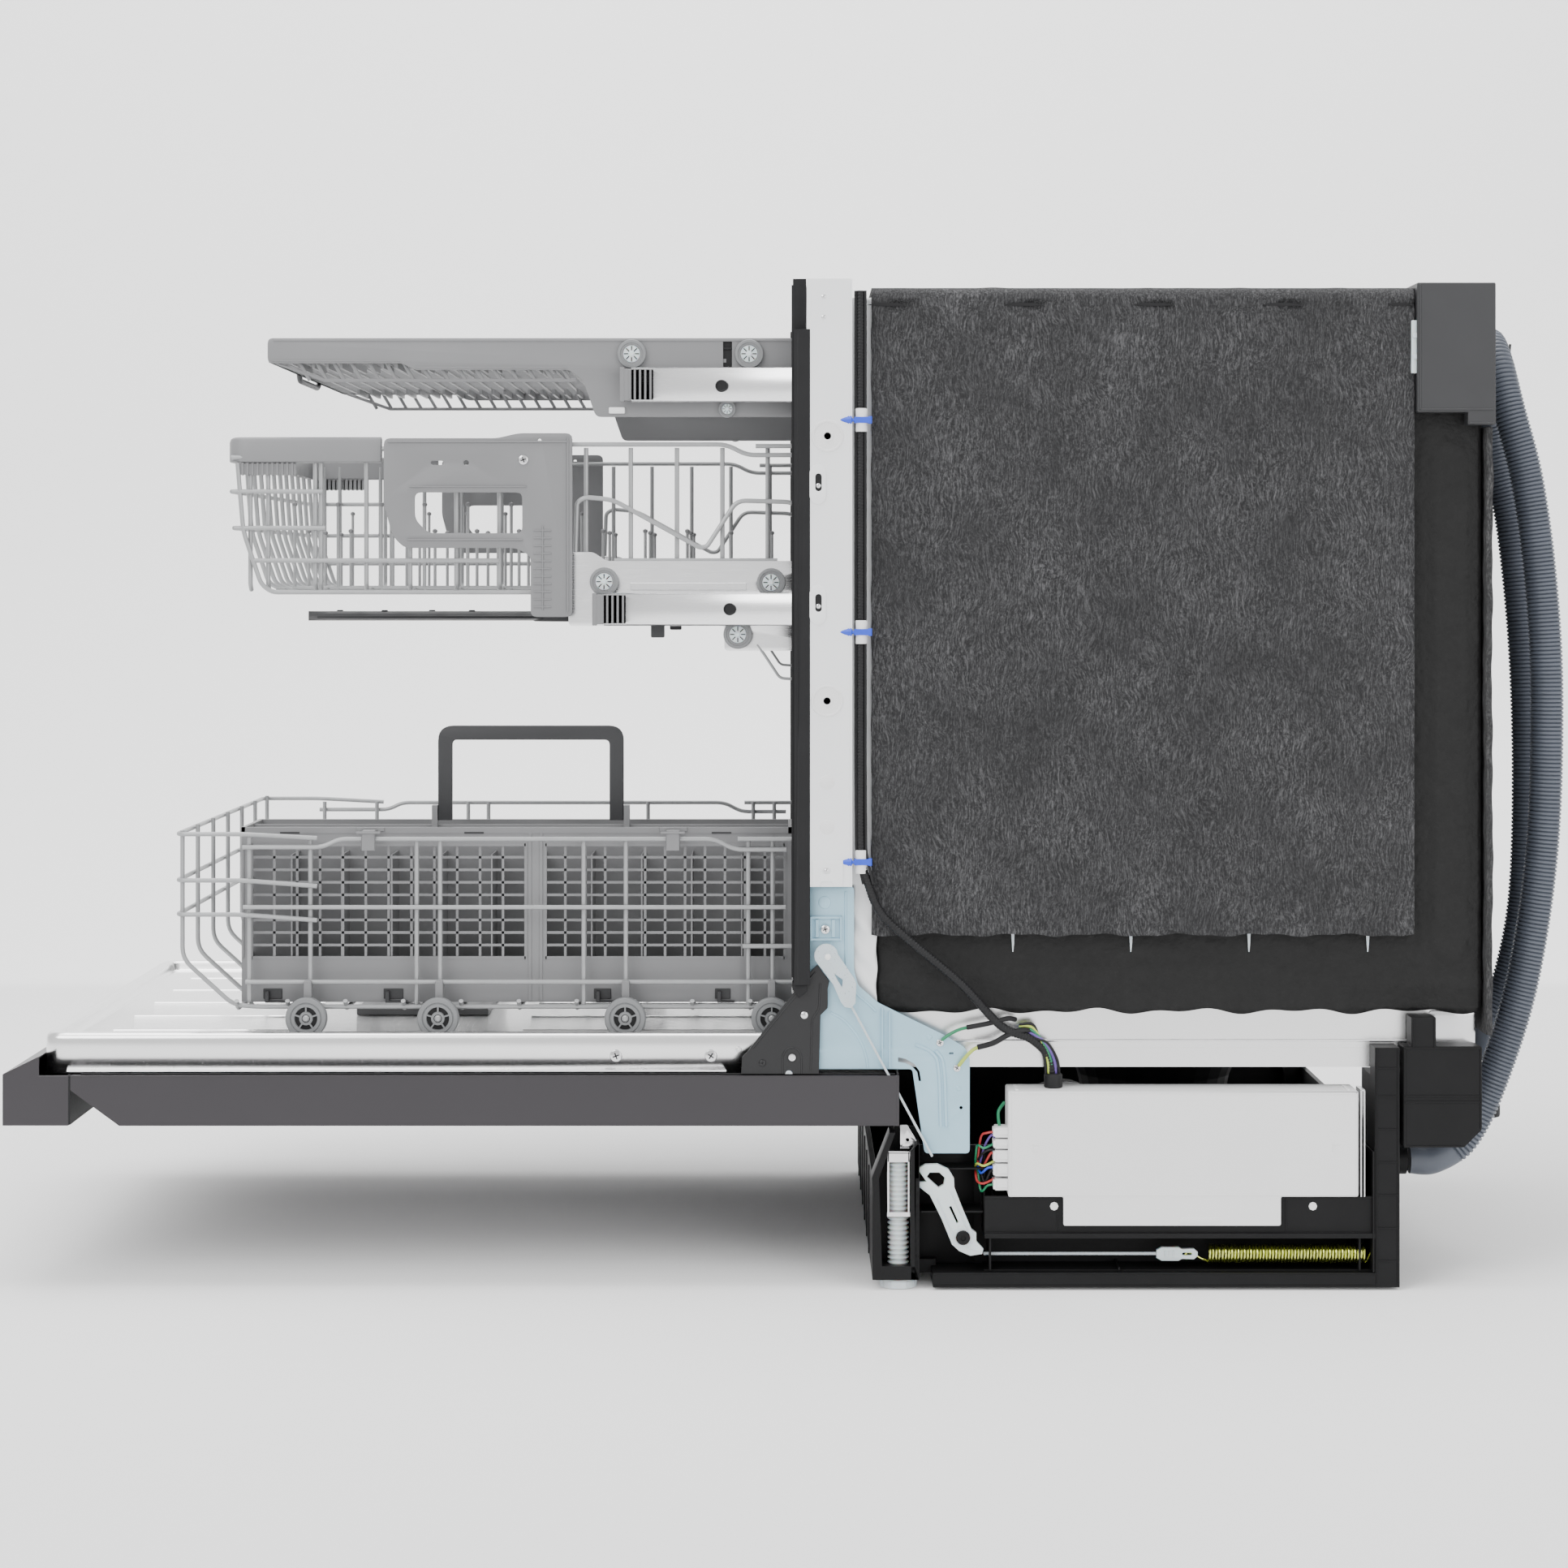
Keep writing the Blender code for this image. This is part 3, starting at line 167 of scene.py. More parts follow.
LIGHT_STEEL = (0.86, 0.86, 0.86)
M = {
    "steel": look("liner_steel", LIGHT_STEEL, 0.24, 1.0, 0.05, 12.0, 900.0, (0.06, 1, 1), 0.05, 0.0001),
    "steel_y": look("rail_steel", (0.93, 0.93, 0.94), 0.26, 1.0, 0.04, 18.0, 900.0, (1, 0.05, 1), 0.05,
                    0.0001),
    "chrome": look("bright_steel", (0.72, 0.72, 0.73), 0.16, 1.0, 0.05, 60.0, 900.0),
    "dark_steel": look("dark_door_steel", (0.042, 0.039, 0.043), 0.38, 0.4, 0.05, 8.0, 900.0, (1, 0.04, 1),
                       0.06, 0.0001, 0.06),
    "arm": look("black_coated_steel", (0.01, 0.01, 0.011), 0.42, 0.1, 0.12, 60.0, 700.0),
    "zinc": look("blue_zinc", (0.37, 0.57, 0.68), 0.42, 0.3, 0.09, 40.0, 500.0, bump=0.1),
    "frame": look("front_frame_sheet", (0.88, 0.89, 0.9), 0.42, 0.1, 0.03, 20.0, 700.0, bump=0.05),
    "base": look("black_moulding", (0.007, 0.007, 0.0075), 0.48, 0.0, 0.25, 30.0, 900.0, bump=0.25,
                 Specular_IOR_Level=0.18),
    "rubber": look("seal_rubber", (0.011, 0.011, 0.012), 0.6, 0.0, 0.25, 40.0, 700.0, bump=0.2,
                   Specular_IOR_Level=0.25),
    "bitumen": look("bitumen_mat", (0.0065, 0.0065, 0.0065), 0.62, 0.0, 0.3, 60.0, 170.0, bump=0.85,
                    depth=0.0018,
                    Specular_IOR_Level=0.3),
    "grey": look("grey_moulding", (0.19, 0.191, 0.196), 0.46, 0.0, 0.05, 20.0, 900.0, bump=0.15),
    "light": look("light_grey_moulding", (0.83, 0.83, 0.83), 0.45, 0.0, 0.03, 20.0, 900.0, bump=0.12),
    "nylon": look("white_nylon", (0.74, 0.75, 0.75), 0.36, 0.0, 0.05, 60.0, 600.0, Subsurface_Weight=0.25),
    "link": look("clear_nylon", (0.8, 0.83, 0.85), 0.3, 0.0, 0.05, 60.0, 600.0, Transmission_Weight=0.35,
                 Subsurface_Weight=0.2),
    "wire": look("coated_wire", (0.33, 0.335, 0.34), 0.36, 0.25, 0.08, 60.0, 500.0),
    "wheel": look("wheel_moulding", (0.19, 0.195, 0.2), 0.5, 0.0, 0.08, 90.0, 700.0),
    "hose": look("ribbed_hose", (0.088, 0.1, 0.125), 0.42, 0.0, 0.18, 40.0, 300.0, bump=0.2),
    "spring": look("yellow_zinc", (0.62, 0.66, 0.16), 0.24, 1.0, 0.25, 120.0, 500.0),
    "dark": look("dark_grey_moulding", (0.024, 0.0245, 0.0265), 0.48, 0.0, 0.12, 30.0, 900.0, bump=0.2),
    "cable": look("black_sleeve", (0.009, 0.009, 0.01), 0.48, 0.0, 0.3, 60.0, 500.0, bump=0.4,
                  Specular_IOR_Level=0.3),
    "tape": look("white_tape", (0.78, 0.78, 0.78), 0.55, 0.0, 0.05, 90.0, 500.0),
    "blue": look("blue_tie", (0.02, 0.07, 0.62), 0.38, 0.0, 0.15, 90.0, 500.0),
    "green": look("green_insulation", (0.01, 0.2, 0.085), 0.4, 0.0, 0.2, 90.0, 500.0),
    "yellow": look("yellow_insulation", (0.42, 0.52, 0.08), 0.4, 0.0, 0.2, 90.0, 500.0),
    "violet": look("violet_insulation", (0.12, 0.07, 0.3), 0.4, 0.0, 0.2, 90.0, 500.0),
    "red": look("red_insulation", (0.42, 0.03, 0.03), 0.4, 0.0, 0.2, 90.0, 500.0),
    "felt": felt_look("blanket_felt", (0.01, 0.01, 0.011), (0.3, 0.3, 0.31), 0.44),
    "edge_felt": felt_look("edge_felt", (0.016, 0.016, 0.017), (0.22, 0.22, 0.22), 0.5),
}


# ---------------------------------------------------------------- ways to make a piece
def seat(obj, finish, body, replaces=(), bevel=0.0, smooth=True):
    """Gives a new object its finish, its body and the CAD nodes it stands for."""
    if obj.name not in bpy.context.scene.collection.all_objects:
        bpy.context.scene.collection.objects.link(obj)
    obj.data.materials.clear()
    obj.data.materials.append(M[finish])
    if obj.type == "MESH" and smooth:
        obj.data.shade_smooth()
        obj.data.set_sharp_from_angle(angle=math.radians(35))
    if bevel:
        soften(obj, bevel)
    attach(obj, body)
    if replaces:
        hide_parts(*replaces)
    return obj


def soften(obj, width, segments=2):
    """Rounded edges, as modifiers."""
    weld = obj.modifiers.new("weld", "WELD")
    weld.merge_threshold = 0.00002
    edge = obj.modifiers.new("edge", "BEVEL")
    edge.width = width
    edge.segments = segments
    edge.limit_method = "ANGLE"
    edge.angle_limit = math.radians(40)
    edge.harden_normals = True
    return obj


def dress(node, finish, bevel=0.0008):
    """A CAD node that stays: a fuller material and worn-in edges."""
    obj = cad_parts[node]
    for slot in obj.material_slots:
        slot.material = M[finish]
    if not obj.material_slots:
        obj.data.materials.append(M[finish])
    if bevel:
        soften(obj, bevel)
    return obj


def from_bmesh(name, bm):
    """A new object from a bmesh, which is used up."""
    mesh = bpy.data.meshes.new(name)
    bmesh.ops.recalc_face_normals(bm, faces=bm.faces)
    bm.to_mesh(mesh)
    bm.free()
    return bpy.data.objects.new(name, mesh)


def add_box(bm, box):
    """A block between two X, two Y and two Z values."""
    low = Vector((box[0], box[2], box[4]))
    high = Vector((box[1], box[3], box[5]))
    place = Matrix.Translation((low + high) / 2) @ Matrix.Diagonal((*(high - low), 1.0))
    bmesh.ops.create_cube(bm, size=1.0, matrix=place)


def boxes(name, items, finish, body, replaces=(), bevel=0.0006):
    """Several blocks with rounded edges in one piece."""
    bm = bmesh.new()
    for item in items:
        add_box(bm, item)
    return seat(from_bmesh(name, bm), finish, body, replaces, bevel)


def as_mesh(curve_object):
    """The mesh of a curve, in the row frame."""
    bpy.context.scene.collection.objects.link(curve_object)
    bpy.context.view_layer.update()
    graph = bpy.context.evaluated_depsgraph_get()
    mesh = bpy.data.meshes.new_from_object(curve_object.evaluated_get(graph))
    mesh.transform(curve_object.matrix_world)
    name = curve_object.name
    data = curve_object.data
    bpy.data.objects.remove(curve_object, do_unlink=True)
    bpy.data.curves.remove(data)
    bm = bmesh.new()
    bm.from_mesh(mesh)
    bmesh.ops.remove_doubles(bm, verts=bm.verts, dist=SAME_POINT)
    bm.to_mesh(mesh)
    bm.free()
    return bpy.data.objects.new(name, mesh)


def round_bends(points, radius, steps=4, closed=False):
    """Replaces each corner of a bent wire by a small curve."""
    knots = [Vector(p) for p in points]
    count = len(knots)
    path = []
    for i, knot in enumerate(knots):
        if not closed and i in (0, count - 1):
            path.append(knot)
            continue
        before = knots[i - 1]
        after = knots[(i + 1) % count]
        reach = min(radius, (knot - before).length * 0.45, (after - knot).length * 0.45)
        a = knot + (before - knot).normalized() * reach
        b = knot + (after - knot).normalized() * reach
        for step in range(steps + 1):
            t = step / steps
            path.append(a * (1 - t) ** 2 + knot * 2 * t * (1 - t) + b * t * t)
    return path


def rods(name, paths, radius, finish, body, replaces=(), bend=0.008, sides=3, closed=()):
    """Round wires along the given paths, in one piece. closed lists the rings among them."""
    curve = bpy.data.curves.new(name, "CURVE")
    curve.dimensions = "3D"
    curve.bevel_depth = radius
    curve.bevel_resolution = sides
    curve.use_fill_caps = True
    for number, path in enumerate(paths):
        ring = number in closed
        points = round_bends(path, bend, closed=ring) if bend else [Vector(p) for p in path]
        spline = curve.splines.new("POLY")
        spline.points.add(len(points) - 1)
        for point, place in zip(spline.points, points):
            point.co = (*place, 1.0)
        spline.use_cyclic_u = ring
    return seat(as_mesh(bpy.data.objects.new(name, curve)), finish, body, replaces)


def plate(name, rings, x0, x1, finish, body, replaces=(), bevel=0.0, corner=0.0):
    """A flat sheet from (Y, Z) rings, the outline first, then its holes, between two X values."""
    curve = bpy.data.curves.new(name, "CURVE")
    curve.dimensions = "2D"
    curve.fill_mode = "BOTH"
    curve.extrude = max(abs(x1 - x0) / 2 - bevel, 0.00005)
    curve.bevel_depth = bevel
    curve.bevel_resolution = 1
    for number, ring in enumerate(rings):
        points = [(p[0], p[1], 0.0) for p in ring]
        if corner and number == 0:
            points = round_bends(points, corner, 3, closed=True)
        spline = curve.splines.new("POLY")
        spline.points.add(len(points) - 1)
        for point, place in zip(spline.points, points):
            point.co = (place[0], place[1], 0.0, 1.0)
        spline.use_cyclic_u = True
    obj = bpy.data.objects.new(name, curve)
    obj.matrix_world = Matrix.Translation(((x0 + x1) / 2, 0, 0)) @ TO_SIDE_VIEW
    return seat(as_mesh(obj), finish, body, replaces)


def circle(y, z, radius, count=20, start=0.0, end=360.0):
    """Points of a (Y, Z) circle, or of a part of it."""
    step = math.radians(end - start) / (count if end - start >= 360 else count - 1)
    first = math.radians(start)
    return [(y + radius * math.cos(first + i * step), z + radius * math.sin(first + i * step))
            for i in range(count)]


def oval(y, z, half_y, half_z, count=6):
    """A ring with round ends, long along Y or along Z."""
    radius = min(half_y, half_z)
    ring = []
    for cy, cz, start in ((half_y - radius, half_z - radius, 0), (radius - half_y, half_z - radius, 90),
                          (radius - half_y, radius - half_z, 180), (half_y - radius, radius - half_z, 270)):
        for i in range(count):
            a = math.radians(start + 90 * i / (count - 1))
            ring.append((y + cy + radius * math.cos(a), z + cz + radius * math.sin(a)))
    return ring


def lathe(bm, profile, centre, axis, steps=28):
    """Turns (radius, height) points about an axis: +X, -X, Y or Z."""
    part = bmesh.new()
    points = [part.verts.new((max(r, 0.0), 0.0, h)) for r, h in profile]
    for a, b in zip(points, points[1:]):
        part.edges.new((a, b))
    bmesh.ops.spin(part, geom=part.verts[:] + part.edges[:], cent=(0, 0, 0), axis=(0, 0, 1),
                   angle=2 * math.pi, steps=steps, use_merge=True)
    bmesh.ops.remove_doubles(part, verts=part.verts, dist=SAME_POINT)
    turn = {"X": Matrix.Rotation(math.pi / 2, 4, "Y"), "-X": Matrix.Rotation(-math.pi / 2, 4, "Y"),
            "Y": Matrix.Rotation(-math.pi / 2, 4, "X"), "Z": Matrix.Identity(4)}[axis]
    part.transform(Matrix.Translation(centre) @ turn)
    mesh = bpy.data.meshes.new("turned")
    part.to_mesh(mesh)
    part.free()
    bm.from_mesh(mesh)
    bpy.data.meshes.remove(mesh)
    return bm


def turned(name, items, finish, body, replaces=(), steps=28):
    """Turned forms in one piece, each (profile, centre, axis)."""
    bm = bmesh.new()
    for profile, centre, axis in items:
        lathe(bm, profile, centre, axis, steps)
    return seat(from_bmesh(name, bm), finish, body, replaces)


def facing(sign):
    """The name of the axis that points out of the side."""
    return "X" if sign > 0 else "-X"


def studs(name, sign, profile, places, finish, body, steps=28):
    """Turned forms of one profile, with their heads towards the side."""
    return turned(name, [(profile, place, facing(sign)) for place in places], finish, body, steps=steps)


def side_box(sign, x0, x1, *rest):
    """A block given for the right side, mirrored when sign is -1."""
    return (x0, x1, *rest) if sign > 0 else (-x1, -x0, *rest)


def side_boxes(name, sign, items, finish, body, bevel=0.0006):
    """Blocks given for the right side, in one piece."""
    return boxes(name, [side_box(sign, *item) for item in items], finish, body, bevel=bevel)


def in_plane(x, *paths):
    """Paths of (Y, Z) points, all at one X."""
    return [[(x, *point) for point in path] for path in paths]


def screws(name, places, radius, sign, finish, body, height=0.0014):
    """Pan heads with a cross recess, drawn as black bars of painted shade, each at (x, y, z) with its head
    towards the side.
    """
    head = [(0, height), (radius * 0.55, height * 0.95), (radius * 0.88, height * 0.6), (radius, 0.0),
            (radius, -height * 0.3)]
    bm = bmesh.new()
    for x, y, z in places:
        lathe(bm, head, (sign * x, y, z), facing(sign), 20)
    heads = seat(from_bmesh(name, bm), finish, body)
    # The cross recess is not cut: black bars stand in for the shade inside it (painted shade).
    shaded_slots = bmesh.new()
    for number, (x, y, z) in enumerate(places):
        turn = Matrix.Rotation(math.radians(20 + 37 * number), 4, "X")
        for angle in (0, math.pi / 2):
            place = (Matrix.Translation((sign * (x + height * 0.93), y, z)) @ turn
                     @ Matrix.Rotation(angle, 4, "X")
                     @ Matrix.Diagonal((height * 0.2, radius * 1.05, radius * 0.2, 1)))
            bmesh.ops.create_cube(shaded_slots, size=1.0, matrix=place)
    seat(from_bmesh(name + "_cross_shade", shaded_slots), "cable", body)
    return heads


def smooth_route(points, spacing):
    """Evenly spaced points along a Catmull-Rom curve through the given points."""
    knots = [Vector(p) for p in points]
    knots = [2 * knots[0] - knots[1]] + knots + [2 * knots[-1] - knots[-2]]
    fine = []
    for a, b, c, d in zip(knots, knots[1:], knots[2:], knots[3:]):
        for step in range(24):
            t = step / 24
            fine.append(0.5 * (2 * b + (c - a) * t + (2 * a - 5 * b + 4 * c - d) * t * t
                               + (3 * b - a - 3 * c + d) * t ** 3))
    fine.append(knots[-2])
    total = sum((q - p).length for p, q in zip(fine, fine[1:]))
    count = max(2, round(total / spacing))
    step = total / count
    route = [fine[0]]
    walked = 0.0
    for p, q in zip(fine, fine[1:]):
        length = (q - p).length
        while len(route) < count and walked + length >= step * len(route) - 1e-9:
            route.append(p.lerp(q, (step * len(route) - walked) / length))
        walked += length
    route.append(fine[-1])
    return route


def ribbed_tube(name, path, profile, finish, body, replaces=(), sides=16):
    """A tube whose radius follows profile(i) at each point of an evenly spaced path."""
    bm = bmesh.new()
    rings = []
    normal = Vector((1, 0, 0))
    for i, point in enumerate(path):
        ahead = path[min(i + 1, len(path) - 1)] - path[max(i - 1, 0)]
        tangent = ahead.normalized()
        normal = (normal - tangent * normal.dot(tangent)).normalized()
        across = tangent.cross(normal)
        ring = []
        for k in range(sides):
            a = 2 * math.pi * k / sides
            ring.append(bm.verts.new(point + (normal * math.cos(a) + across * math.sin(a)) * profile(i)))
        rings.append(ring)
    for first, second in zip(rings, rings[1:]):
        for k in range(sides):
            n = (k + 1) % sides
            bm.faces.new((first[k], first[n], second[n], second[k]))
    bm.faces.new(rings[0])
    bm.faces.new(rings[-1])
    return seat(from_bmesh(name, bm), finish, body, replaces)


def sheet_mesh(name, place, rows, columns):
    """A grid whose points are place(u, v) with u and v from 0 to 1."""
    bm = bmesh.new()
    grid = [[bm.verts.new(place(i / rows, j / columns)) for j in range(columns + 1)]
            for i in range(rows + 1)]
    for i in range(rows):
        for j in range(columns):
            bm.faces.new((grid[i][j], grid[i + 1][j], grid[i + 1][j + 1], grid[i][j + 1]))
    mesh = bpy.data.meshes.new(name)
    bm.to_mesh(mesh)
    bm.free()
    mesh.shade_smooth()
    return bpy.data.objects.new(name, mesh)


def thicken(obj, thickness, edge=0.0, offset=-1.0):
    """A sheet with a real thickness, from a surface."""
    shell = obj.modifiers.new("thickness", "SOLIDIFY")
    shell.thickness = thickness
    shell.offset = offset
    if edge:
        soften(obj, edge, 3)
    return obj


def step_up(value, low, high):
    """0 below low, 1 above high, smooth between."""
    t = min(1.0, max(0.0, (value - low) / (high - low)))
    return t * t * (3 - 2 * t)


def along_path(points, share):
    """The point at that share of a broken line's length."""
    runs = [(b - a).length for a, b in zip(points, points[1:])]
    walk = share * sum(runs)
    for a, b, run in zip(points, points[1:], runs):
        if walk <= run:
            return a.lerp(b, walk / run)
        walk -= run
    return points[-1]


# ---------------------------------------------------------------- camera, stage and light
def camera_and_light():
    """The photo's camera, studio lights and plain ground."""
    data = bpy.data.cameras.new("camera")
    data.sensor_width = 36.0
    data.lens = 79.7
    data.shift_y = -0.128
    camera = bpy.data.objects.new("camera", data)
    camera.location = (HALF + 2.95, 0.0293, 0.601)
    camera.rotation_euler = (math.pi / 2, 0.0, math.pi / 2)
    bpy.context.scene.collection.objects.link(camera)
    bpy.context.scene.camera = camera

    profile = [Vector((6.0, 0, -0.0005)), Vector((-1.9, 0, -0.0005))]
    profile += [Vector((-1.9 - 0.8 * math.sin(a), 0, 0.8 - 0.8 * math.cos(a)))
                for a in (math.pi / 2 * i / 12 for i in range(13))]
    profile.append(Vector((-2.7, 0, 5.0)))
    bm = bmesh.new()
    rows = [[bm.verts.new((p.x, y, p.z)) for y in (-7.0, 7.0)] for p in profile]
    for a, b in zip(rows, rows[1:]):
        bm.faces.new((a[0], a[1], b[1], b[0]))
    stage = from_bmesh("stage", bm)
    stage.data.shade_smooth()
    stage.data.materials.append(look("stage_paper", (0.93, 0.93, 0.93), 0.9, tint=0.01))
    bpy.context.scene.collection.objects.link(stage)

    world = bpy.data.worlds.new("studio")
    bpy.context.scene.world = world
    world.use_nodes = True
    world.node_tree.nodes["Background"].inputs["Color"].default_value = (1.0, 1.0, 1.0, 1)
    world.node_tree.nodes["Background"].inputs["Strength"].default_value = 1.05
    for name, where, aim, size, power in (
            ("key", (3.0, -2.2, 2.9), (0.2, -0.1, 0.4), 2.4, 95.0),
            ("fill", (3.4, 2.6, 1.4), (0.2, 0.2, 0.4), 2.6, 45.0),
            ("over", (0.2, 0.0, 3.6), (0.0, 0.0, 0.4), 3.0, 60.0),
            ("backdrop", (-0.6, 0.0, 3.4), (-2.6, 0.0, 1.0), 3.6, 150.0)):
        light = bpy.data.lights.new(name, "AREA")
        light.shape = "SQUARE"
        light.size = size
        light.energy = power
        lamp = bpy.data.objects.new(name, light)
        lamp.location = where
        lamp.rotation_euler = (Vector(aim) - Vector(where)).to_track_quat("-Z", "Y").to_euler()
        bpy.context.scene.collection.objects.link(lamp)


# ---------------------------------------------------------------- drain hose
def drain_hose():
    """The corrugated hose, its end fitting and what holds it."""
    near, far = 0.213, 0.14
    route = [(near, 0.576, 0.098), (near, 0.598, 0.0985), (near, 0.625, 0.118),
             (near, 0.65, 0.17), (near, 0.676, 0.255), (near, 0.693, 0.37),
             (near, 0.697, 0.5), (near, 0.692, 0.6), (near, 0.68, 0.69),
             (near - 0.003, 0.664, 0.755), (near - 0.014, 0.656, 0.795),
             ((near + far) / 2, 0.653, 0.813), (far + 0.014, 0.654, 0.792),
             (far + 0.003, 0.66, 0.75), (far, 0.67, 0.705), (far, 0.682, 0.65),
             (far, 0.6925, 0.545), (far, 0.696, 0.43), (far, 0.6925, 0.32), (far, 0.678, 0.245),
             (far, 0.66, 0.2), (far, 0.654, 0.1745)]
    fine = smooth_route(route, 0.00088)
    cuffs = 46
    last = len(fine) - 1

    def radius(i):
        if i < cuffs or i > last - cuffs:
            return 0.0136
        return (0.0142, 0.0145, 0.0142, 0.0128)[i % 4]

    hose = ribbed_tube("ribbed_drain_hose", fine, radius, "hose", "chassis", ("drain_hose",), 20)
    ring = [(0.015, -0.022), (0.0166, -0.022), (0.017, -0.02), (0.017, -0.012), (0.016, -0.011),
            (0.016, -0.007), (0.017, -0.006), (0.017, 0.016), (0.0165, 0.0205), (0.015, 0.021),
            (0.0138, 0.0222), (0.0118, 0.0222), (0.0118, -0.02), (0.015, -0.022)]
    end = turned("drain_hose_nozzle", [(ring, (far, 0.6538, 0.146), "Z")], "rubber", "chassis",
                 ("drain_hose_end",))
    band = [(0.01705, -0.003), (0.01755, -0.003), (0.01755, 0.003), (0.01705, 0.003), (0.01705, -0.003)]
    clamp = turned("hose_clamp", [(band, (far, 0.6538, 0.15), "Z")], "chrome", "chassis")
    middle = (near + far) / 2
    hook = [(0.6345, 0.778), (0.636, 0.793), (0.64, 0.7968), (0.662, 0.7968), (0.669, 0.799),
            (0.67, 0.812)]
    rods("hose_hook", [[(middle + dx, y, z) for y, z in hook] for dx in (-0.012, 0.0, 0.012)],
         0.0011, "dark", "chassis", bend=0.003)


# ---------------------------------------------------------------- tub and its coverings
def wave(y, z, seed):
    """A slow, repeatable ripple between -1 and 1."""
    return (math.sin(y * 37 + z * 21 + seed) + math.sin(y * 83 - z * 57 + seed * 2.3)
            + math.sin(y * 151 + z * 173 + seed * 4.1)) / 3


def insulation_blanket():
    """The felt over the tub's top and sides."""
    low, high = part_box("insulation_blanket")
    x = high.x - 0.0016
    z1 = high.z - 0.0014
    r = 0.012
    corner = [Vector((x - r + r * math.cos(a), 0, z1 - r + r * math.sin(a)))
              for a in (math.pi / 2 * i / 6 for i in range(7))]
    path = [Vector((x, 0, low.z)), *corner, *[Vector((-p.x, 0, p.z)) for p in reversed(corner)],
            Vector((-x, 0, low.z))]

    def place(u, v):
        p = along_path(path, u)
        y = low.y + (high.y - low.y) * v
        hem = 0.001 * math.sin(y * 90) + 0.0006 * math.sin(y * 211)
        lift = 0.0011 * wave(y, p.z, 1.0)
        side = 1 if p.x > 0 else -1
        if abs(p.x) > x - r:
            fold = math.exp(-((p.z - 0.8385) / 0.003) ** 2)
            pleat = max(0.0, math.sin((y - 0.105) * 2 * math.pi / 0.11)) ** 4
            return Vector((p.x + side * (lift - 0.0035 * fold * (0.25 + pleat)), y,
                           p.z + (hem if p.z < low.z + 0.02 else 0.0)))
        return Vector((p.x, y, p.z + lift - 0.0006))

    blanket = thicken(sheet_mesh("felt_blanket", place, 380, 116), 0.0118, 0.0022, 1.0)
    seat(blanket, "felt", "chassis", ("insulation_blanket",))
    # Black strips along the fold near the top of each side: painted shade in the felt's creases.
    crease_shades = []
    for sign in (1, -1):
        for y in (0.1175, 0.2342, 0.3442, 0.455, 0.555):
            half = 0.0175 if y < 0.54 else 0.01
            ring = [(y - half, 0.8385), (y - half * 0.4, 0.8404), (y + half * 0.5, 0.84), (y + half, 0.838),
                    (y + half * 0.3, 0.8376), (y - half * 0.5, 0.8378)]
            crease_shades.append((ring, sign))
    for number, (ring, sign) in enumerate(crease_shades):
        plate(f"blanket_crease_shade_{number}", [ring], sign * 0.2898, sign * 0.2912, "rubber", "chassis")
    for side, sign in SIDES:
        for number, y in enumerate((0.2252, 0.3262, 0.4273, 0.529)):
            tag = [(y - 0.0016, 0.306), (y + 0.0016, 0.306), (y + 0.0011, 0.293), (y + 0.0004, 0.2855),
                   (y - 0.0004, 0.2855)]
            plate(f"blanket_tag_{side}_{number}", [tag], sign * 0.279, sign * 0.2797, "nylon", "chassis")


def relief(y, z):
    """Raised pressings of the damping mat, in metres."""
    height = 0.0
    ridge = 0.26 + 0.01 * step_up(y, 0.16, 0.24) - 0.012 * step_up(y, 0.44, 0.52)
    height += 0.0016 * math.exp(-((z - ridge) / 0.0055) ** 2)
    centre = math.hypot((y - 0.345) / 0.045, (z - 0.268) / 0.02)
    height += 0.0014 * math.exp(-((centre - 1.0) / 0.18) ** 2)
    edge = math.hypot((y - 0.6) / 0.016, max(0.0, abs(z - 0.5) - 0.205) / 0.02)
    height += 0.0018 * (1 - step_up(edge, 0.75, 1.05))
    height -= 0.0012 * (1 - step_up(edge, 0.35, 0.6))
    notch = math.hypot((y - 0.13) / 0.02, (z - 0.275) / 0.012)
    height += 0.0014 * (1 - step_up(notch, 0.8, 1.1))
    return height


def damping_mat():
    """The bitumen layer on the tub's sides."""
    low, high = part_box("damping_shell")
    x = high.x - 0.0022
    for side, sign in SIDES:
        def place(u, v, sign=sign):
            y = low.y + (high.y - low.y) * v
            z = low.z + (high.z - low.z) * u
            bare = max(1 - step_up(z, 0.288, 0.298), step_up(y, 0.571, 0.577))
            rim = 0.0014 * (math.sin(y * 70) + math.sin(y * 131)) if u == 0 else 0.0
            return Vector((sign * (x + bare * relief(y, z) + 0.0004 * wave(y, z, 3.0)), y, z + rim))
        wall = thicken(sheet_mesh(f"damping_mat_{side}", place, 150, 130), 0.0035, 0.0, 0.0)
        seat(wall, "bitumen", "chassis")
    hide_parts("damping_shell")
    roof_z = high.z - 0.0022
    back_y = high.y - 0.0022

    def over(u, v):
        x2 = x * (2 * v - 1)
        bend = 0.62
        if u < bend:
            y = low.y + (back_y - low.y) * u / bend
            return Vector((x2, y, roof_z + 0.0005 * wave(x2, y, 5.0)))
        z = roof_z - (roof_z - low.z) * (u - bend) / (1 - bend)
        press = 0.0012 * math.cos(x2 * 60) * step_up(z, 0.25, 0.3)
        return Vector((x2, back_y + min(0.0016, max(-0.001, press)), z))

    seat(thicken(sheet_mesh("damping_mat_top_and_back", over, 150, 110), 0.0035, 0.0, 0.0), "bitumen",
         "chassis")


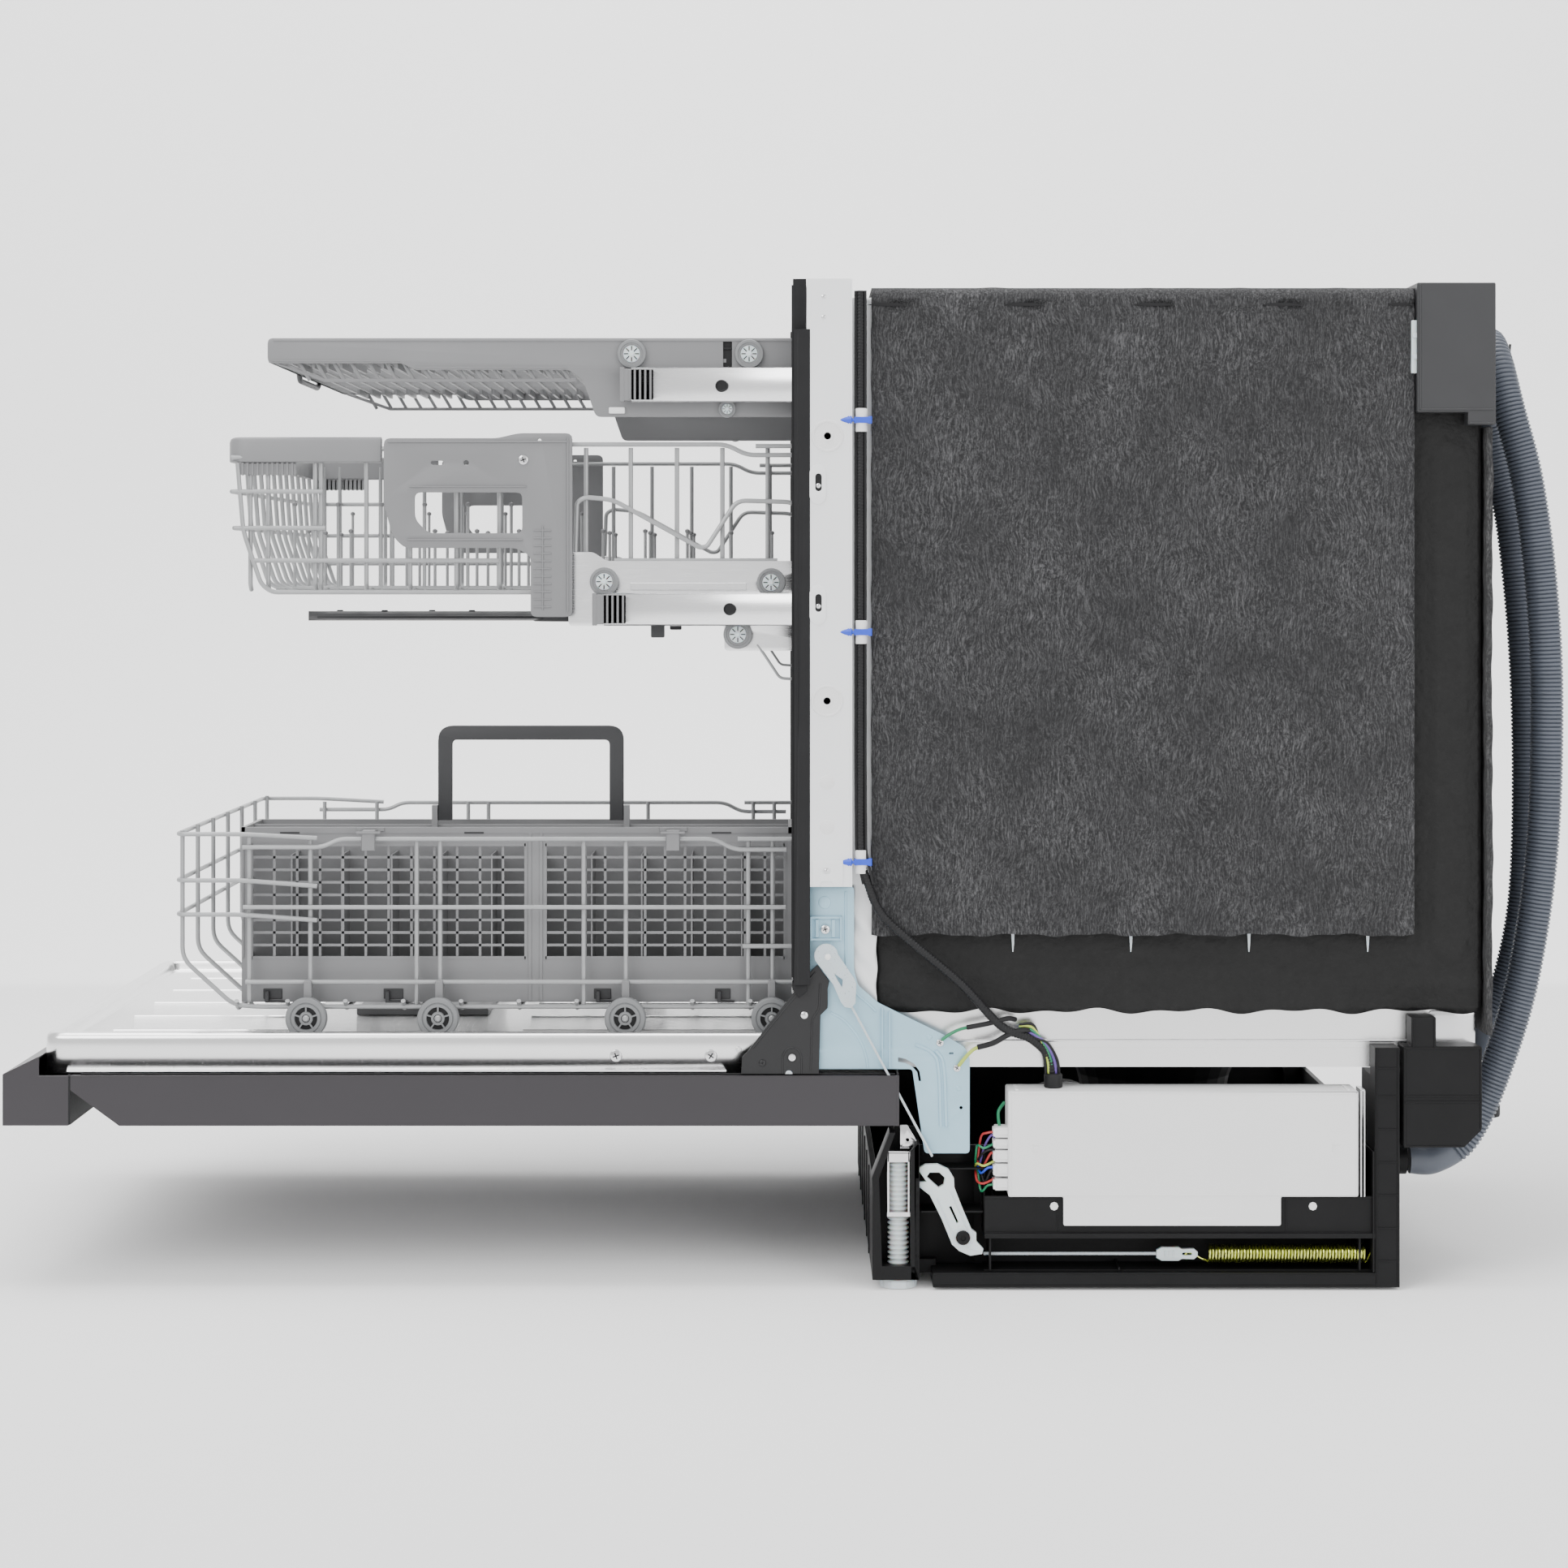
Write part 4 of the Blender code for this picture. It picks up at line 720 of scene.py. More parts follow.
def rear_mat():
    """The felt sheet at the back."""
    low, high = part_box("rear_felt")

    def place(u, v):
        x = low.x + (high.x - low.x) * v
        z = low.z + (high.z - low.z) * u
        edge = 0.0012 * math.sin(z * 120) if v in (0.0, 1.0) else 0.0
        return Vector((x + edge * (1 if v else -1) * 0.5, (low.y + high.y) / 2 + 0.001 * wave(x, z, 2.0), z))

    mat = thicken(sheet_mesh("rear_felt_mat", place, 110, 110), 0.0056, 0.0015, 0.0)
    seat(mat, "edge_felt", "chassis", ("rear_felt",))


def tub():
    """The pressed steel box: the CAD shell, with its ribs and the roll along its lower edge."""
    dress("tub", "steel", 0.0005)
    inner = 0.2703
    ribs = []
    for sign in (1, -1):
        ribs += in_plane(sign * inner, *[[(0.11, z), (0.56, z)] for z in (0.3, 0.38, 0.48, 0.69)])
    rods("tub_side_ribs", ribs, 0.0022, "steel", "chassis", bend=0)
    rods("tub_back_ribs", [[(-0.225, 0.6204, z), (0.225, 0.6204, z)] for z in (0.32, 0.44, 0.6, 0.74)],
         0.0022, "steel", "chassis", bend=0)
    for side, sign in SIDES:
        roll = [(sign * 0.2722, 0.109, 0.2086), (sign * 0.2722, 0.62, 0.2086)]
        rods(f"tub_edge_roll_{side}", [roll], 0.0012, "steel_y", "chassis", bend=0)
        plate(f"tub_corner_{side}", [[(0.5826, 0.234), (0.6215, 0.234), (0.6215, 0.188), (0.615, 0.183),
                                      (0.599, 0.183), (0.5826, 0.208)]],
              sign * 0.2726, sign * 0.2745, "chrome", "chassis", bevel=0.0006, corner=0.004)

        def film(u, v, sign=sign):
            z = 0.215 + (0.845 - 0.215) * u
            y = 0.088 + 0.0205 * v + 0.0006 * math.sin(z * 190)
            low_part = 1 - step_up(z, 0.26, 0.36)
            return Vector((sign * (0.2836 + 0.0012 * v + 0.0007 * math.sin(z * 140 + v * 3)
                                   + 0.0016 * low_part * math.sin(z * 260 + v * 6)), y, z))
        seat(thicken(sheet_mesh(f"tub_film_{side}", film, 220, 8), 0.0003, 0.0, 0.0), "frame", "chassis")


def rear_bracket():
    """Top rear bracket with its lips, wedges and ribs."""
    dress("top_rear_bracket", "dark", 0.0012)
    for side, sign in SIDES:
        side_boxes(f"bracket_lip_{side}", sign, [
            (0.2975, 0.2992, 0.57, 0.633, 0.748, 0.75),
            (0.2975, 0.2992, 0.5695, 0.5715, 0.748, 0.8555),
            (0.2975, 0.2992, 0.612, 0.6345, 0.7365, 0.7385)], "dark", "chassis")
        side_boxes(f"bracket_wedge_{side}", sign, [
            (0.29, 0.295, 0.564, 0.5695, 0.78, 0.825),
            (0.29, 0.2962, 0.5648, 0.569, 0.81, 0.814),
            (0.29, 0.2962, 0.5648, 0.569, 0.792, 0.796)], "nylon", "chassis")
    boxes("bracket_ribs", [(x - 0.0012, x + 0.0012, 0.6345, 0.6362, 0.765, 0.852)
                           for x in (-0.2, -0.12, -0.04, 0.04, 0.2)], "dark", "chassis")


# ---------------------------------------------------------------- front frame and seal
def front_frame():
    """The zinc-coated frame with its rivets, caps, tabs and clips."""
    clip_z = 0.3435
    dress("front_frame", "frame", 0.0005)
    dot = [(0, 0.0009), (0.0052, 0.0008), (0.0061, 0.0003), (0.0064, -0.0004)]
    rivet = [(0, 0.0008), (0.0012, 0.0007), (0.002, 0.0002), (0.0022, -0.0004)]
    disc = [(0, 0.0), (0.003, 0.0), (0.0034, 0.001), (0.0046, 0.001), (0.005, 0.0001),
            (0.0112, 0.0001), (0.012, 0.0011), (0.0132, 0.0011), (0.0138, 0.0003), (0.0139, -0.0004)]
    for side, sign in SIDES:
        x = sign * HALF
        studs(f"frame_rivets_{side}", sign, rivet, [(x, 0.0631, z) for z in (0.8446, 0.8273)],
              "chrome", "chassis", steps=16)
        turned(f"frame_caps_{side}", [(disc, (x, 0.0663, 0.7262), facing(sign)),
                                      (disc, (x, 0.0659, 0.501), facing(sign)),
                                      (dot, (x, 0.0659, 0.432), facing(sign)),
                                      (dot, (x, 0.0659, 0.394), facing(sign))], "light", "chassis")
        for number, (y, z) in enumerate(((0.058, 0.6852), (0.058, 0.5827))):
            tab = oval(y, z, 0.0066, 0.0166, 4)
            slot = oval(y + 0.0006, z + 0.0016, 0.0031, 0.008, 5)
            plate(f"frame_tab_{side}_{number}", [tab, slot], x - sign * 0.0002, x + sign * 0.0012, "frame",
                  "chassis", bevel=0.0004)
            # A black sheet set in the tab's slot: painted shade in the opening.
            plate(f"frame_slot_{side}_{number}", [slot], x - sign * 0.0001, x + sign * 0.0002, "rubber",
                  "chassis")
            studs(f"frame_slot_pin_{side}_{number}", sign, rivet,
                  [(x + sign * 0.0003, y + 0.0006, z - 0.0012)], "chrome", "chassis", steps=14)
        clip = [(0.0542, 0.365), (0.079, 0.365), (0.079, clip_z), (0.072, clip_z), (0.07, 0.348),
                (0.061, 0.348), (0.059, clip_z), (0.0542, clip_z)]
        plate(f"frame_clip_{side}", [clip, oval(0.0655, 0.3565, 0.004, 0.003)], x - sign * 0.0002,
              x + sign * 0.0013, "frame", "chassis", bevel=0.0004)
        studs(f"frame_clip_pin_{side}", sign, rivet, [(x + sign * 0.0002, 0.0655, 0.3565)],
               "chrome", "chassis", steps=14)
        rods(f"frame_crease_{side}", in_plane(x, *[[(y, 0.856), (y, 0.345)] for y in (0.0515, 0.085)]),
             0.0005, "frame", "chassis", bend=0)


def door_seal():
    """The black seal around the opening and its wraps on the posts."""
    dress("door_gasket", "rubber", 0.0022)
    for side, sign in SIDES:
        side_boxes(f"seal_wrap_{side}", sign, [
            (0.2866, 0.3024, 0.038, 0.0484, 0.2594, 0.817),
            (0.3016, 0.3024, 0.038, 0.0515, 0.2594, 0.817)], "rubber", "chassis", bevel=0.0004)
        rods(f"seal_lips_{side}", [[(sign * x, 0.0368, 0.264), (sign * x, 0.0368, 0.856)]
                                   for x in (0.27, 0.274, 0.278, 0.283)], 0.0011, "rubber", "chassis",
             bend=0)
        rods(f"seal_edge_{side}", [[(sign * 0.3022, 0.041, 0.261), (sign * 0.3022, 0.041, 0.815)]],
             0.0006, "cable", "chassis", bend=0)
        plate(f"seal_foot_{side}", [[(0.0369, 0.261), (0.0483, 0.261), (0.0483, 0.254), (0.042, 0.249),
                                     (0.0369, 0.256)]], sign * 0.286, sign * 0.3, "rubber", "chassis",
              bevel=0.0006)


# ---------------------------------------------------------------- hinges and balance
def hinge_plates():
    """Blue zinc plates with their pressings, screws and screw cages."""
    cage_x = 0.2908
    cage_y = 0.0515
    outline = [(0.051, 0.342), (0.0887, 0.342), (0.0887, 0.271), (0.092, 0.258), (0.1094, 0.243),
               (0.1666, 0.215), (0.1832, 0.205), (0.1873, 0.1966), (0.1873, 0.1152), (0.1494, 0.1152),
               (0.139, 0.187), (0.02, 0.187), (0.02, 0.208), (0.051, 0.25)]
    cut = [(0.1262, 0.1972), (0.133, 0.1958), (0.1405, 0.1915), (0.1452, 0.185), (0.1466, 0.176),
           (0.144, 0.176), (0.1425, 0.184), (0.138, 0.1888), (0.1325, 0.1915), (0.1262, 0.1925)]
    holes = [circle(*HINGE, 0.0046), cut, oval(0.172, 0.2001, 0.0024, 0.0012),
             circle(0.1803, 0.1537, 0.0018, 12)]
    arc = [(0.069, 0.235), (0.079, 0.23), (0.0895, 0.219), (0.0965, 0.207), (0.0999, 0.1952),
           (0.1006, 0.188)]
    channel = [(0.1415, 0.2077), (0.154, 0.2025), (0.1598, 0.196), (0.1618, 0.18), (0.163, 0.1377)]
    dimple = [(0, 0.0006), (0.0014, 0.0006), (0.0024, 0.0001), (0.0027, -0.0004)]
    rivet = [(0, 0.0012), (0.0036, 0.0011), (0.0051, 0.0005), (0.0055, -0.0004)]
    crease = [(0.082, 0.338), (0.082, 0.275), (0.085, 0.256), (0.104, 0.24), (0.1075, 0.236)]
    for side, sign in SIDES:
        x = sign * 0.291
        plate(f"hinge_sheet_{side}", [outline, *holes], sign * 0.2885, x, "zinc", "chassis",
              (f"hinge_plate_{side}",), bevel=0.0004, corner=0.003)
        rods(f"hinge_pressings_{side}", in_plane(x - sign * 0.0002, arc, crease), 0.0012, "zinc",
             "chassis", bend=0.01)
        rods(f"hinge_channel_{side}", in_plane(x, channel, [(y + 0.0046, z) for y, z in channel[1:]]),
             0.0016, "zinc", "chassis", bend=0.01)
        boxes(f"hinge_flanges_{side}", [side_box(sign, 0.2905, 0.294, y - 0.0006, y + 0.0006, 0.1875, top)
                                        for y, top in ((0.1131, 0.2395), (0.1193, 0.2365))], "zinc",
              "chassis", bevel=0.0003)
        turned(f"hinge_dimples_{side}", [(dimple, (x, 0.1533, 0.2139), facing(sign)),
                                         (dimple, (x, 0.1782, 0.1703), facing(sign)),
                                         (rivet, (x, 0.0639, 0.3289), facing(sign))], "zinc", "chassis")
        screws(f"hinge_screws_{side}", [(0.2912, 0.1623, 0.2091), (0.2912, 0.1768, 0.1876)], 0.0034, sign,
               "chrome", "chassis")
        side_boxes(f"screw_cage_{side}", sign, [
            (cage_x, 0.295, cage_y, 0.053, 0.2963, 0.3171),
            (cage_x, 0.295, 0.077, 0.0785, 0.2963, 0.3171),
            (cage_x, 0.2935, cage_y, 0.0785, 0.315, 0.3171),
            (cage_x, 0.2935, cage_y, 0.0785, 0.2963, 0.2984),
            (cage_x, 0.2926, 0.056, 0.059, 0.299, 0.3145),
            (cage_x, 0.2926, 0.07, 0.073, 0.299, 0.3145)], "zinc", "chassis", bevel=0.0004)
        screws(f"cage_screw_{side}", [(0.2926, 0.0645, 0.306)], 0.0042, sign, "chrome", "chassis", 0.002)


def hinge_arms():
    """The arms that carry the door, with pins and pressings."""
    rivet = [(0, 0.001), (0.002, 0.0009), (0.003, 0.0003), (0.0032, -0.0004)]
    pivot = [(0, 0.0006), (0.002, 0.0006), (0.0022, 0.0012), (0.003, 0.0011), (0.0033, -0.0004)]
    half_disc = [(0.0335 + 0.003 * math.cos(math.radians(a)), 0.1832 + 0.003 * math.sin(math.radians(a)))
                 for a in range(0, 181, 20)]
    ear = [(0.028, 0.1835), (0.028, 0.199), (0.0318, 0.2052), (0.0406, 0.2052), (0.0442, 0.199),
           (0.0442, 0.1835)]
    for side, sign in SIDES:
        dress(f"hinge_arm_{side}", "arm", 0.0006)
        x = sign * 0.2955
        turned(f"arm_rivets_{side}", [(rivet, (x, 0.0466, 0.2332), facing(sign)),
                                      (pivot, (x, *HINGE), facing(sign))], "chrome", "door", steps=20)
        rods(f"arm_pressing_{side}", in_plane(
            x - sign * 0.0003, ear, [(0.056, 0.27), (0.0025, 0.205)],
            [(0.06, 0.26), (0.059, 0.238), (0.053, 0.23), (0.052, 0.186)]), 0.0009, "arm", "door", bend=0.004)
        plate(f"arm_mark_{side}", [half_disc], x, x + sign * 0.0005, "nylon", "door")
        screws(f"arm_screws_{side}", [(0.2956, 0.011, 0.1925)], 0.003, sign, "arm", "door")


def twisted_cord(name, start, end, x, radius, body, replaces=(), turns_per_mm=0.22):
    """Three strands wound round each other between two (Y, Z) points."""
    a = Vector((x, *start))
    b = Vector((x, *end))
    along = (b - a).normalized()
    side = Vector((1, 0, 0))
    up = along.cross(side)
    length = (b - a).length
    count = int(length / 0.0006)
    paths = []
    for strand in range(3):
        path = []
        for i in range(count + 1):
            turn = 2 * math.pi * (strand / 3 + turns_per_mm * 1000 * length * i / count)
            off = side * math.cos(turn) + up * math.sin(turn)
            path.append(a.lerp(b, i / count) + off * radius * 0.48)
        paths.append(path)
    return rods(name, paths, radius * 0.56, "nylon", body, replaces, bend=0, sides=1)


def balance_links():
    """Pear-shaped links and the straps that they pull."""
    top = Vector((0.0652, 0.2843))
    arc = [tuple(top + Vector((math.cos(a), math.sin(a))) * 0.0097)
           for a in (math.radians(205 - 20 * i) for i in range(11))]
    pear = [*arc, (0.089, 0.264), (0.0904, 0.26), (0.0896, 0.244), (0.0862, 0.2402), (0.0812, 0.241),
            (0.078, 0.245), (0.0715, 0.26)]
    hole = [(0.0708, 0.2705), (0.0798, 0.264), (0.079, 0.256), (0.0745, 0.263)]
    for side, sign in SIDES:
        body = f"balance_link_{side}"
        plate(f"pear_link_{side}", [pear, hole], sign * 0.2969, sign * 0.2995, "link", body, (body,),
              bevel=0.0005)
        twisted_cord(f"pull_strap_{side}", (0.085, 0.244), (0.1555, 0.1132), sign * 0.2958, 0.0011, body)
        pin = [(0, 0.0009), (0.0018, 0.0008), (0.0026, 0.0002), (0.0027, -0.003)]
        studs(f"link_pin_{side}", sign, pin, [(sign * 0.2993, 0.0665, 0.2832)], "light", body,
              steps=18)
        turned(f"strap_knot_{side}", [([(0, 0.0022), (0.0016, 0.0018), (0.0024, 0.0006), (0.0024, -0.0006),
                                        (0.0016, -0.0018), (0, -0.0022)], (sign * 0.2958, 0.0852, 0.2432),
                                       "Z")], "nylon", body, steps=14)


def cord_guides():
    """Swinging levers that lead the cords under the base."""
    face_x = 0.2938
    outline = [(0.144, 0.1015), (0.15, 0.105), (0.16, 0.1052), (0.169, 0.101), (0.1735, 0.0935),
               (0.1738, 0.086), (0.18, 0.07), (0.1885, 0.05), (0.1925, 0.047), (0.1925, 0.04),
               (0.1985, 0.0335), (0.1975, 0.03), (0.188, 0.0286), (0.179, 0.0325), (0.173, 0.038),
               (0.164, 0.06), (0.154, 0.08), (0.145, 0.087), (0.1455, 0.09), (0.152, 0.0905)]
    eye = [(0.156, 0.0895), (0.15, 0.095), (0.153, 0.0995), (0.162, 0.0995), (0.1672, 0.0945),
           (0.166, 0.088), (0.161, 0.085)]
    slot = [(0.169, 0.07), (0.1722, 0.0712), (0.179, 0.056), (0.1762, 0.0545)]
    ring = [(0.0064, 0.0004), (0.009, 0.0004), (0.0094, -0.0001), (0.0094, -0.004)]
    cap = [(0, 0.0018), (0.0022, 0.0018), (0.0024, 0.003), (0.0052, 0.0028), (0.0058, 0.002),
           (0.0058, -0.003)]
    for side, sign in SIDES:
        body = f"cord_guide_{side}"
        plate(f"guide_lever_{side}", [outline, circle(*GUIDE_PIVOT, 0.0064), eye, slot], sign * 0.2862,
              sign * face_x, "nylon", body, (body,), bevel=0.0007)
        studs(f"guide_ring_{side}", sign, ring, [(sign * face_x, *GUIDE_PIVOT)], "nylon", body)
        rods(f"guide_ribs_{side}", in_plane(
            sign * face_x, [(0.1715, 0.083), (0.186, 0.05)], [(0.16, 0.077), (0.175, 0.042)],
            [(0.184, 0.035), (0.194, 0.0325)]), 0.0007, "nylon", body, bend=0)
        studs(f"guide_boss_cap_{side}", sign, cap, [(sign * 0.2945, *GUIDE_PIVOT)], "base", "chassis")


def balance_cords_and_springs():
    """Pull cords, their connectors and the coils behind them."""
    z = 0.0283
    z0 = z - 0.0052
    z1 = z + 0.0052
    outline = [(0.348, z - 0.003), (0.352, z0), (0.366, z0), (0.369, z - 0.0036), (0.379, z - 0.004),
               (0.382, z - 0.0015), (0.382, z + 0.0015), (0.379, z + 0.004), (0.369, z + 0.0036),
               (0.366, z1), (0.352, z1), (0.348, z + 0.003)]
    for side, sign in SIDES:
        body = f"balance_cord_{side}"
        x = sign * 0.285
        twisted_cord(f"pull_cord_{side}", (0.2, z), (0.35, z), x, 0.0014, body, (body,))
        plate(f"cord_connector_{side}", [outline, oval(0.3735, z, 0.0048, 0.0018)], x - 0.003, x + 0.003,
              "nylon", body, bevel=0.0006)
        boxes(f"connector_ribs_{side}", [(x - 0.0037, x + 0.0037, y - 0.0006, y + 0.0006,
                                          z - 0.003, z + 0.003)
                                         for y in (0.3545, 0.358, 0.3615)], "nylon", body, bevel=0.0002)
        hook = ((0.3722, -0.001), (0.3738, 0.0012), (0.3775, 0.0008), (0.385, -0.004), (0.39, -0.006))
        path = [Vector((x, y, z + up)) for y, up in hook]
        y0, y1, turns = 0.3918, 0.5263, 50
        radius = 0.0073
        count = turns * 18
        for i in range(count + 1):
            a = 2 * math.pi * i / 18 - math.pi / 2
            path.append(Vector((x + radius * math.cos(a) * 0.999, y0 + (y1 - y0) * i / count,
                                z + radius * math.sin(a))))
        path += [Vector((x, y, z + up)) for y, up in ((0.5275, -0.006), (0.529, -0.003), (0.5308, 0.001))]
        coil = rods(f"coil_spring_{side}", [path], 0.00098, "spring", "chassis", (f"balance_spring_{side}",),
                    bend=0, sides=2)
        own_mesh(coil)


# ---------------------------------------------------------------- base and what it holds
def base():
    """The base's ribs, posts, ledges, lever wells and spigot collar."""
    well_x = 0.2545
    skin_x = 0.2985
    rim_x = 0.291
    dress("base_frame", "base", 0.0009)
    for side, sign in SIDES:
        ribs = []
        for y, z0, z1 in ((0.205, 0.015, 0.0437), (0.315, 0.015, 0.018), (0.52, 0.015, 0.0437)):
            ribs.append(side_box(sign, well_x, 0.293, y - 0.0009, y + 0.0009, z0, z1))
        ribs += [side_box(sign, well_x, 0.294, y - 0.0008, y + 0.0008, 0.048, 0.078)
                 for y in (0.208, 0.23, 0.468, 0.518)]
        ribs += [side_box(sign, well_x, 0.29, 0.2, 0.54, 0.014, 0.0156),
                 side_box(sign, well_x, 0.29, 0.146, 0.199, 0.064, 0.0656),
                 side_box(sign, well_x, 0.285, 0.146, 0.201, 0.1, 0.1014),
                 side_box(sign, well_x, 0.28, 0.2, 0.2014, 0.048, 0.114),
                 side_box(sign, well_x, 0.2995, 0.53, 0.5316, 0.015, 0.118)]
        boxes(f"base_ribs_{side}", ribs, "base", "chassis", bevel=0.0003)
        skin = [side_box(sign, skin_x, 0.2998, 0.534, 0.5512, z, z + 0.0012)
                for z in (0.024, 0.052, 0.08, 0.108, 0.136, 0.164, 0.188)]
        skin += [side_box(sign, skin_x, 0.2998, y, y + 0.0012, 0.004, 0.205) for y in (0.533, 0.551)]
        skin += [side_box(sign, skin_x, 0.2998, 0.156, 0.532, z, z + 0.001) for z in (0.0028, 0.0132)]
        boxes(f"base_outer_ribs_{side}", skin, "base", "chassis", bevel=0.0003)
        cheek = [(0.108, 0.0088), (0.1046, 0.095), (0.1195, 0.133), (0.1232, 0.133), (0.1095, 0.095),
                 (0.1125, 0.0088)]
        plate(f"corner_edge_{side}", [cheek], sign * 0.2664, sign * 0.2992, "base", "chassis", bevel=0.0006)
        rear = [(0.1375, 0.0088), (0.1375, 0.117), (0.143, 0.124), (0.144, 0.124), (0.144, 0.0088)]
        plate(f"corner_post_{side}", [rear], sign * 0.29, sign * 0.299, "base", "chassis", bevel=0.0006)
        cover = [(0.1445, 0.01), (0.1445, 0.1148), (0.154, 0.115), (0.1905, 0.115), (0.1925, 0.113),
                 (0.1925, 0.016), (0.156, 0.016)]
        plate(f"lever_well_{side}", [cover], sign * 0.255, sign * 0.2566, "base", "chassis", bevel=0.0004)
        tabs = [oval(y, 0.0706, 0.0033, 0.0033, 3) for y in (0.2593, 0.4796)]
        for number, ring in enumerate(tabs):
            plate(f"base_tab_{side}_{number}", [ring], sign * 0.2953, sign * 0.2962, "light", "chassis",
                  bevel=0.0003)
        side_boxes(f"base_ledge_{side}", sign, [
            (rim_x, 0.2962, 0.204, 0.244, 0.044, 0.0455),
            (rim_x, 0.2962, 0.2, 0.54, 0.077, 0.079),
            (rim_x, 0.296, 0.456, 0.4575, 0.05, 0.078),
            (rim_x, 0.296, 0.2615, 0.263, 0.05, 0.078)], "base", "chassis", bevel=0.0004)
    boxes("toe_ribs", [(x - 0.0012, x + 0.0012, 0.1032, 0.105, 0.012, 0.09)
                       for x in (-0.2, -0.12, -0.04, 0.04, 0.12, 0.2)], "base", "chassis")
    boxes("tray_ribs", [(-0.245, 0.245, y - 0.001, y + 0.001, 0.01, 0.018) for y in (0.2, 0.4, 0.48)]
          + [(x - 0.001, x + 0.001, 0.12, 0.545, 0.01, 0.018) for x in (-0.15, 0.05, 0.2)], "base",
          "chassis", bevel=0.0004)
    washer = [(0.0125, -0.02), (0.0138, -0.0195), (0.0138, 0.005), (0.0125, 0.0055), (0.0125, -0.02)]
    turned("spigot_collar", [(washer, (0.213, 0.568, 0.098), "Y")], "base", "chassis")


def threaded(radius, z0, z1, pitch, depth):
    """Half profile of a screw seen as close rings."""
    profile = [(0, z0), (radius - depth, z0)]
    z = z0 + pitch * 0.5
    while z < z1 - pitch:
        profile += [(radius - depth, z), (radius, z + pitch * 0.3), (radius, z + pitch * 0.55),
                    (radius - depth, z + pitch * 0.85)]
        z += pitch
    return profile + [(radius - depth, z1), (0, z1)]


def feet():
    """Four levelling feet with threads, and the front brackets."""
    bend_x = 0.2915
    out_x = 0.293
    pad = [(0, 0.0), (0.015, 0.0), (0.0155, 0.0006), (0.0155, 0.006), (0.0148, 0.0074), (0.01, 0.0078),
           (0.0092, 0.009)]
    for side, sign in SIDES:
        for place, x, y, radius, top in (("front", 0.281, 0.127, 0.0092, 0.112),
                                         ("rear", 0.225, 0.5, 0.0052, 0.06)):
            body = f"{place}_foot_{side}"
            bm = bmesh.new()
            lathe(bm, [*pad, (radius - 0.0015, 0.0092)], (sign * x, y, 0), "Z", 32)
            lathe(bm, threaded(radius, 0.0085, top, 0.0042, 0.002), (sign * x, y, 0), "Z", 24)
            for i in range(12):
                turn = Matrix.Translation((sign * x, y, 0.0035)) @ Matrix.Rotation(math.pi * i / 6, 4, "Z")
                bmesh.ops.create_cube(bm, size=1.0, matrix=turn @ Matrix.Translation((0.0152, 0, 0))
                                      @ Matrix.Diagonal((0.0012, 0.0032, 0.0052, 1)))
            seat(from_bmesh(f"{place}_levelling_screw_{side}", bm), "nylon", body, (body,), 0.0002)
        side_boxes(f"screw_bracket_{side}", sign, [
            (bend_x, out_x, 0.1175, 0.1365, 0.1075, 0.1165),
            (bend_x, out_x, 0.1175, 0.1192, 0.064, 0.1165),
            (bend_x, out_x, 0.1348, 0.1365, 0.064, 0.1165),
            (bend_x, 0.2932, 0.117, 0.137, 0.061, 0.065),
            (0.27, out_x, 0.117, 0.137, 0.1145, 0.116)], "chrome", "chassis",
            bevel=0.0004)
        bracket = [(0.129, 0.1375), (0.1345, 0.1375), (0.1425, 0.124), (0.1425, 0.118), (0.129, 0.118)]
        plate(f"front_bracket_{side}", [bracket, circle(0.135, 0.125, 0.0018, 10)], sign * 0.2815,
              sign * 0.283, "chrome", "chassis", bevel=0.0004)


def inlet_tank():
    """The tank's ribs and its link hose."""
    tank_y = 0.5566
    dress("inlet_tank", "base", 0.0012)
    ribs = ((tank_y, 0.6226, 0.159, 0.1606), (tank_y, 0.6226, 0.164, 0.1654), (tank_y, 0.5582, 0.122, 0.206),
            (0.6212, 0.6228, 0.137, 0.206), (tank_y, 0.6226, 0.2048, 0.2062), (tank_y, 0.607, 0.1212, 0.1226),
            (0.564, 0.5655, 0.206, 0.231), (0.582, 0.5835, 0.206, 0.231))
    boxes("tank_ribs", [(0.2984, 0.2998, *rib) for rib in ribs], "base", "chassis", bevel=0.0004)
    hose = [(0.256, 0.585, 0.18), (0.256, 0.585, 0.199), (0.252, 0.6, 0.21),
            (0.242, 0.605, 0.196), (0.238, 0.605, 0.17)]
    rods("tank_link_hose", [hose], 0.006, "rubber", "chassis", bend=0.012)


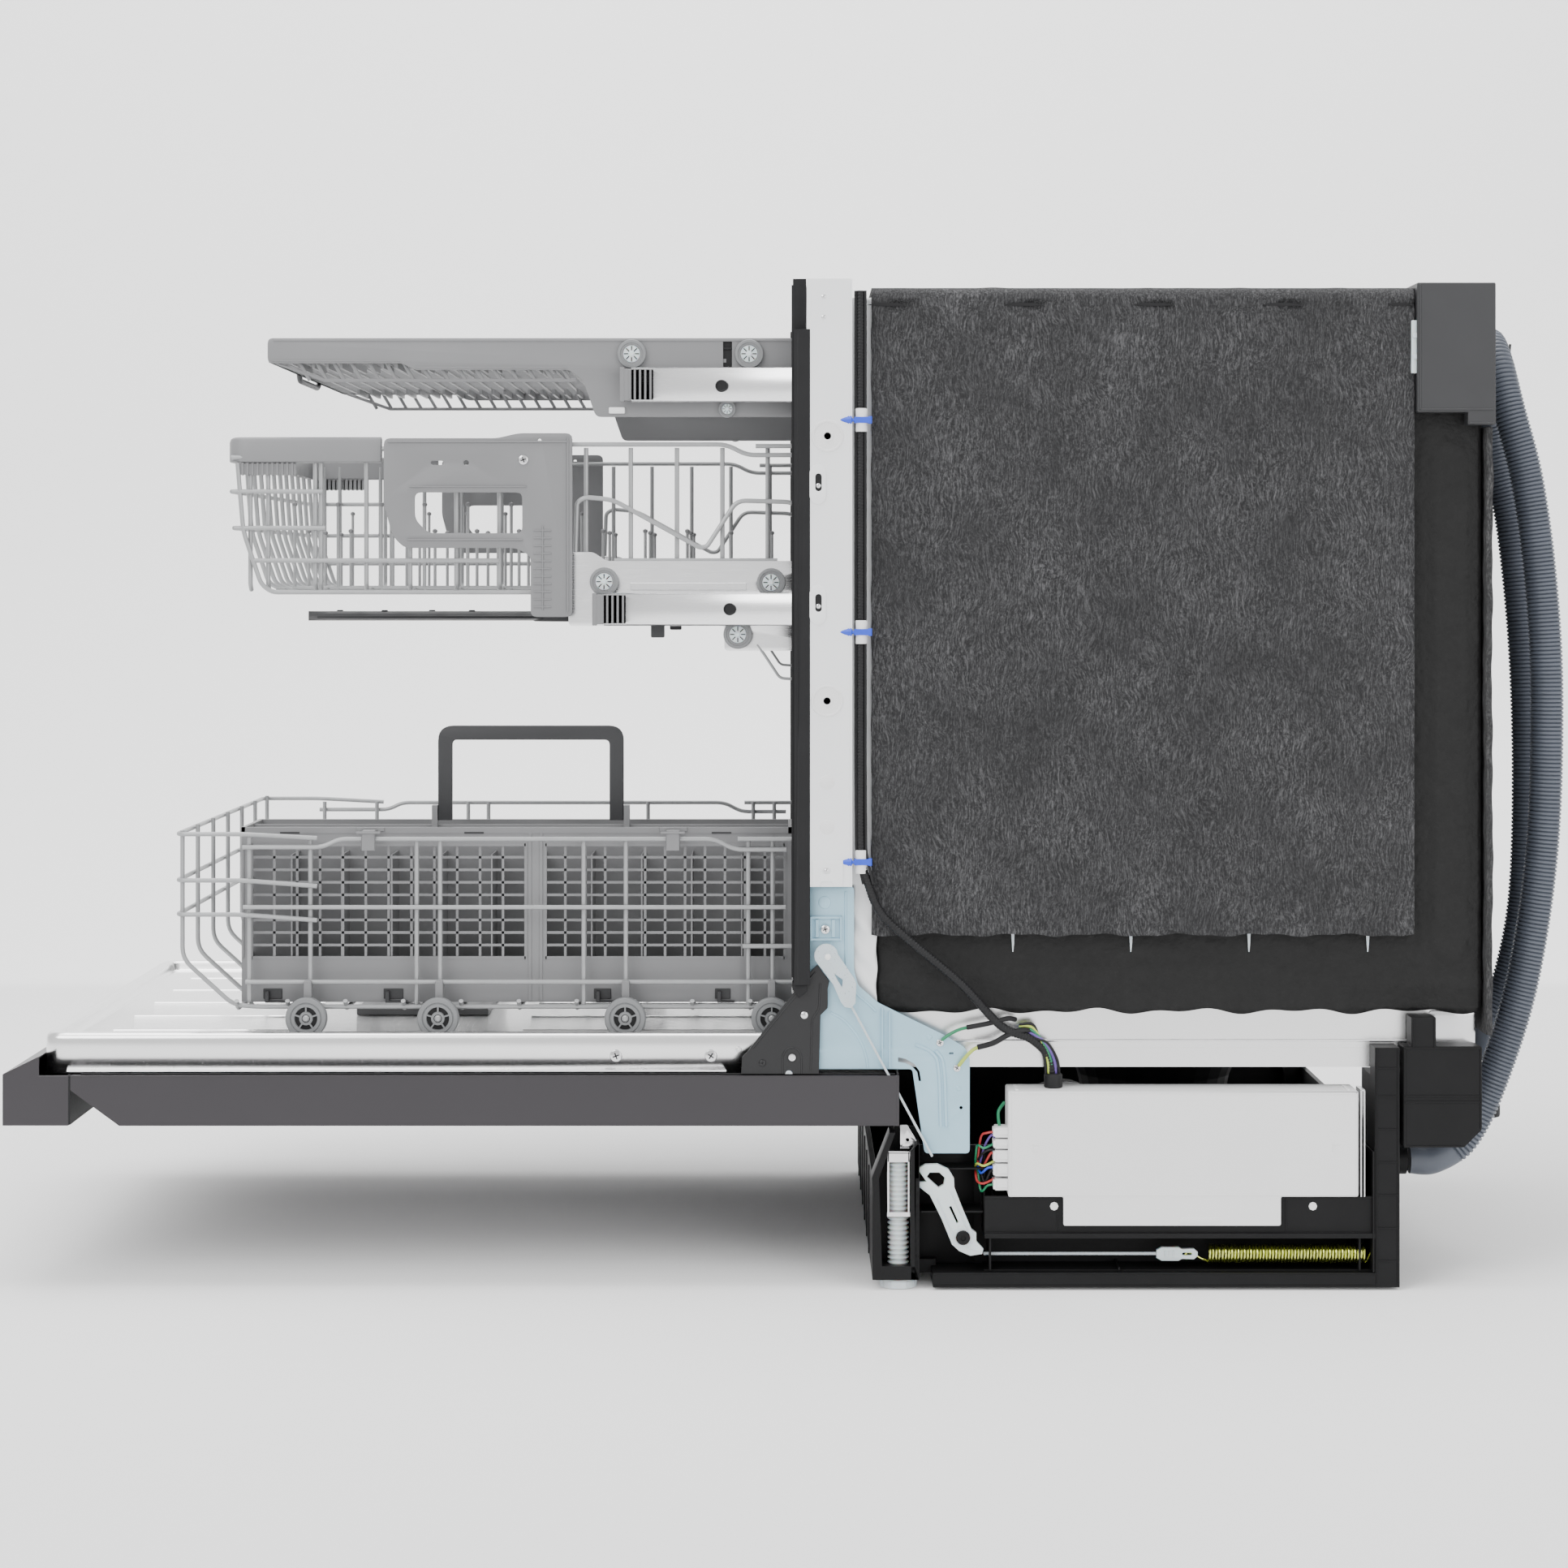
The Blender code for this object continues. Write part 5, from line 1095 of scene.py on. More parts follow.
def control_box():
    """Rim, snaps, channel and connectors of the grey box."""
    rib_x0 = 0.2986
    rib_x1 = 0.2996
    wall_x = 0.2982
    skin_x = 0.2998
    dress("control_box", "light", 0.0014)
    boxes("control_box_rim", [
        (wall_x, skin_x, 0.2212, 0.5168, 0.1668, 0.1682), (wall_x, skin_x, 0.2212, 0.2226, 0.081, 0.1682),
        (wall_x, skin_x, 0.5154, 0.5168, 0.081, 0.1682), (0.27, 0.2975, 0.226, 0.229, 0.169, 0.1704),
        (0.27, 0.2975, 0.5085, 0.5115, 0.169, 0.1704), (rib_x0, rib_x1, 0.2215, 0.5165, 0.0802, 0.081)],
        "light", "chassis", bevel=0.0004)
    for number, (y, z) in enumerate(((0.244, 0.1205), (0.499, 0.1205))):
        boxes(f"control_box_snap_{number}", [
            (rib_x0, rib_x1, y - 0.0032, y + 0.0032, z - 0.0034, z - 0.0026),
            (rib_x0, rib_x1, y - 0.0032, y + 0.0032, z + 0.0026, z + 0.0034),
            (rib_x0, rib_x1, y - 0.0034, y - 0.0026, z - 0.0034, z + 0.0034)], "light", "chassis",
            bevel=0.0002)
    plate("control_box_pill", [oval(0.3829, 0.0592, 0.0172, 0.0025)], 0.2988, 0.2994, "light", "chassis",
          bevel=0.0002)
    boxes("control_box_channel", [(0.275, 0.2985, 0.5196, 0.521, 0.079, 0.17),
                                  (0.275, 0.2985, 0.5226, 0.5238, 0.079, 0.17),
                                  (0.275, 0.2985, 0.5196, 0.5238, 0.169, 0.1702)], "chrome", "chassis",
          bevel=0.0003)
    blocks = []
    for z0, z1 in ((0.129, 0.1375), (0.1195, 0.1275), (0.108, 0.118), (0.096, 0.1065), (0.084, 0.094)):
        blocks += [(0.276, 0.296, 0.2092, 0.2215, z0, z1),
                   (0.279, 0.2966, 0.2075, 0.21, z0 + 0.001, z1 - 0.001),
                   (0.2955, 0.297, 0.211, 0.22, z0 + 0.0025, z1 - 0.0025)]
    boxes("control_connectors", blocks, "light", "chassis", bevel=0.0005)


def cabling():
    """Coloured leads, earth wires, ties and the sleeve down the right post."""
    post_x = 0.3014
    line_y = 0.0945
    route = [(0.296, line_y, 0.85), (0.296, line_y, 0.78), (0.296, line_y, 0.6),
             (0.296, line_y, 0.45), (0.2965, 0.095, 0.372), (0.297, 0.101, 0.345),
             (0.2975, 0.112, 0.32), (0.2975, 0.136, 0.297), (0.2965, 0.18, 0.26),
             (0.293, 0.214, 0.224), (0.288, 0.24, 0.212), (0.28, 0.256, 0.195),
             (0.276, 0.26, 0.1705)]
    fine = smooth_route(route, 0.0009)
    ribbed_tube("harness_sleeve", fine, lambda i: (0.0038, 0.0038, 0.0034)[i % 3], "cable", "chassis",
                ("wire_harness",), 14)
    leads = [[(x + dx, y + dy, z) for x, y, z in route[:6]] for dx, dy in ((0.0022, 0.004), (0.001, -0.0042))]
    rods("harness_side_wires", leads, 0.0012, "cable", "chassis", bend=0.006, sides=2)
    for number, z in enumerate((0.7399, 0.5595, 0.364)):
        wrap = [(0.005, -0.01), (0.0053, -0.0096), (0.0052, 0.0), (0.0054, 0.0094), (0.005, 0.01)]
        turned(f"harness_tape_{number}", [(wrap, (0.2962, 0.095, z), "Z")], "tape", "chassis", steps=18)
        boxes(f"harness_tie_{number}", [
            (0.2905, post_x, 0.089, 0.0905, z - 0.0026, z + 0.0026),
            (0.2905, post_x, 0.1, 0.1014, z - 0.0026, z + 0.0026),
            (0.3008, 0.3019, 0.089, 0.103, z - 0.0026, z + 0.0026),
            (0.2985, 0.3015, 0.101, 0.104, z - 0.0032, z + 0.0032)], "blue", "chassis", bevel=0.0003)
        cone = [(0.0009, -0.008), (0.0024, -0.004), (0.0036, 0.0015), (0.003, 0.002), (0.0014, 0.0024),
                (0.0014, 0.006)]
        turned(f"harness_mount_{number}", [(cone, (0.3006, 0.085, z), "Y")], "blue", "chassis", steps=14)
        rods(f"harness_mount_wings_{number}", [[(post_x, 0.08, z), (post_x, 0.0845, z + 0.003)],
                                               [(post_x, 0.08, z), (post_x, 0.0845, z - 0.003)]],
             0.0006, "blue", "chassis", bend=0, sides=2)

    def lead(name, points, radius, finish):
        rods(name, [smooth_route(points, 0.002)], radius, finish, "chassis", bend=0, sides=2)

    x = 0.293
    lead("earth_wire_green", [(x, 0.164, 0.212), (x + 0.001, 0.17, 0.2165), (x + 0.001, 0.178, 0.2205),
                              (x, 0.186, 0.2225)], 0.0014, "green")
    lead("earth_sleeve_upper", [(x, 0.185, 0.2224), (x + 0.001, 0.196, 0.2245), (x + 0.001, 0.208, 0.227),
                                (x - 0.001, 0.22, 0.23), (x - 0.006, 0.227, 0.2285)], 0.0022, "cable")
    lead("earth_wire_striped", [(x, 0.1785, 0.19), (x + 0.002, 0.184, 0.1975), (x + 0.002, 0.19, 0.2035),
                                (x + 0.001, 0.1955, 0.2062)], 0.0016, "yellow")
    lead("earth_sleeve_lower", [(x + 0.001, 0.194, 0.2056), (x + 0.001, 0.208, 0.2095), (x, 0.22, 0.216),
                                (x - 0.002, 0.233, 0.22), (x - 0.008, 0.242, 0.218)], 0.0024, "cable")
    for number, (finish, shift) in enumerate((("green", 0.0), ("violet", 0.003), ("cable", 0.0056),
                                              ("yellow", -0.0026), ("cable", -0.005))):
        lead(f"lead_{number}", [(0.287, 0.23, 0.2215 - shift * 0.5), (0.2885, 0.242, 0.219 - shift),
                                (0.286, 0.251 + shift * 0.6, 0.208), (0.282, 0.2575 + shift, 0.193),
                                (0.278, 0.259 + shift, 0.178), (0.276, 0.26 + shift * 0.5, 0.169)],
             0.0013, finish)
    collar = [(0.0072, -0.006), (0.008, -0.005), (0.0078, 0.0), (0.008, 0.0052), (0.007, 0.0062),
              (0.003, 0.0064)]
    turned("lead_sleeve", [(collar, (0.2765, 0.26, 0.175), "Z")], "cable", "chassis", steps=18)
    colours = ("red", "violet", "green", "cable", "red", "yellow", "blue", "cable", "red", "green")
    for number, finish in enumerate(colours):
        z = 0.133 - 0.005 * number
        bow = 0.0035 * math.sin(number * 2.1)
        lead(f"connector_lead_{number}", [(0.29 - 0.001 * (number % 3), 0.2092, z),
                                          (0.289, 0.203 + bow, z - 0.001 + bow),
                                          (0.284, 0.1975 + bow, z - 0.006 - bow),
                                          (0.276, 0.195 + bow * 0.5, 0.098 + 0.002 * (number % 4)),
                                          (0.268, 0.196, 0.09)], 0.001, finish)
    lead("box_earth_wire", [(0.284, 0.2135, 0.137), (0.286, 0.2125, 0.143), (0.283, 0.2128, 0.15),
                            (0.276, 0.218, 0.156)], 0.0014, "green")


def wash_system():
    """Filter, pumps and the hoses between them."""
    for node in ("circulation_pump", "drain_pump", "sump"):
        dress(node, "base", 0.001)
    dress("filter_cup", "grey", 0.0006)
    bm = bmesh.new()
    for i in range(14):
        a = 2 * math.pi * i / 14
        place = Matrix.Translation((*FILTER, 0.166)) @ Matrix.Rotation(a, 4, "Z")
        bmesh.ops.create_cube(bm, size=1.0, matrix=place @ Matrix.Translation((0.0302, 0, 0))
                              @ Matrix.Diagonal((0.001, 0.0016, 0.07, 1)))
    for i in range(5):
        lathe(bm, [(0.0298, -0.0008), (0.0307, -0.0008), (0.0307, 0.0008), (0.0298, 0.0008)],
              (*FILTER, 0.136 + 0.015 * i), "Z", 28)
    add_box(bm, (0.035, 0.085, 0.3822, 0.3858, 0.205, 0.2085))
    seat(from_bmesh("filter_basket_ribs", bm), "grey", "filter")
    fins = []
    for i in range(9):
        x = -0.15 + 0.008 * i
        fins.append(([(0.0418, -0.001), (0.0436, -0.001), (0.0436, 0.001), (0.0418, 0.001)],
                     (x, 0.3, 0.072), "X"))
    turned("pump_fins", fins, "base", "chassis")
    turned("drain_pump_rings", [([(0.0278, -0.0012), (0.0294, -0.0012), (0.0294, 0.0012), (0.0278, 0.0012)],
                                 (0.16, y, 0.06), "Y") for y in (0.425, 0.44, 0.455, 0.47)], "base",
           "chassis")
    rods("pump_hoses", [[(-0.022, 0.3, 0.09), (0.0, 0.315, 0.11), (0.02, 0.33, 0.12)]],
         0.015, "rubber", "chassis", bend=0.02, sides=4)
    rods("drain_link_hose", [[(0.16, 0.533, 0.06), (0.162, 0.542, 0.064), (0.19, 0.544, 0.08),
                              (0.21, 0.544, 0.095)]], 0.0075, "rubber", "chassis", bend=0.01, sides=4)


def spray_arm(name, body, node, centre, reach, z, finish):
    """A hollow blade with rounded faces, raised jets and a hub."""
    def half_width(t):
        return 0.026 - 0.012 * t if t < 0.94 else (0.026 - 0.012 * 0.94) * math.sqrt(
            max(0.0, 1 - ((t - 0.94) / 0.06) ** 2))

    bm = bmesh.new()
    rings = []
    steps = 48
    for i in range(steps + 1):
        y = -reach + 2 * reach * i / steps
        w = max(half_width(abs(y) / reach), 0.0012)
        ring = []
        for k in range(16):
            a = 2 * math.pi * k / 16
            ring.append(bm.verts.new((centre[0] + w * math.cos(a), centre[1] + y,
                                      z + 0.0045 * math.copysign(abs(math.sin(a)) ** 0.7, math.sin(a)))))
        rings.append(ring)
    for a, b in zip(rings, rings[1:]):
        for k in range(16):
            n = (k + 1) % 16
            bm.faces.new((a[k], a[n], b[n], b[k]))
    bm.faces.new(rings[0])
    bm.faces.new(rings[-1])
    jet = [(0.003, 0.0), (0.003, 0.0016), (0.0018, 0.0018), (0.001, 0.001), (0, 0.001)]
    for i, share in enumerate((-0.88, -0.7, -0.52, -0.36, 0.3, 0.47, 0.64, 0.8, 0.92)):
        aside = 0.006 if i % 2 else -0.006
        lathe(bm, jet, (centre[0] + aside, centre[1] + share * reach, z + 0.0038), "Z", 14)
    hub = [(0, 0.0062), (0.012, 0.0062), (0.015, 0.0058), (0.016, 0.0046), (0.026, 0.0044), (0.03, 0.003),
           (0.03, -0.0044), (0.028, -0.0052), (0, -0.0052)]
    lathe(bm, hub, (centre[0], centre[1], z), "Z", 32)
    return seat(from_bmesh(name, bm), finish, body, (node,))


# ---------------------------------------------------------------- door
def door():
    """Panel, pressed liner, seams, keys and display window."""
    dress("door_panel", "dark_steel", 0.0007)
    dress("control_panel", "dark_steel", 0.0009)
    dress("power_button", "dark", 0.0008)
    low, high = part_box("door_liner")
    profile = [(0.0, 0.1826), (0.0, 0.2115), (0.0008, 0.214), (0.0024, 0.216), (0.0048, 0.2171),
               (0.0075, 0.2174), (0.0095, 0.217), (0.011, 0.2158), (0.012, 0.2136), (0.0128, 0.2105),
               (0.014, 0.2084), (0.016, 0.2074)]
    bm = bmesh.new()
    rows = []
    for inset, z in profile:
        bend = max(0.02 - inset, 0.006)
        corner = [(low.x + inset, high.y, z), (low.x + inset, low.y + inset, z),
                  (high.x - inset, low.y + inset, z), (high.x - inset, high.y, z)]
        rows.append([bm.verts.new(p) for p in round_bends(corner, bend, 7)])
    for lower, upper in zip(rows, rows[1:]):
        for k in range(len(lower) - 1):
            bm.faces.new((lower[k], lower[k + 1], upper[k + 1], upper[k]))
    bm.faces.new(rows[-1])
    bm.faces.new([row[0] for row in rows] + [row[-1] for row in reversed(rows)])
    liner = thicken(from_bmesh("pressed_liner", bm), 0.0012)
    seat(liner, "steel", "door", ("door_liner",))
    ribs = [[(x, y0, 0.2071), (x, y1, 0.2071)] for y0, y1 in ((-0.56, -0.4), (-0.2, 0.01))
            for x in (-0.2, -0.1, 0.0, 0.1, 0.2)]
    rods("liner_ribs", ribs, 0.0018, "steel", "door", bend=0)
    for side, sign in SIDES:
        screws(f"liner_screws_{side}", [(0.2876, -0.1142, 0.1975), (0.2876, -0.0331, 0.1975)], 0.0054, sign,
               "chrome", "door", 0.0016)
        eyelet = [(0.0012, 0.0002), (0.0014, 0.0008), (0.0022, 0.0008), (0.0026, 0.0001), (0.0026, -0.0006)]
        studs(f"liner_eyelet_{side}", sign, eyelet, [(sign * 0.2875, -0.0095, 0.2031)], "chrome",
              "door", steps=16)
        rods(f"liner_hem_{side}", in_plane(sign * 0.2874, [(-0.583, 0.1842), (-0.02, 0.1842)]),
             0.0013, "steel_y", "door", bend=0)
        side_boxes(f"door_hem_{side}", sign, [
            (0.2976, 0.2988, -0.577, 0.1262, 0.1812, 0.1822),
            (0.2976, 0.2988, -0.535, 0.1262, 0.1396, 0.1404),
            (0.2976, 0.2987, 0.125, 0.1272, 0.14, 0.1818)], "dark_steel", "door",
            bevel=0.0003)
        rods(f"door_tail_strip_{side}", in_plane(sign * 0.292, [(0.124, 0.1826), (-0.57, 0.1826)]),
             0.0009, "rubber", "door", bend=0)
    boxes("control_seam", [(-0.2984, 0.2984, -0.5796, -0.578, 0.1402, 0.1816)], "rubber", "door",
          bevel=0.0002)
    slope = Matrix.Rotation(math.atan2(0.0153, 0.0313), 4, "X")
    keys = bmesh.new()
    marks = bmesh.new()
    for i in range(9):
        x = -0.225 + 0.034 * i + (0.09 if i > 4 else 0.0)
        place = Matrix.Translation((x, -0.6205, 0.191)) @ slope
        lathe(keys, [(0, 0.0006), (0.0048, 0.0005), (0.0054, 0.0), (0.0054, -0.001)], (0, 0, 0), "Z", 24)
        bmesh.ops.transform(keys, matrix=place, verts=keys.verts[-(len(keys.verts) // (i + 1)):])
        bmesh.ops.create_cube(marks, size=1.0, matrix=place @ Matrix.Translation((0, 0.0095, 0.0002))
                              @ Matrix.Diagonal((0.004, 0.001, 0.0006, 1)))
    seat(from_bmesh("touch_keys", keys), "dark", "door")
    seat(from_bmesh("key_lamps", marks), "light", "door")
    window = bmesh.new()
    bmesh.ops.create_cube(window, size=1.0, matrix=Matrix.Translation((-0.0295, -0.62, 0.1912)) @ slope
                          @ Matrix.Diagonal((0.044, 0.018, 0.0008, 1)))
    seat(from_bmesh("display_window", window), "cable", "door", (), 0.0003)


def dispenser():
    """Rinse aid cap, lid grip, seal and track."""
    dress("dispenser_housing", "grey", 0.0009)
    dress("dispenser_lid", "grey", 0.0009)
    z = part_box("dispenser_housing")[1].z
    cap = [(0, 0.0018), (0.015, 0.0018), (0.0162, 0.0034), (0.019, 0.0032), (0.0198, 0.002),
           (0.0198, -0.001)]
    turned("rinse_aid_cap", [(cap, (0.06, -0.3, z), "Z")], "grey", "door", steps=36)
    boxes("rinse_aid_grip", [(0.045, 0.075, -0.3016, -0.2984, z + 0.001, z + 0.0042)], "grey", "door")
    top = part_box("dispenser_lid")[1].z
    boxes("lid_grip", [(x - 0.0008, x + 0.0008, -0.33, -0.27, top - 0.0004, top + 0.001)
                       for x in (-0.05, -0.046, -0.042, -0.038)], "grey", "dispenser_lid", bevel=0.0003)
    rods("lid_seal", [[(-0.0575, -0.3515, top), (0.0225, -0.3515, top), (0.0225, -0.2485, top),
                       (-0.0575, -0.2485, top)]], 0.0005, "dark", "dispenser_lid", bend=0.004, closed=(0,))
    boxes("dispenser_track", [(-0.128, 0.028, y - 0.0006, y + 0.0006, z - 0.0044, z - 0.0008)
                              for y in (-0.3545, -0.2455)], "dark", "door", bevel=0.0002)
    boxes("dispenser_marks", [(-0.12 + 0.01 * i, -0.119 + 0.01 * i, -0.33, -0.27, z - 0.0042, z - 0.0036)
                              for i in range(5)], "dark", "door", bevel=0.0002)


# ---------------------------------------------------------------- lower rack
def lower_rack():
    """Wires, tines, wheel brackets and pins of the lower rack."""
    bead_z = 0.3799
    x = 0.25
    rear = 0.05
    paths = []
    for z0, z1 in ((0.3841, 0.3806), (0.3441, 0.3391), (0.3146, 0.3097)):
        paths.append([(x, -0.3744, z1), (x, -0.44, z0), (x, -0.4955, z0), (-x, -0.4955, z0),
                      (-x, -0.44, z0), (-x, -0.3744, z1)])
    for sign in (1, -1):
        s = sign * x
        inner = sign * (x - 0.0042)
        paths += in_plane(
            s,
            [(-0.439, 0.3728), (-0.3695, 0.3728), (-0.3554, bead_z), (-0.0304, bead_z), (-0.0142, 0.3707),
             (0.0314, 0.3707)],
            [(-0.0107, bead_z), (rear, bead_z)],
            [(-0.4383, 0.3209), (0.0307, 0.3209)],
            [(-0.0065, 0.2872), (rear, 0.2872)],
            [(-0.4362, 0.2563), (rear, 0.2563)])
        for y, bottom in ((-0.4334, 0.24), (-0.3807, 0.23), (-0.2887, 0.236), (-0.2684, 0.23),
                          (-0.1441, 0.236), (-0.1076, 0.23), (-0.0016, 0.236), (0.0195, 0.23)):
            end = [(inner, y, bottom)]
            if bottom > 0.235:
                end.append((inner - sign * 0.015, y, RACK_FLOOR))
            paths.append([(inner, y, 0.381), (inner, y, bottom + 0.006), *end])
    for fx in (-x, -0.167, -0.0835, 0.0, 0.0835, 0.167, x):
        near = fx if abs(fx) < 0.249 else math.copysign(x - 0.0042, fx)
        paths.append([(near, -0.4915, 0.387), (near, -0.4915, 0.276), (near, -0.448, 0.2365),
                      (near, -0.43, RACK_FLOOR), (near, rear - 0.004, RACK_FLOOR),
                      (near, rear - 0.004, 0.38)])
    for y in (-0.444, -0.4, -0.35, -0.3, -0.25, -0.2, -0.15, -0.1, -0.05, 0.0):
        paths.append([(-x, y, 0.24), (-x + 0.008, y, 0.2326), (x - 0.008, y, 0.2326), (x, y, 0.24)])
    for z in (0.2563, 0.3209, bead_z):
        paths.append([(-x, rear - 0.001, z), (x, rear - 0.001, z)])
    rods("wire_lower_rack", paths, 0.002, "wire", "lower_rack", ("lower_rack",), bend=0.01)
    tines = []
    for tx, height in ((-0.205, 0.095), (-0.145, 0.075), (-0.06, 0.095), (0.0, 0.075), (0.095, 0.085)):
        for i in range(18):
            y = -0.425 + 0.026 * i
            tines.append([(tx, y, RACK_FLOOR), (tx, y, RACK_FLOOR + height * 0.9),
                          (tx, y + 0.006, RACK_FLOOR + height)])
        tines.append([(tx, -0.43, 0.2365), (tx, 0.04, 0.2365)])
    rods("plate_tines", tines, 0.0014, "wire", "lower_rack", bend=0.004, sides=2)
    caps = []
    for sign in (1, -1):
        for y in RACK_WHEELS_Y:
            caps.append(side_box(sign, 0.244, 0.2545, y - 0.0055, y + 0.0055, 0.2215, 0.24))
            caps.append(side_box(sign, 0.2425, 0.2555, y - 0.0035, y + 0.0035, 0.238, 0.258))
    boxes("wheel_brackets", caps, "grey", "lower_rack", bevel=0.0012)
    pins = []
    for sign in (1, -1):
        for y in RACK_WHEELS_Y:
            pins.append(([(0, 0.0175), (0.0018, 0.0173), (0.003, 0.016), (0.003, 0.0)],
                         (sign * 0.25, y, RACK_WHEEL_Z), facing(sign)))
    turned("wheel_pins", pins, "wire", "lower_rack", steps=16)


def wheel(name, centre, sign, radius, half, body, replaces=(), spokes=8, finish="wheel"):
    """A moulded wheel: tread, stepped web, slotted hub drawn with a black ring of painted shade in its
    recess.
    """
    r = radius
    h = half
    bm = bmesh.new()
    profile = [(0.2 * r, -h), (0.94 * r, -h), (r, -h * 0.75), (r, h * 0.75), (0.95 * r, h), (0.78 * r, h),
               (0.745 * r, h * 0.8), (0.72 * r, h * 0.8), (0.7 * r, h * 0.95), (0.56 * r, h * 0.95),
               (0.54 * r, h * 0.35), (0.34 * r, h * 0.35), (0.32 * r, h * 0.85), (0.2 * r, h * 0.85),
               (0.2 * r, -h)]
    lathe(bm, profile, centre, facing(sign), 40)
    for i in range(spokes):
        turn = Matrix.Translation(centre) @ Matrix.Rotation(2 * math.pi * i / spokes, 4, "X")
        place = turn @ Matrix.Translation((sign * h * 0.45, 0, 0.44 * r)) @ Matrix.Diagonal(
            (h * 0.9, 0.075 * r, 0.26 * r, 1))
        bmesh.ops.create_cube(bm, size=1.0, matrix=place)
    made = seat(from_bmesh(name, bm), finish, body, replaces)
    # A black ring on the web floor between the spokes: painted shade in the hub's recess, which makes the
    # slotted look.
    shaded_slots = bmesh.new()
    lathe(shaded_slots, [(0.335 * r, h * 0.37), (0.535 * r, h * 0.37)], centre, facing(sign), 30)
    seat(from_bmesh(name + "_recess_shade", shaded_slots), "cable", body)
    return made


def wheels():
    """The lower rack's eight wheels."""
    for side, sign in SIDES:
        for number, y in enumerate(RACK_WHEELS_Y, 1):
            body = f"wheel_{side}_{number}"
            wheel(f"rack_wheel_{side}_{number}", (sign * 0.26175, y, RACK_WHEEL_Z), sign, 0.0178,
                  0.0047, body, (body,), 5)


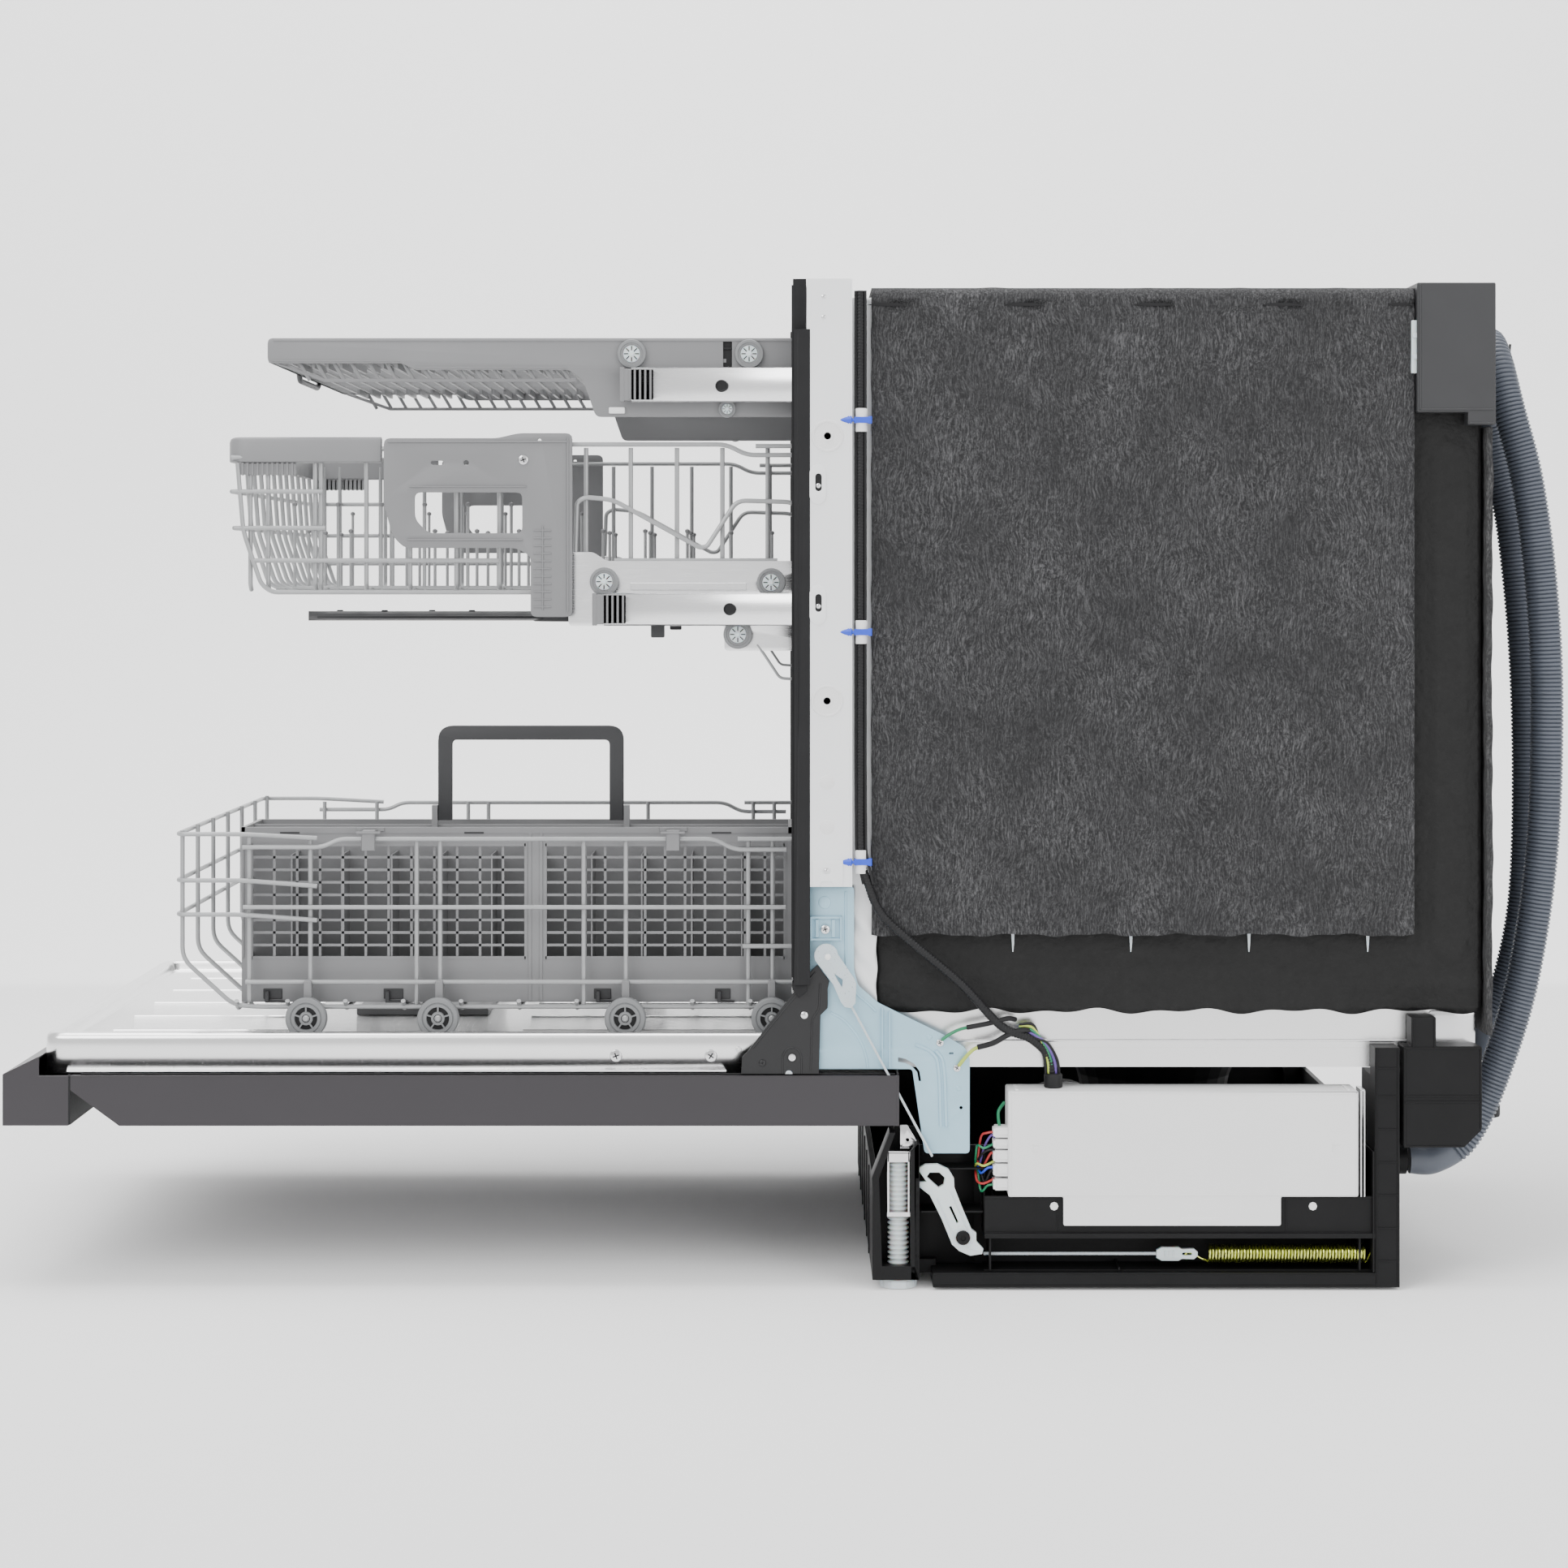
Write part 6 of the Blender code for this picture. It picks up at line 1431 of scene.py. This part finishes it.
def cutlery_basket():
    """Gridded walls, dividers, clips and feet of the basket."""
    x0, x1 = 0.13, 0.235
    y0, y1 = -0.442, 0.036
    z0, z1 = 0.2372, 0.389
    mid = -0.1866
    grid_low, grid_high = 0.2757, 0.3738
    halves = ((y0 + 0.0085, mid - 0.0085), (mid + 0.0085, y1 - 0.006))
    wall = 0.0024
    items = [(x0 + 0.001, x1 - 0.001, y0 + 0.001, y1 - 0.001, z0 + 0.0004, z0 + 0.0024)]
    for xa, xb in ((x1 - wall, x1), (x0, x0 + wall)):
        items += [(xa, xb, y0, y1, z0, grid_low), (xa, xb, y0, y1, grid_high, z1 - 0.001),
                  (xa, xb, y0, halves[0][0], grid_low, grid_high),
                  (xa, xb, halves[0][1], halves[1][0], grid_low, grid_high),
                  (xa, xb, halves[1][1], y1, grid_low, grid_high)]
        for edge in (mid - 0.0048, mid + 0.0048):
            items.append((xa - 0.0007, xb + 0.0007, edge - 0.0012, edge + 0.0012, z0 + 0.001, z1 - 0.002))
        for a, b in halves:
            columns = 12
            for i in range(1, columns):
                y = a + (b - a) * i / columns
                items.append((xa + 0.0003, xb - 0.0003, y - 0.0011, y + 0.0011, grid_low, grid_high))
            for i in range(1, 9):
                z = grid_low + (grid_high - grid_low) * i / 9
                items.append((xa + 0.0003, xb - 0.0003, a, b, z - 0.0011, z + 0.0011))
            for edge in (a, b):
                items.append((xa - 0.0004, xb + 0.0004, edge - 0.0012, edge + 0.0012, grid_low - 0.002,
                              grid_high + 0.002))
            for edge in (grid_low, grid_high):
                items.append((xa - 0.0004, xb + 0.0004, a, b, edge - 0.0012, edge + 0.0012))
    inset = 0.0005
    for ya, yb in ((y0, y0 + wall), (y1 - wall, y1)):
        items += [(x0 + inset, x1 - inset, ya, yb, z0 + inset, grid_low),
                  (x0 + inset, x1 - inset, ya, yb, grid_high, z1 - 0.002)]
        for i in range(6):
            x = x0 + (x1 - x0) * i / 5
            items.append((x - 0.0012, x + 0.0012, ya + 0.0003, yb - 0.0003, grid_low, grid_high))
        for i in range(1, 9):
            z = grid_low + (grid_high - grid_low) * i / 9
            items.append((x0 + inset, x1 - inset, ya + 0.0003, yb - 0.0003, z - 0.001, z + 0.001))
    items += [(x0 - 0.0006, x1 + 0.0006, ya, yb, z1 - 0.0052, z1) for ya, yb in
              ((y0 - 0.0006, y0 + 0.003), (y1 - 0.003, y1 + 0.0006))]
    items += [(xa, xb, y0, y1, z1 - 0.0052, z1) for xa, xb in ((x0 - 0.0006, x0 + 0.0034),
                                                              (x1 - 0.0034, x1 + 0.0006))]
    items.append((0.1812, 0.1838, y0 + inset, y1 - inset, z0 + inset, z1 - 0.001))
    for i in range(1, 11):
        y = y0 + (y1 - y0) * i / 11
        items.append((x0 + inset, x1 - inset, y - 0.0006, y + 0.0006, z0 + inset, z1 - 0.024))
    for y in (-0.27, -0.1186):
        outward = -1 if y < -0.2 else 1
        lug = sorted((y + outward * 0.0065, y + outward * 0.0115))
        items.append((0.1765, 0.1885, *lug, z1 - 0.01, 0.405))
    boxes("gridded_basket", items, "grey", "lower_rack", ("cutlery_basket",), bevel=0.0)
    clips = []
    for y in (-0.3298, -0.0667):
        clips += [(x1, 0.254, y - 0.006, y + 0.006, 0.385, 0.3872),
                  (0.252, 0.254, y - 0.006, y + 0.006, 0.37, 0.3872),
                  (x1 - 0.001, x1 + 0.0022, y - 0.012, y + 0.012, 0.3856, 0.389),
                  (0.252, 0.2548, y - 0.0105, y + 0.0105, 0.3846, 0.3866)]
    boxes("basket_clips", clips, "grey", "lower_rack", bevel=0.0006)
    notches = []
    for ya, yb in ((-0.423, -0.4067), (-0.3185, -0.3016), (-0.1358, -0.121), (-0.0307, -0.0173)):
        notches += [(x1 - 0.0002, x1 + 0.0012, ya, yb, 0.24, 0.249),
                    (x1 - 0.0002, x1 + 0.0062, ya + 0.002, ya + 0.0055, 0.2378, 0.247),
                    (x1 - 0.0002, x1 + 0.0062, ya + 0.002, yb + 0.004, 0.2372, 0.2388)]
    boxes("basket_feet", notches, "dark", "lower_rack", bevel=0.0006)
    # Dark bars on the rim: painted shade in the basket's slits.
    boxes("basket_slit_shade", [(x1 + 0.0002, x1 + 0.001, y - 0.0085, y + 0.0085, 0.3835, 0.385)
                           for y in (-0.24, -0.025, -0.4)], "dark", "lower_rack", bevel=0.0002)


def basket_handle():
    """The folding handle with its pins, in dark grey as painted shade on the basket's grey plastic."""
    y0, y1 = -0.275, -0.1136
    top, low = 0.474, 0.393
    inner = 0.01
    ring = [(y0, low), (y0, top), (y1, top), (y1, low), (y1 - inner, low), (y1 - inner, top - inner),
            (y0 + inner, top - inner), (y0 + inner, low)]
    outer = round_bends([(p[0], p[1], 0.0) for p in ring[:4]], 0.012, 6)
    inside = round_bends([(p[0], p[1], 0.0) for p in ring[4:]], 0.006, 6)
    outline = [(p[0], p[1]) for p in [*outer, *inside]]
    # The handle is the basket's grey plastic; its dark grey finish is painted shade, from the shaded inner
    # side of the handle.
    plate("folding_handle", [outline], 0.1778, 0.1872, "dark", "basket_handle", ("basket_handle",),
          bevel=0.0012)
    turned("handle_pins", [([(0, -0.0055), (0.0028, -0.0055), (0.003, -0.0045), (0.003, 0.0055)],
                            (0.1825, y0 - 0.001, 0.399), "Y"),
                           ([(0.003, -0.0055), (0.003, 0.0045), (0.0028, 0.0055), (0, 0.0055)],
                            (0.1825, y1 + 0.001, 0.399), "Y")], "dark", "basket_handle", steps=18)
    rods("handle_grip_ribs", [[(x, y0 + 0.02, top), (x, y1 - 0.02, top)] for x in (0.18, 0.1825, 0.185)],
         0.0006, "dark", "basket_handle", bend=0)


def roller_wheels(name, places, body):
    """A grey tread round a white hub whose radial slot openings are black bars of painted shade, at (x, y, z,
    radius, side sign).
    """
    tread = bmesh.new()
    hub = bmesh.new()
    shaded_slots = bmesh.new()
    for x, y, z, r, sign in places:
        where = (sign * x, y, z)
        side = facing(sign)
        lathe(tread, [(0.6 * r, -0.0016), (0.96 * r, -0.0018), (r, -0.0008), (r, 0.001), (0.96 * r, 0.0024),
                      (0.8 * r, 0.0026), (0.76 * r, 0.0018), (0.66 * r, 0.0018), (0.6 * r, 0.0012),
                      (0.6 * r, -0.0016)], where, side, 32)
        lathe(hub, [(0, 0.0034), (0.14 * r, 0.0034), (0.18 * r, 0.0024), (0.34 * r, 0.0022),
                    (0.56 * r, 0.002), (0.6 * r, 0.0012), (0.6 * r, -0.0012)], where, side, 24)
        # Black bars on the white hub: painted shade standing for the hub's radial slot openings.
        for i in range(8):
            place = (Matrix.Translation((sign * (x + 0.0022), y, z))
                     @ Matrix.Rotation(math.pi * i / 4, 4, "X")
                     @ Matrix.Translation((0, 0, 0.38 * r)) @ Matrix.Diagonal((0.0006, 0.07 * r, 0.3 * r, 1)))
            bmesh.ops.create_cube(shaded_slots, size=1.0, matrix=place)
    seat(from_bmesh(name, tread), "wheel", body)
    seat(from_bmesh(name + "_hub", hub), "nylon", body)
    seat(from_bmesh(name + "_slots", shaded_slots), "cable", body)


# ---------------------------------------------------------------- middle rack
def middle_rack():
    """Wires, tines, trim, side plates and water inlet of the middle rack."""
    x = 0.247
    rear = 0.084
    trim_z = (0.7049, 0.7278)
    front_y = (-0.4331, -0.4177, -0.3769, -0.372, -0.3326, -0.2947, -0.2546, -0.2174)
    rear_y = (-0.1422, -0.1035, -0.0635, -0.0241, 0.0152, 0.055)
    paths = []
    for sign in (1, -1):
        s = sign * x
        for z, y0, y1 in ((0.6804, -0.4486, -0.37), (0.6488, -0.4465, -0.368), (0.6207, -0.43, -0.2174),
                          (0.6207, -0.1176, 0.0237)):
            paths += in_plane(s, [(y0, z), (y1, z)])
        paths += in_plane(
            s,
            [(-0.4437, 0.705), (-0.4387, 0.646), (-0.4233, 0.6003), (-0.4141, 0.5933), (rear, 0.5933)],
            [(-0.1626, 0.7212), (-0.0206, 0.7212), (-0.003, 0.712), (rear, 0.712)],
            [(0.0047, 0.7198), (rear, 0.7198)],
            [(-0.1513, 0.6284), (-0.1499, 0.6713), (-0.1429, 0.6755), (-0.119, 0.6734), (-0.0438, 0.6319),
             (-0.0375, 0.6326), (-0.0115, 0.6727), (0.037, 0.6713), (0.07, 0.648), (rear, 0.648)])
        inner = s - sign * 0.004
        for top, places in ((0.718, front_y), (0.7184, rear_y)):
            for y in places:
                paths.append([(inner, y, top), (inner, y, 0.6), (inner - sign * 0.006, y, SHELF_FLOOR)])
        paths += in_plane(s, [(-0.449, 0.71), (-0.33, 0.71), (-0.3189, 0.718), (-0.156, 0.7212)])
    for fx in (-0.2, -0.16, -0.12, -0.08, -0.04, 0.0, 0.04, 0.08, 0.12, 0.16, 0.2):
        paths += in_plane(fx, [(-0.443, 0.705), (-0.4387, 0.646), (-0.4233, 0.6003), (-0.41, SHELF_FLOOR),
                               (rear, SHELF_FLOOR), (rear, 0.712)])
    for y in (-0.41, *front_y[3:], *rear_y, 0.08):
        paths.append([(-x + 0.01, y, SHELF_FLOOR), (x - 0.01, y, SHELF_FLOOR)])
    for y, z in ((-0.4486, 0.6804), (-0.4465, 0.6488), (rear, 0.712), (rear, 0.7198), (rear, 0.648),
                 (rear, 0.5933)):
        paths.append([(-x, y, z), (x, y, z)])
    rods("wire_middle_rack", paths, 0.002, "wire", "middle_rack", ("middle_rack",), bend=0.008, sides=2)
    tines = []
    knobs = []
    for tx, count in ((-0.205, 7), (-0.115, 10), (0.0, 12), (0.115, 10), (0.205, 7)):
        for i in range(count):
            y = -0.4 + 0.038 * i
            top = 0.648 if abs(tx) < 0.15 else 0.67
            tines.append([(tx, y, SHELF_FLOOR), (tx, y, top)])
            knobs.append(([(0, -0.0022), (0.002, -0.0012), (0.0024, 0), (0.002, 0.0014), (0, 0.0024)],
                          (tx, y, top), "Z"))
        tines.append([(tx, -0.402, 0.5973), (tx, -0.4 + 0.038 * (count - 1), 0.5973)])
    rods("cup_tines", tines, 0.0014, "wire", "middle_rack", bend=0, sides=2)
    turned("tine_knobs", knobs, "grey", "middle_rack", steps=10)
    bar = round_bends([(0.25, -0.3189, 0.0), (0.25, -0.453, 0.0), (-0.25, -0.453, 0.0),
                       (-0.25, -0.3189, 0.0)], 0.022, 8)
    section = [(-0.006, trim_z[0]), (0.0, trim_z[0] + 0.0012), (0.0, trim_z[1] - 0.0045),
               (-0.0012, trim_z[1] - 0.0014), (-0.004, trim_z[1]), (-0.0075, trim_z[1] - 0.0012),
               (-0.0085, trim_z[1] - 0.0045), (-0.0085, trim_z[0] + 0.0014)]
    bm = bmesh.new()
    rings = []
    for i, point in enumerate(bar):
        run = (bar[min(i + 1, len(bar) - 1)] - bar[max(i - 1, 0)]).normalized()
        outward = Vector((-run.y, run.x, 0)) * -1
        if outward.dot(point - Vector((0, -0.2, 0))) < 0:
            outward = -outward
        rings.append([bm.verts.new((point.x + outward.x * a, point.y + outward.y * a, z))
                      for a, z in section])
    for first, second in zip(rings, rings[1:]):
        for k in range(len(section)):
            n = (k + 1) % len(section)
            bm.faces.new((first[k], first[n], second[n], second[k]))
    bm.faces.new(rings[0])
    bm.faces.new(rings[-1])
    seat(from_bmesh("rack_trim", bm), "grey", "middle_rack", (), 0.0008)
    ribs = []
    for sign in (1, -1):
        for i in range(11):
            y = -0.4404 + 0.0043 * i
            ribs.append(side_box(sign, 0.244, 0.2478, y, y + 0.0022, 0.6944, 0.7056))
        ribs.append(side_box(sign, 0.244, 0.247, -0.442, -0.393, 0.695, 0.705))
    boxes("trim_clips", ribs, "grey", "middle_rack", bevel=0.0004)
    for side, sign in SIDES:
        upper = [(-0.1567, 0.5645), (-0.1567, 0.6277), (-0.136, 0.6277), (-0.124, 0.62), (0.084, 0.62),
                 (0.084, 0.543), (-0.022, 0.543), (-0.022, 0.5645)]
        plate(f"runner_plate_{side}", [upper], sign * 0.2484, sign * 0.25, "steel_y", "middle_rack",
              bevel=0.0003, corner=0.003)
        side_boxes(f"runner_folds_{side}", sign, [
            (0.244, 0.2496, -0.136, 0.084, 0.6188, 0.6202),
            (0.2498, 0.251, -0.1034, -0.003, 0.595, 0.6014)], "steel_y", "middle_rack",
            bevel=0.0005)
        roller_wheels(f"runner_rollers_{side}", [(0.2546, y, z, 0.0125, sign) for y, z in
                                                 ((-0.126, 0.6024), (0.0181, 0.6017), (-0.0106, 0.5569))],
                      "middle_rack")
        side_boxes(f"runner_tabs_{side}", sign, [(0.248, 0.252, -0.0858, -0.0739, 0.554, 0.566)],
                   "dark", "middle_rack", bevel=0.0012)
        hook = [(0.006, 0.548), (0.011, 0.5413), (0.0258, 0.5189), (0.037, 0.5182)]
        rods(f"runner_hook_{side}", in_plane(sign * 0.249, hook), 0.0013, "wire", "middle_rack", bend=0.004)
    shaft = [(0, 0.596), (0.02, 0.596), (0.0215, 0.594), (0.0215, 0.59), (0.0185, 0.588),
             (0.0185, 0.579), (0.023, 0.5775), (0.023, 0.5765), (0, 0.5765)]
    turned("spray_bearing", [(shaft, (0, -0.176, 0), "Z")], "grey", "middle_rack", steps=36)
    boxes("water_pipe", [(-0.014, 0.014, -0.176, 0.084, 0.58, 0.593)], "grey", "middle_rack",
          bevel=0.0045)
    turned("water_inlet", [([(0, 0.0), (0.017, 0.0), (0.019, 0.002), (0.019, 0.006), (0.015, 0.008),
                             (0.015, 0.012), (0, 0.012)], (0, 0.073, 0.5865), "Y")], "grey",
           "middle_rack", steps=30)


def middle_brackets():
    """Height brackets on both sides of the middle rack."""
    web_x = 0.256
    outline = [(-0.3155, 0.7257), (-0.218, 0.7257), (-0.2, 0.73), (-0.154, 0.73), (-0.154, 0.5725),
               (-0.1887, 0.5725), (-0.1887, 0.625), (-0.202, 0.632), (-0.298, 0.632), (-0.308, 0.642),
               (-0.3155, 0.67)]
    window = [(-0.29, 0.68), (-0.29, 0.656), (-0.278, 0.6437), (-0.196, 0.6437), (-0.196, 0.68)]
    body = "middle_rack"
    for side, sign in SIDES:
        hole = round_bends([(p[0], p[1], 0.0) for p in window], 0.006, 4, closed=True)
        plate(f"height_bracket_{side}", [outline, [(p[0], p[1]) for p in hole],
                                         circle(-0.1816, 0.7243, 0.0022, 14),
                                         circle(-0.245, 0.705, 0.003, 16),
                                         oval(-0.27, 0.705, 0.006, 0.0024)],
              sign * 0.253, sign * 0.2565, "grey", body, (f"middle_bracket_{side}",), bevel=0.0006,
              corner=0.005)
        raised = [side_box(sign, web_x, 0.2574, -0.1795, -0.1783, 0.578, 0.6507)]
        for i in range(11):
            z = 0.58 + 0.0066 * i
            raised.append(side_box(sign, web_x, 0.2573, -0.187, -0.1715, z, z + 0.0012))
        raised += [side_box(sign, web_x, 0.2576, -0.313, -0.157, 0.7225, 0.724),
                   side_box(sign, web_x, 0.2576, -0.296, -0.196, 0.638, 0.6394),
                   side_box(sign, web_x, 0.2576, -0.158, -0.1564, 0.576, 0.727),
                   side_box(sign, web_x, 0.2575, -0.294, -0.193, 0.6838, 0.685)]
        boxes(f"bracket_ribs_{side}", raised, "grey", body, bevel=0.0003)
        screws(f"bracket_screw_{side}", [(0.2566, -0.1956, 0.7075)], 0.0046, sign, "chrome", body, 0.0014)


def rails():
    """The channels that both upper racks run on, with their end caps."""
    back_x = 0.2662
    open_x = 0.2585
    for side, sign in SIDES:
        for name, node, body, (y0, y1), (z0, z1), hole in (
                ("middle_runner", f"middle_rail_{side}", "middle_rails", (-0.1357, 0.355), (0.5646, 0.5926),
                 (-0.0175, 0.5787)),
                ("third_runner", f"third_rail_{side}", "third_rails", (-0.112, 0.375), (0.757, 0.7867),
                 (-0.0245, 0.7707))):
            lip = 0.0055
            section = [(open_x, z0 + lip), (open_x, z0 + 0.0012), (0.2597, z0), (0.265, z0),
                       (back_x, z0 + 0.0015), (back_x, z1 - 0.0015), (0.265, z1), (0.2597, z1),
                       (open_x, z1 - 0.0012), (open_x, z1 - lip)]
            bm = bmesh.new()
            ends = [[bm.verts.new((sign * px, y, pz)) for px, pz in section] for y in (y0 + 0.01, y1)]
            for k in range(len(section) - 1):
                bm.faces.new((ends[0][k], ends[0][k + 1], ends[1][k + 1], ends[1][k]))
            channel = thicken(from_bmesh(f"{name}_{side}", bm), 0.0011)
            seat(channel, "steel_y", body, (node,))
            cap = [side_box(sign, 0.2588, back_x, y0, y0 + 0.0295, z0 + 0.0012, z1 - 0.0012),
                   side_box(sign, 0.2582, 0.2665, y0, y0 + 0.004, z0, z1)]
            cap += [side_box(sign, 0.2655, 0.2668, y0 + 0.0075 + 0.0045 * i, y0 + 0.0095 + 0.0045 * i,
                             z0 + 0.002, z1 - 0.002) for i in range(5)]
            boxes(f"{name}_cap_{side}", cap, "grey", body, bevel=0.001)
            # Flat black discs at the holes in the rail's back: painted shade in the holes.
            hole_shade = [(0, 0.0003), (0.0038, 0.0003), (0.0044, 0.0008), (0.0052, 0.0007), (0.0054, 0.0)]
            studs(f"{name}_hole_{side}", sign, hole_shade, [
                (sign * back_x, *hole), (sign * back_x, hole[0] + 0.19, hole[1])], "cable", body, steps=20)


# ---------------------------------------------------------------- third rack
def third_rack():
    """The grey tray with its cheeks, mesh, fingers and rollers."""
    edge_z = 0.7918
    low_x = 0.248
    x = 0.251
    outline = [(-0.4161, 0.8121), (-0.4161, edge_z), (-0.3003, edge_z), (-0.29, 0.7862), (-0.156, 0.7862),
               (-0.143, 0.7755), (-0.1327, 0.7455), (0.085, 0.7455), (0.085, 0.8121)]
    slot = [(-0.024, 0.8107), (-0.0149, 0.8107), (-0.0149, 0.7869), (-0.024, 0.7869)]
    for side, sign in SIDES:
        plate(f"tray_cheek_{side}", [outline, slot], sign * 0.2492, sign * 0.253, "grey", "third_rack",
              bevel=0.0008, corner=0.004)
        # Black blocks set in the cheek's slot: painted shade in the opening.
        side_boxes(f"tray_slot_shade_{side}", sign, [
            (0.2494, 0.2508, -0.0238, -0.0151, 0.7871, 0.8105),
            (0.25, 0.2524, -0.023, -0.0159, 0.803, 0.805)], "cable", "third_rack", bevel=0.0003)
        roller_wheels(f"tray_rollers_{side}", [(0.2548, -0.1022, 0.799, 0.0125, sign),
                                               (0.2548, -0.0008, 0.799, 0.0125, sign),
                                               (0.2548, -0.0197, 0.7514, 0.0076, sign)], "third_rack")
        side_boxes(f"tray_clip_{side}", sign, [(0.2524, 0.2556, -0.122, -0.108, 0.7475, 0.753)], "light",
                   "third_rack", bevel=0.001)
        side_boxes(f"tray_rim_{side}", sign, [
            (0.247, 0.2536, -0.412, 0.0848, 0.8098, 0.8119),
            (0.2526, 0.2536, -0.29, -0.158, 0.7868, 0.788),
            (0.2526, 0.2536, -0.414, -0.302, 0.7924, 0.7936)], "grey", "third_rack")
    floor = 0.794
    items = []
    pitch = 0.014
    count_y = 36
    for i in range(count_y):
        y = -0.414 + pitch * i
        items.append((-x, x, y - 0.0013, y + 0.0013, floor - 0.0022, floor + 0.001))
    count_x = int(2 * x / pitch)
    for i in range(1, count_x):
        px = -x + 2 * x * i / count_x
        items.append((px - 0.0013, px + 0.0013, -0.415, 0.0845, floor - 0.0018, floor + 0.0006))
    items += [(-x, x, -0.4161, -0.4125, edge_z, 0.8119), (-x, x, 0.0815, 0.0848, 0.786, 0.8119),
              (-0.0017, 0.0017, -0.414, 0.084, floor - 0.002, 0.806),
              (-0.128, -0.125, -0.414, 0.084, floor - 0.002, 0.803),
              (0.125, 0.128, -0.414, 0.084, floor - 0.002, 0.803)]
    for sign in (1, -1):
        for i in range(22):
            y = -0.39 + 0.012 * i
            items.append(side_box(sign, 0.17, low_x, y - 0.0012, y + 0.0012, 0.787, floor - 0.001))
    boxes("tray_mesh", items, "grey", "third_rack", ("third_rack",), bevel=0.0)
    slats = []
    for sign in (1, -1):
        for k in range(2):
            for i in range(34):
                y = -0.402 + 0.0143 * i
                finger = sign * (0.06 + 0.125 * k)
                slats.append([(finger, y, floor), (finger, y, floor + 0.015)])
    rods("cutlery_fingers", slats, 0.0014, "grey", "third_rack", bend=0, sides=2)
    grip = round_bends([(-0.07, -0.415, 0.7935), (-0.06, -0.4156, 0.787), (0.06, -0.4156, 0.787),
                        (0.07, -0.415, 0.7935)], 0.006, 5)
    rods("tray_grip", [grip], 0.0026, "dark", "third_rack", bend=0)
    lips = []
    for sign in (1, -1):
        lips.append([(sign * low_x, -0.4104, edge_z), (sign * low_x, -0.3677, 0.7766),
                     (sign * low_x, -0.15, 0.7766)])
        for i in range(16):
            y = -0.39 + 0.015 * i
            lips.append([(sign * low_x, y, edge_z), (sign * low_x, y + 0.009, 0.7766)])
    rods("tray_lattice", lips, 0.0016, "grey", "third_rack", bend=0, sides=2)


# ---------------------------------------------------------------- put together
camera_and_light()
drain_hose()
insulation_blanket()
damping_mat()
rear_mat()
tub()
rear_bracket()
front_frame()
door_seal()
hinge_plates()
hinge_arms()
balance_links()
cord_guides()
balance_cords_and_springs()
base()
feet()
inlet_tank()
control_box()
cabling()
wash_system()
spray_arm("lower_spray_blade", "lower_spray_arm", "lower_spray_arm", (0.0, 0.338), 0.238, 0.2175, "grey")
spray_arm("middle_spray_blade", "middle_spray_arm", "middle_spray_arm", (0.0, -0.176), 0.24, 0.5705, "dark")
door()
dispenser()
lower_rack()
wheels()
cutlery_basket()
basket_handle()
middle_rack()
middle_brackets()
rails()
third_rack()
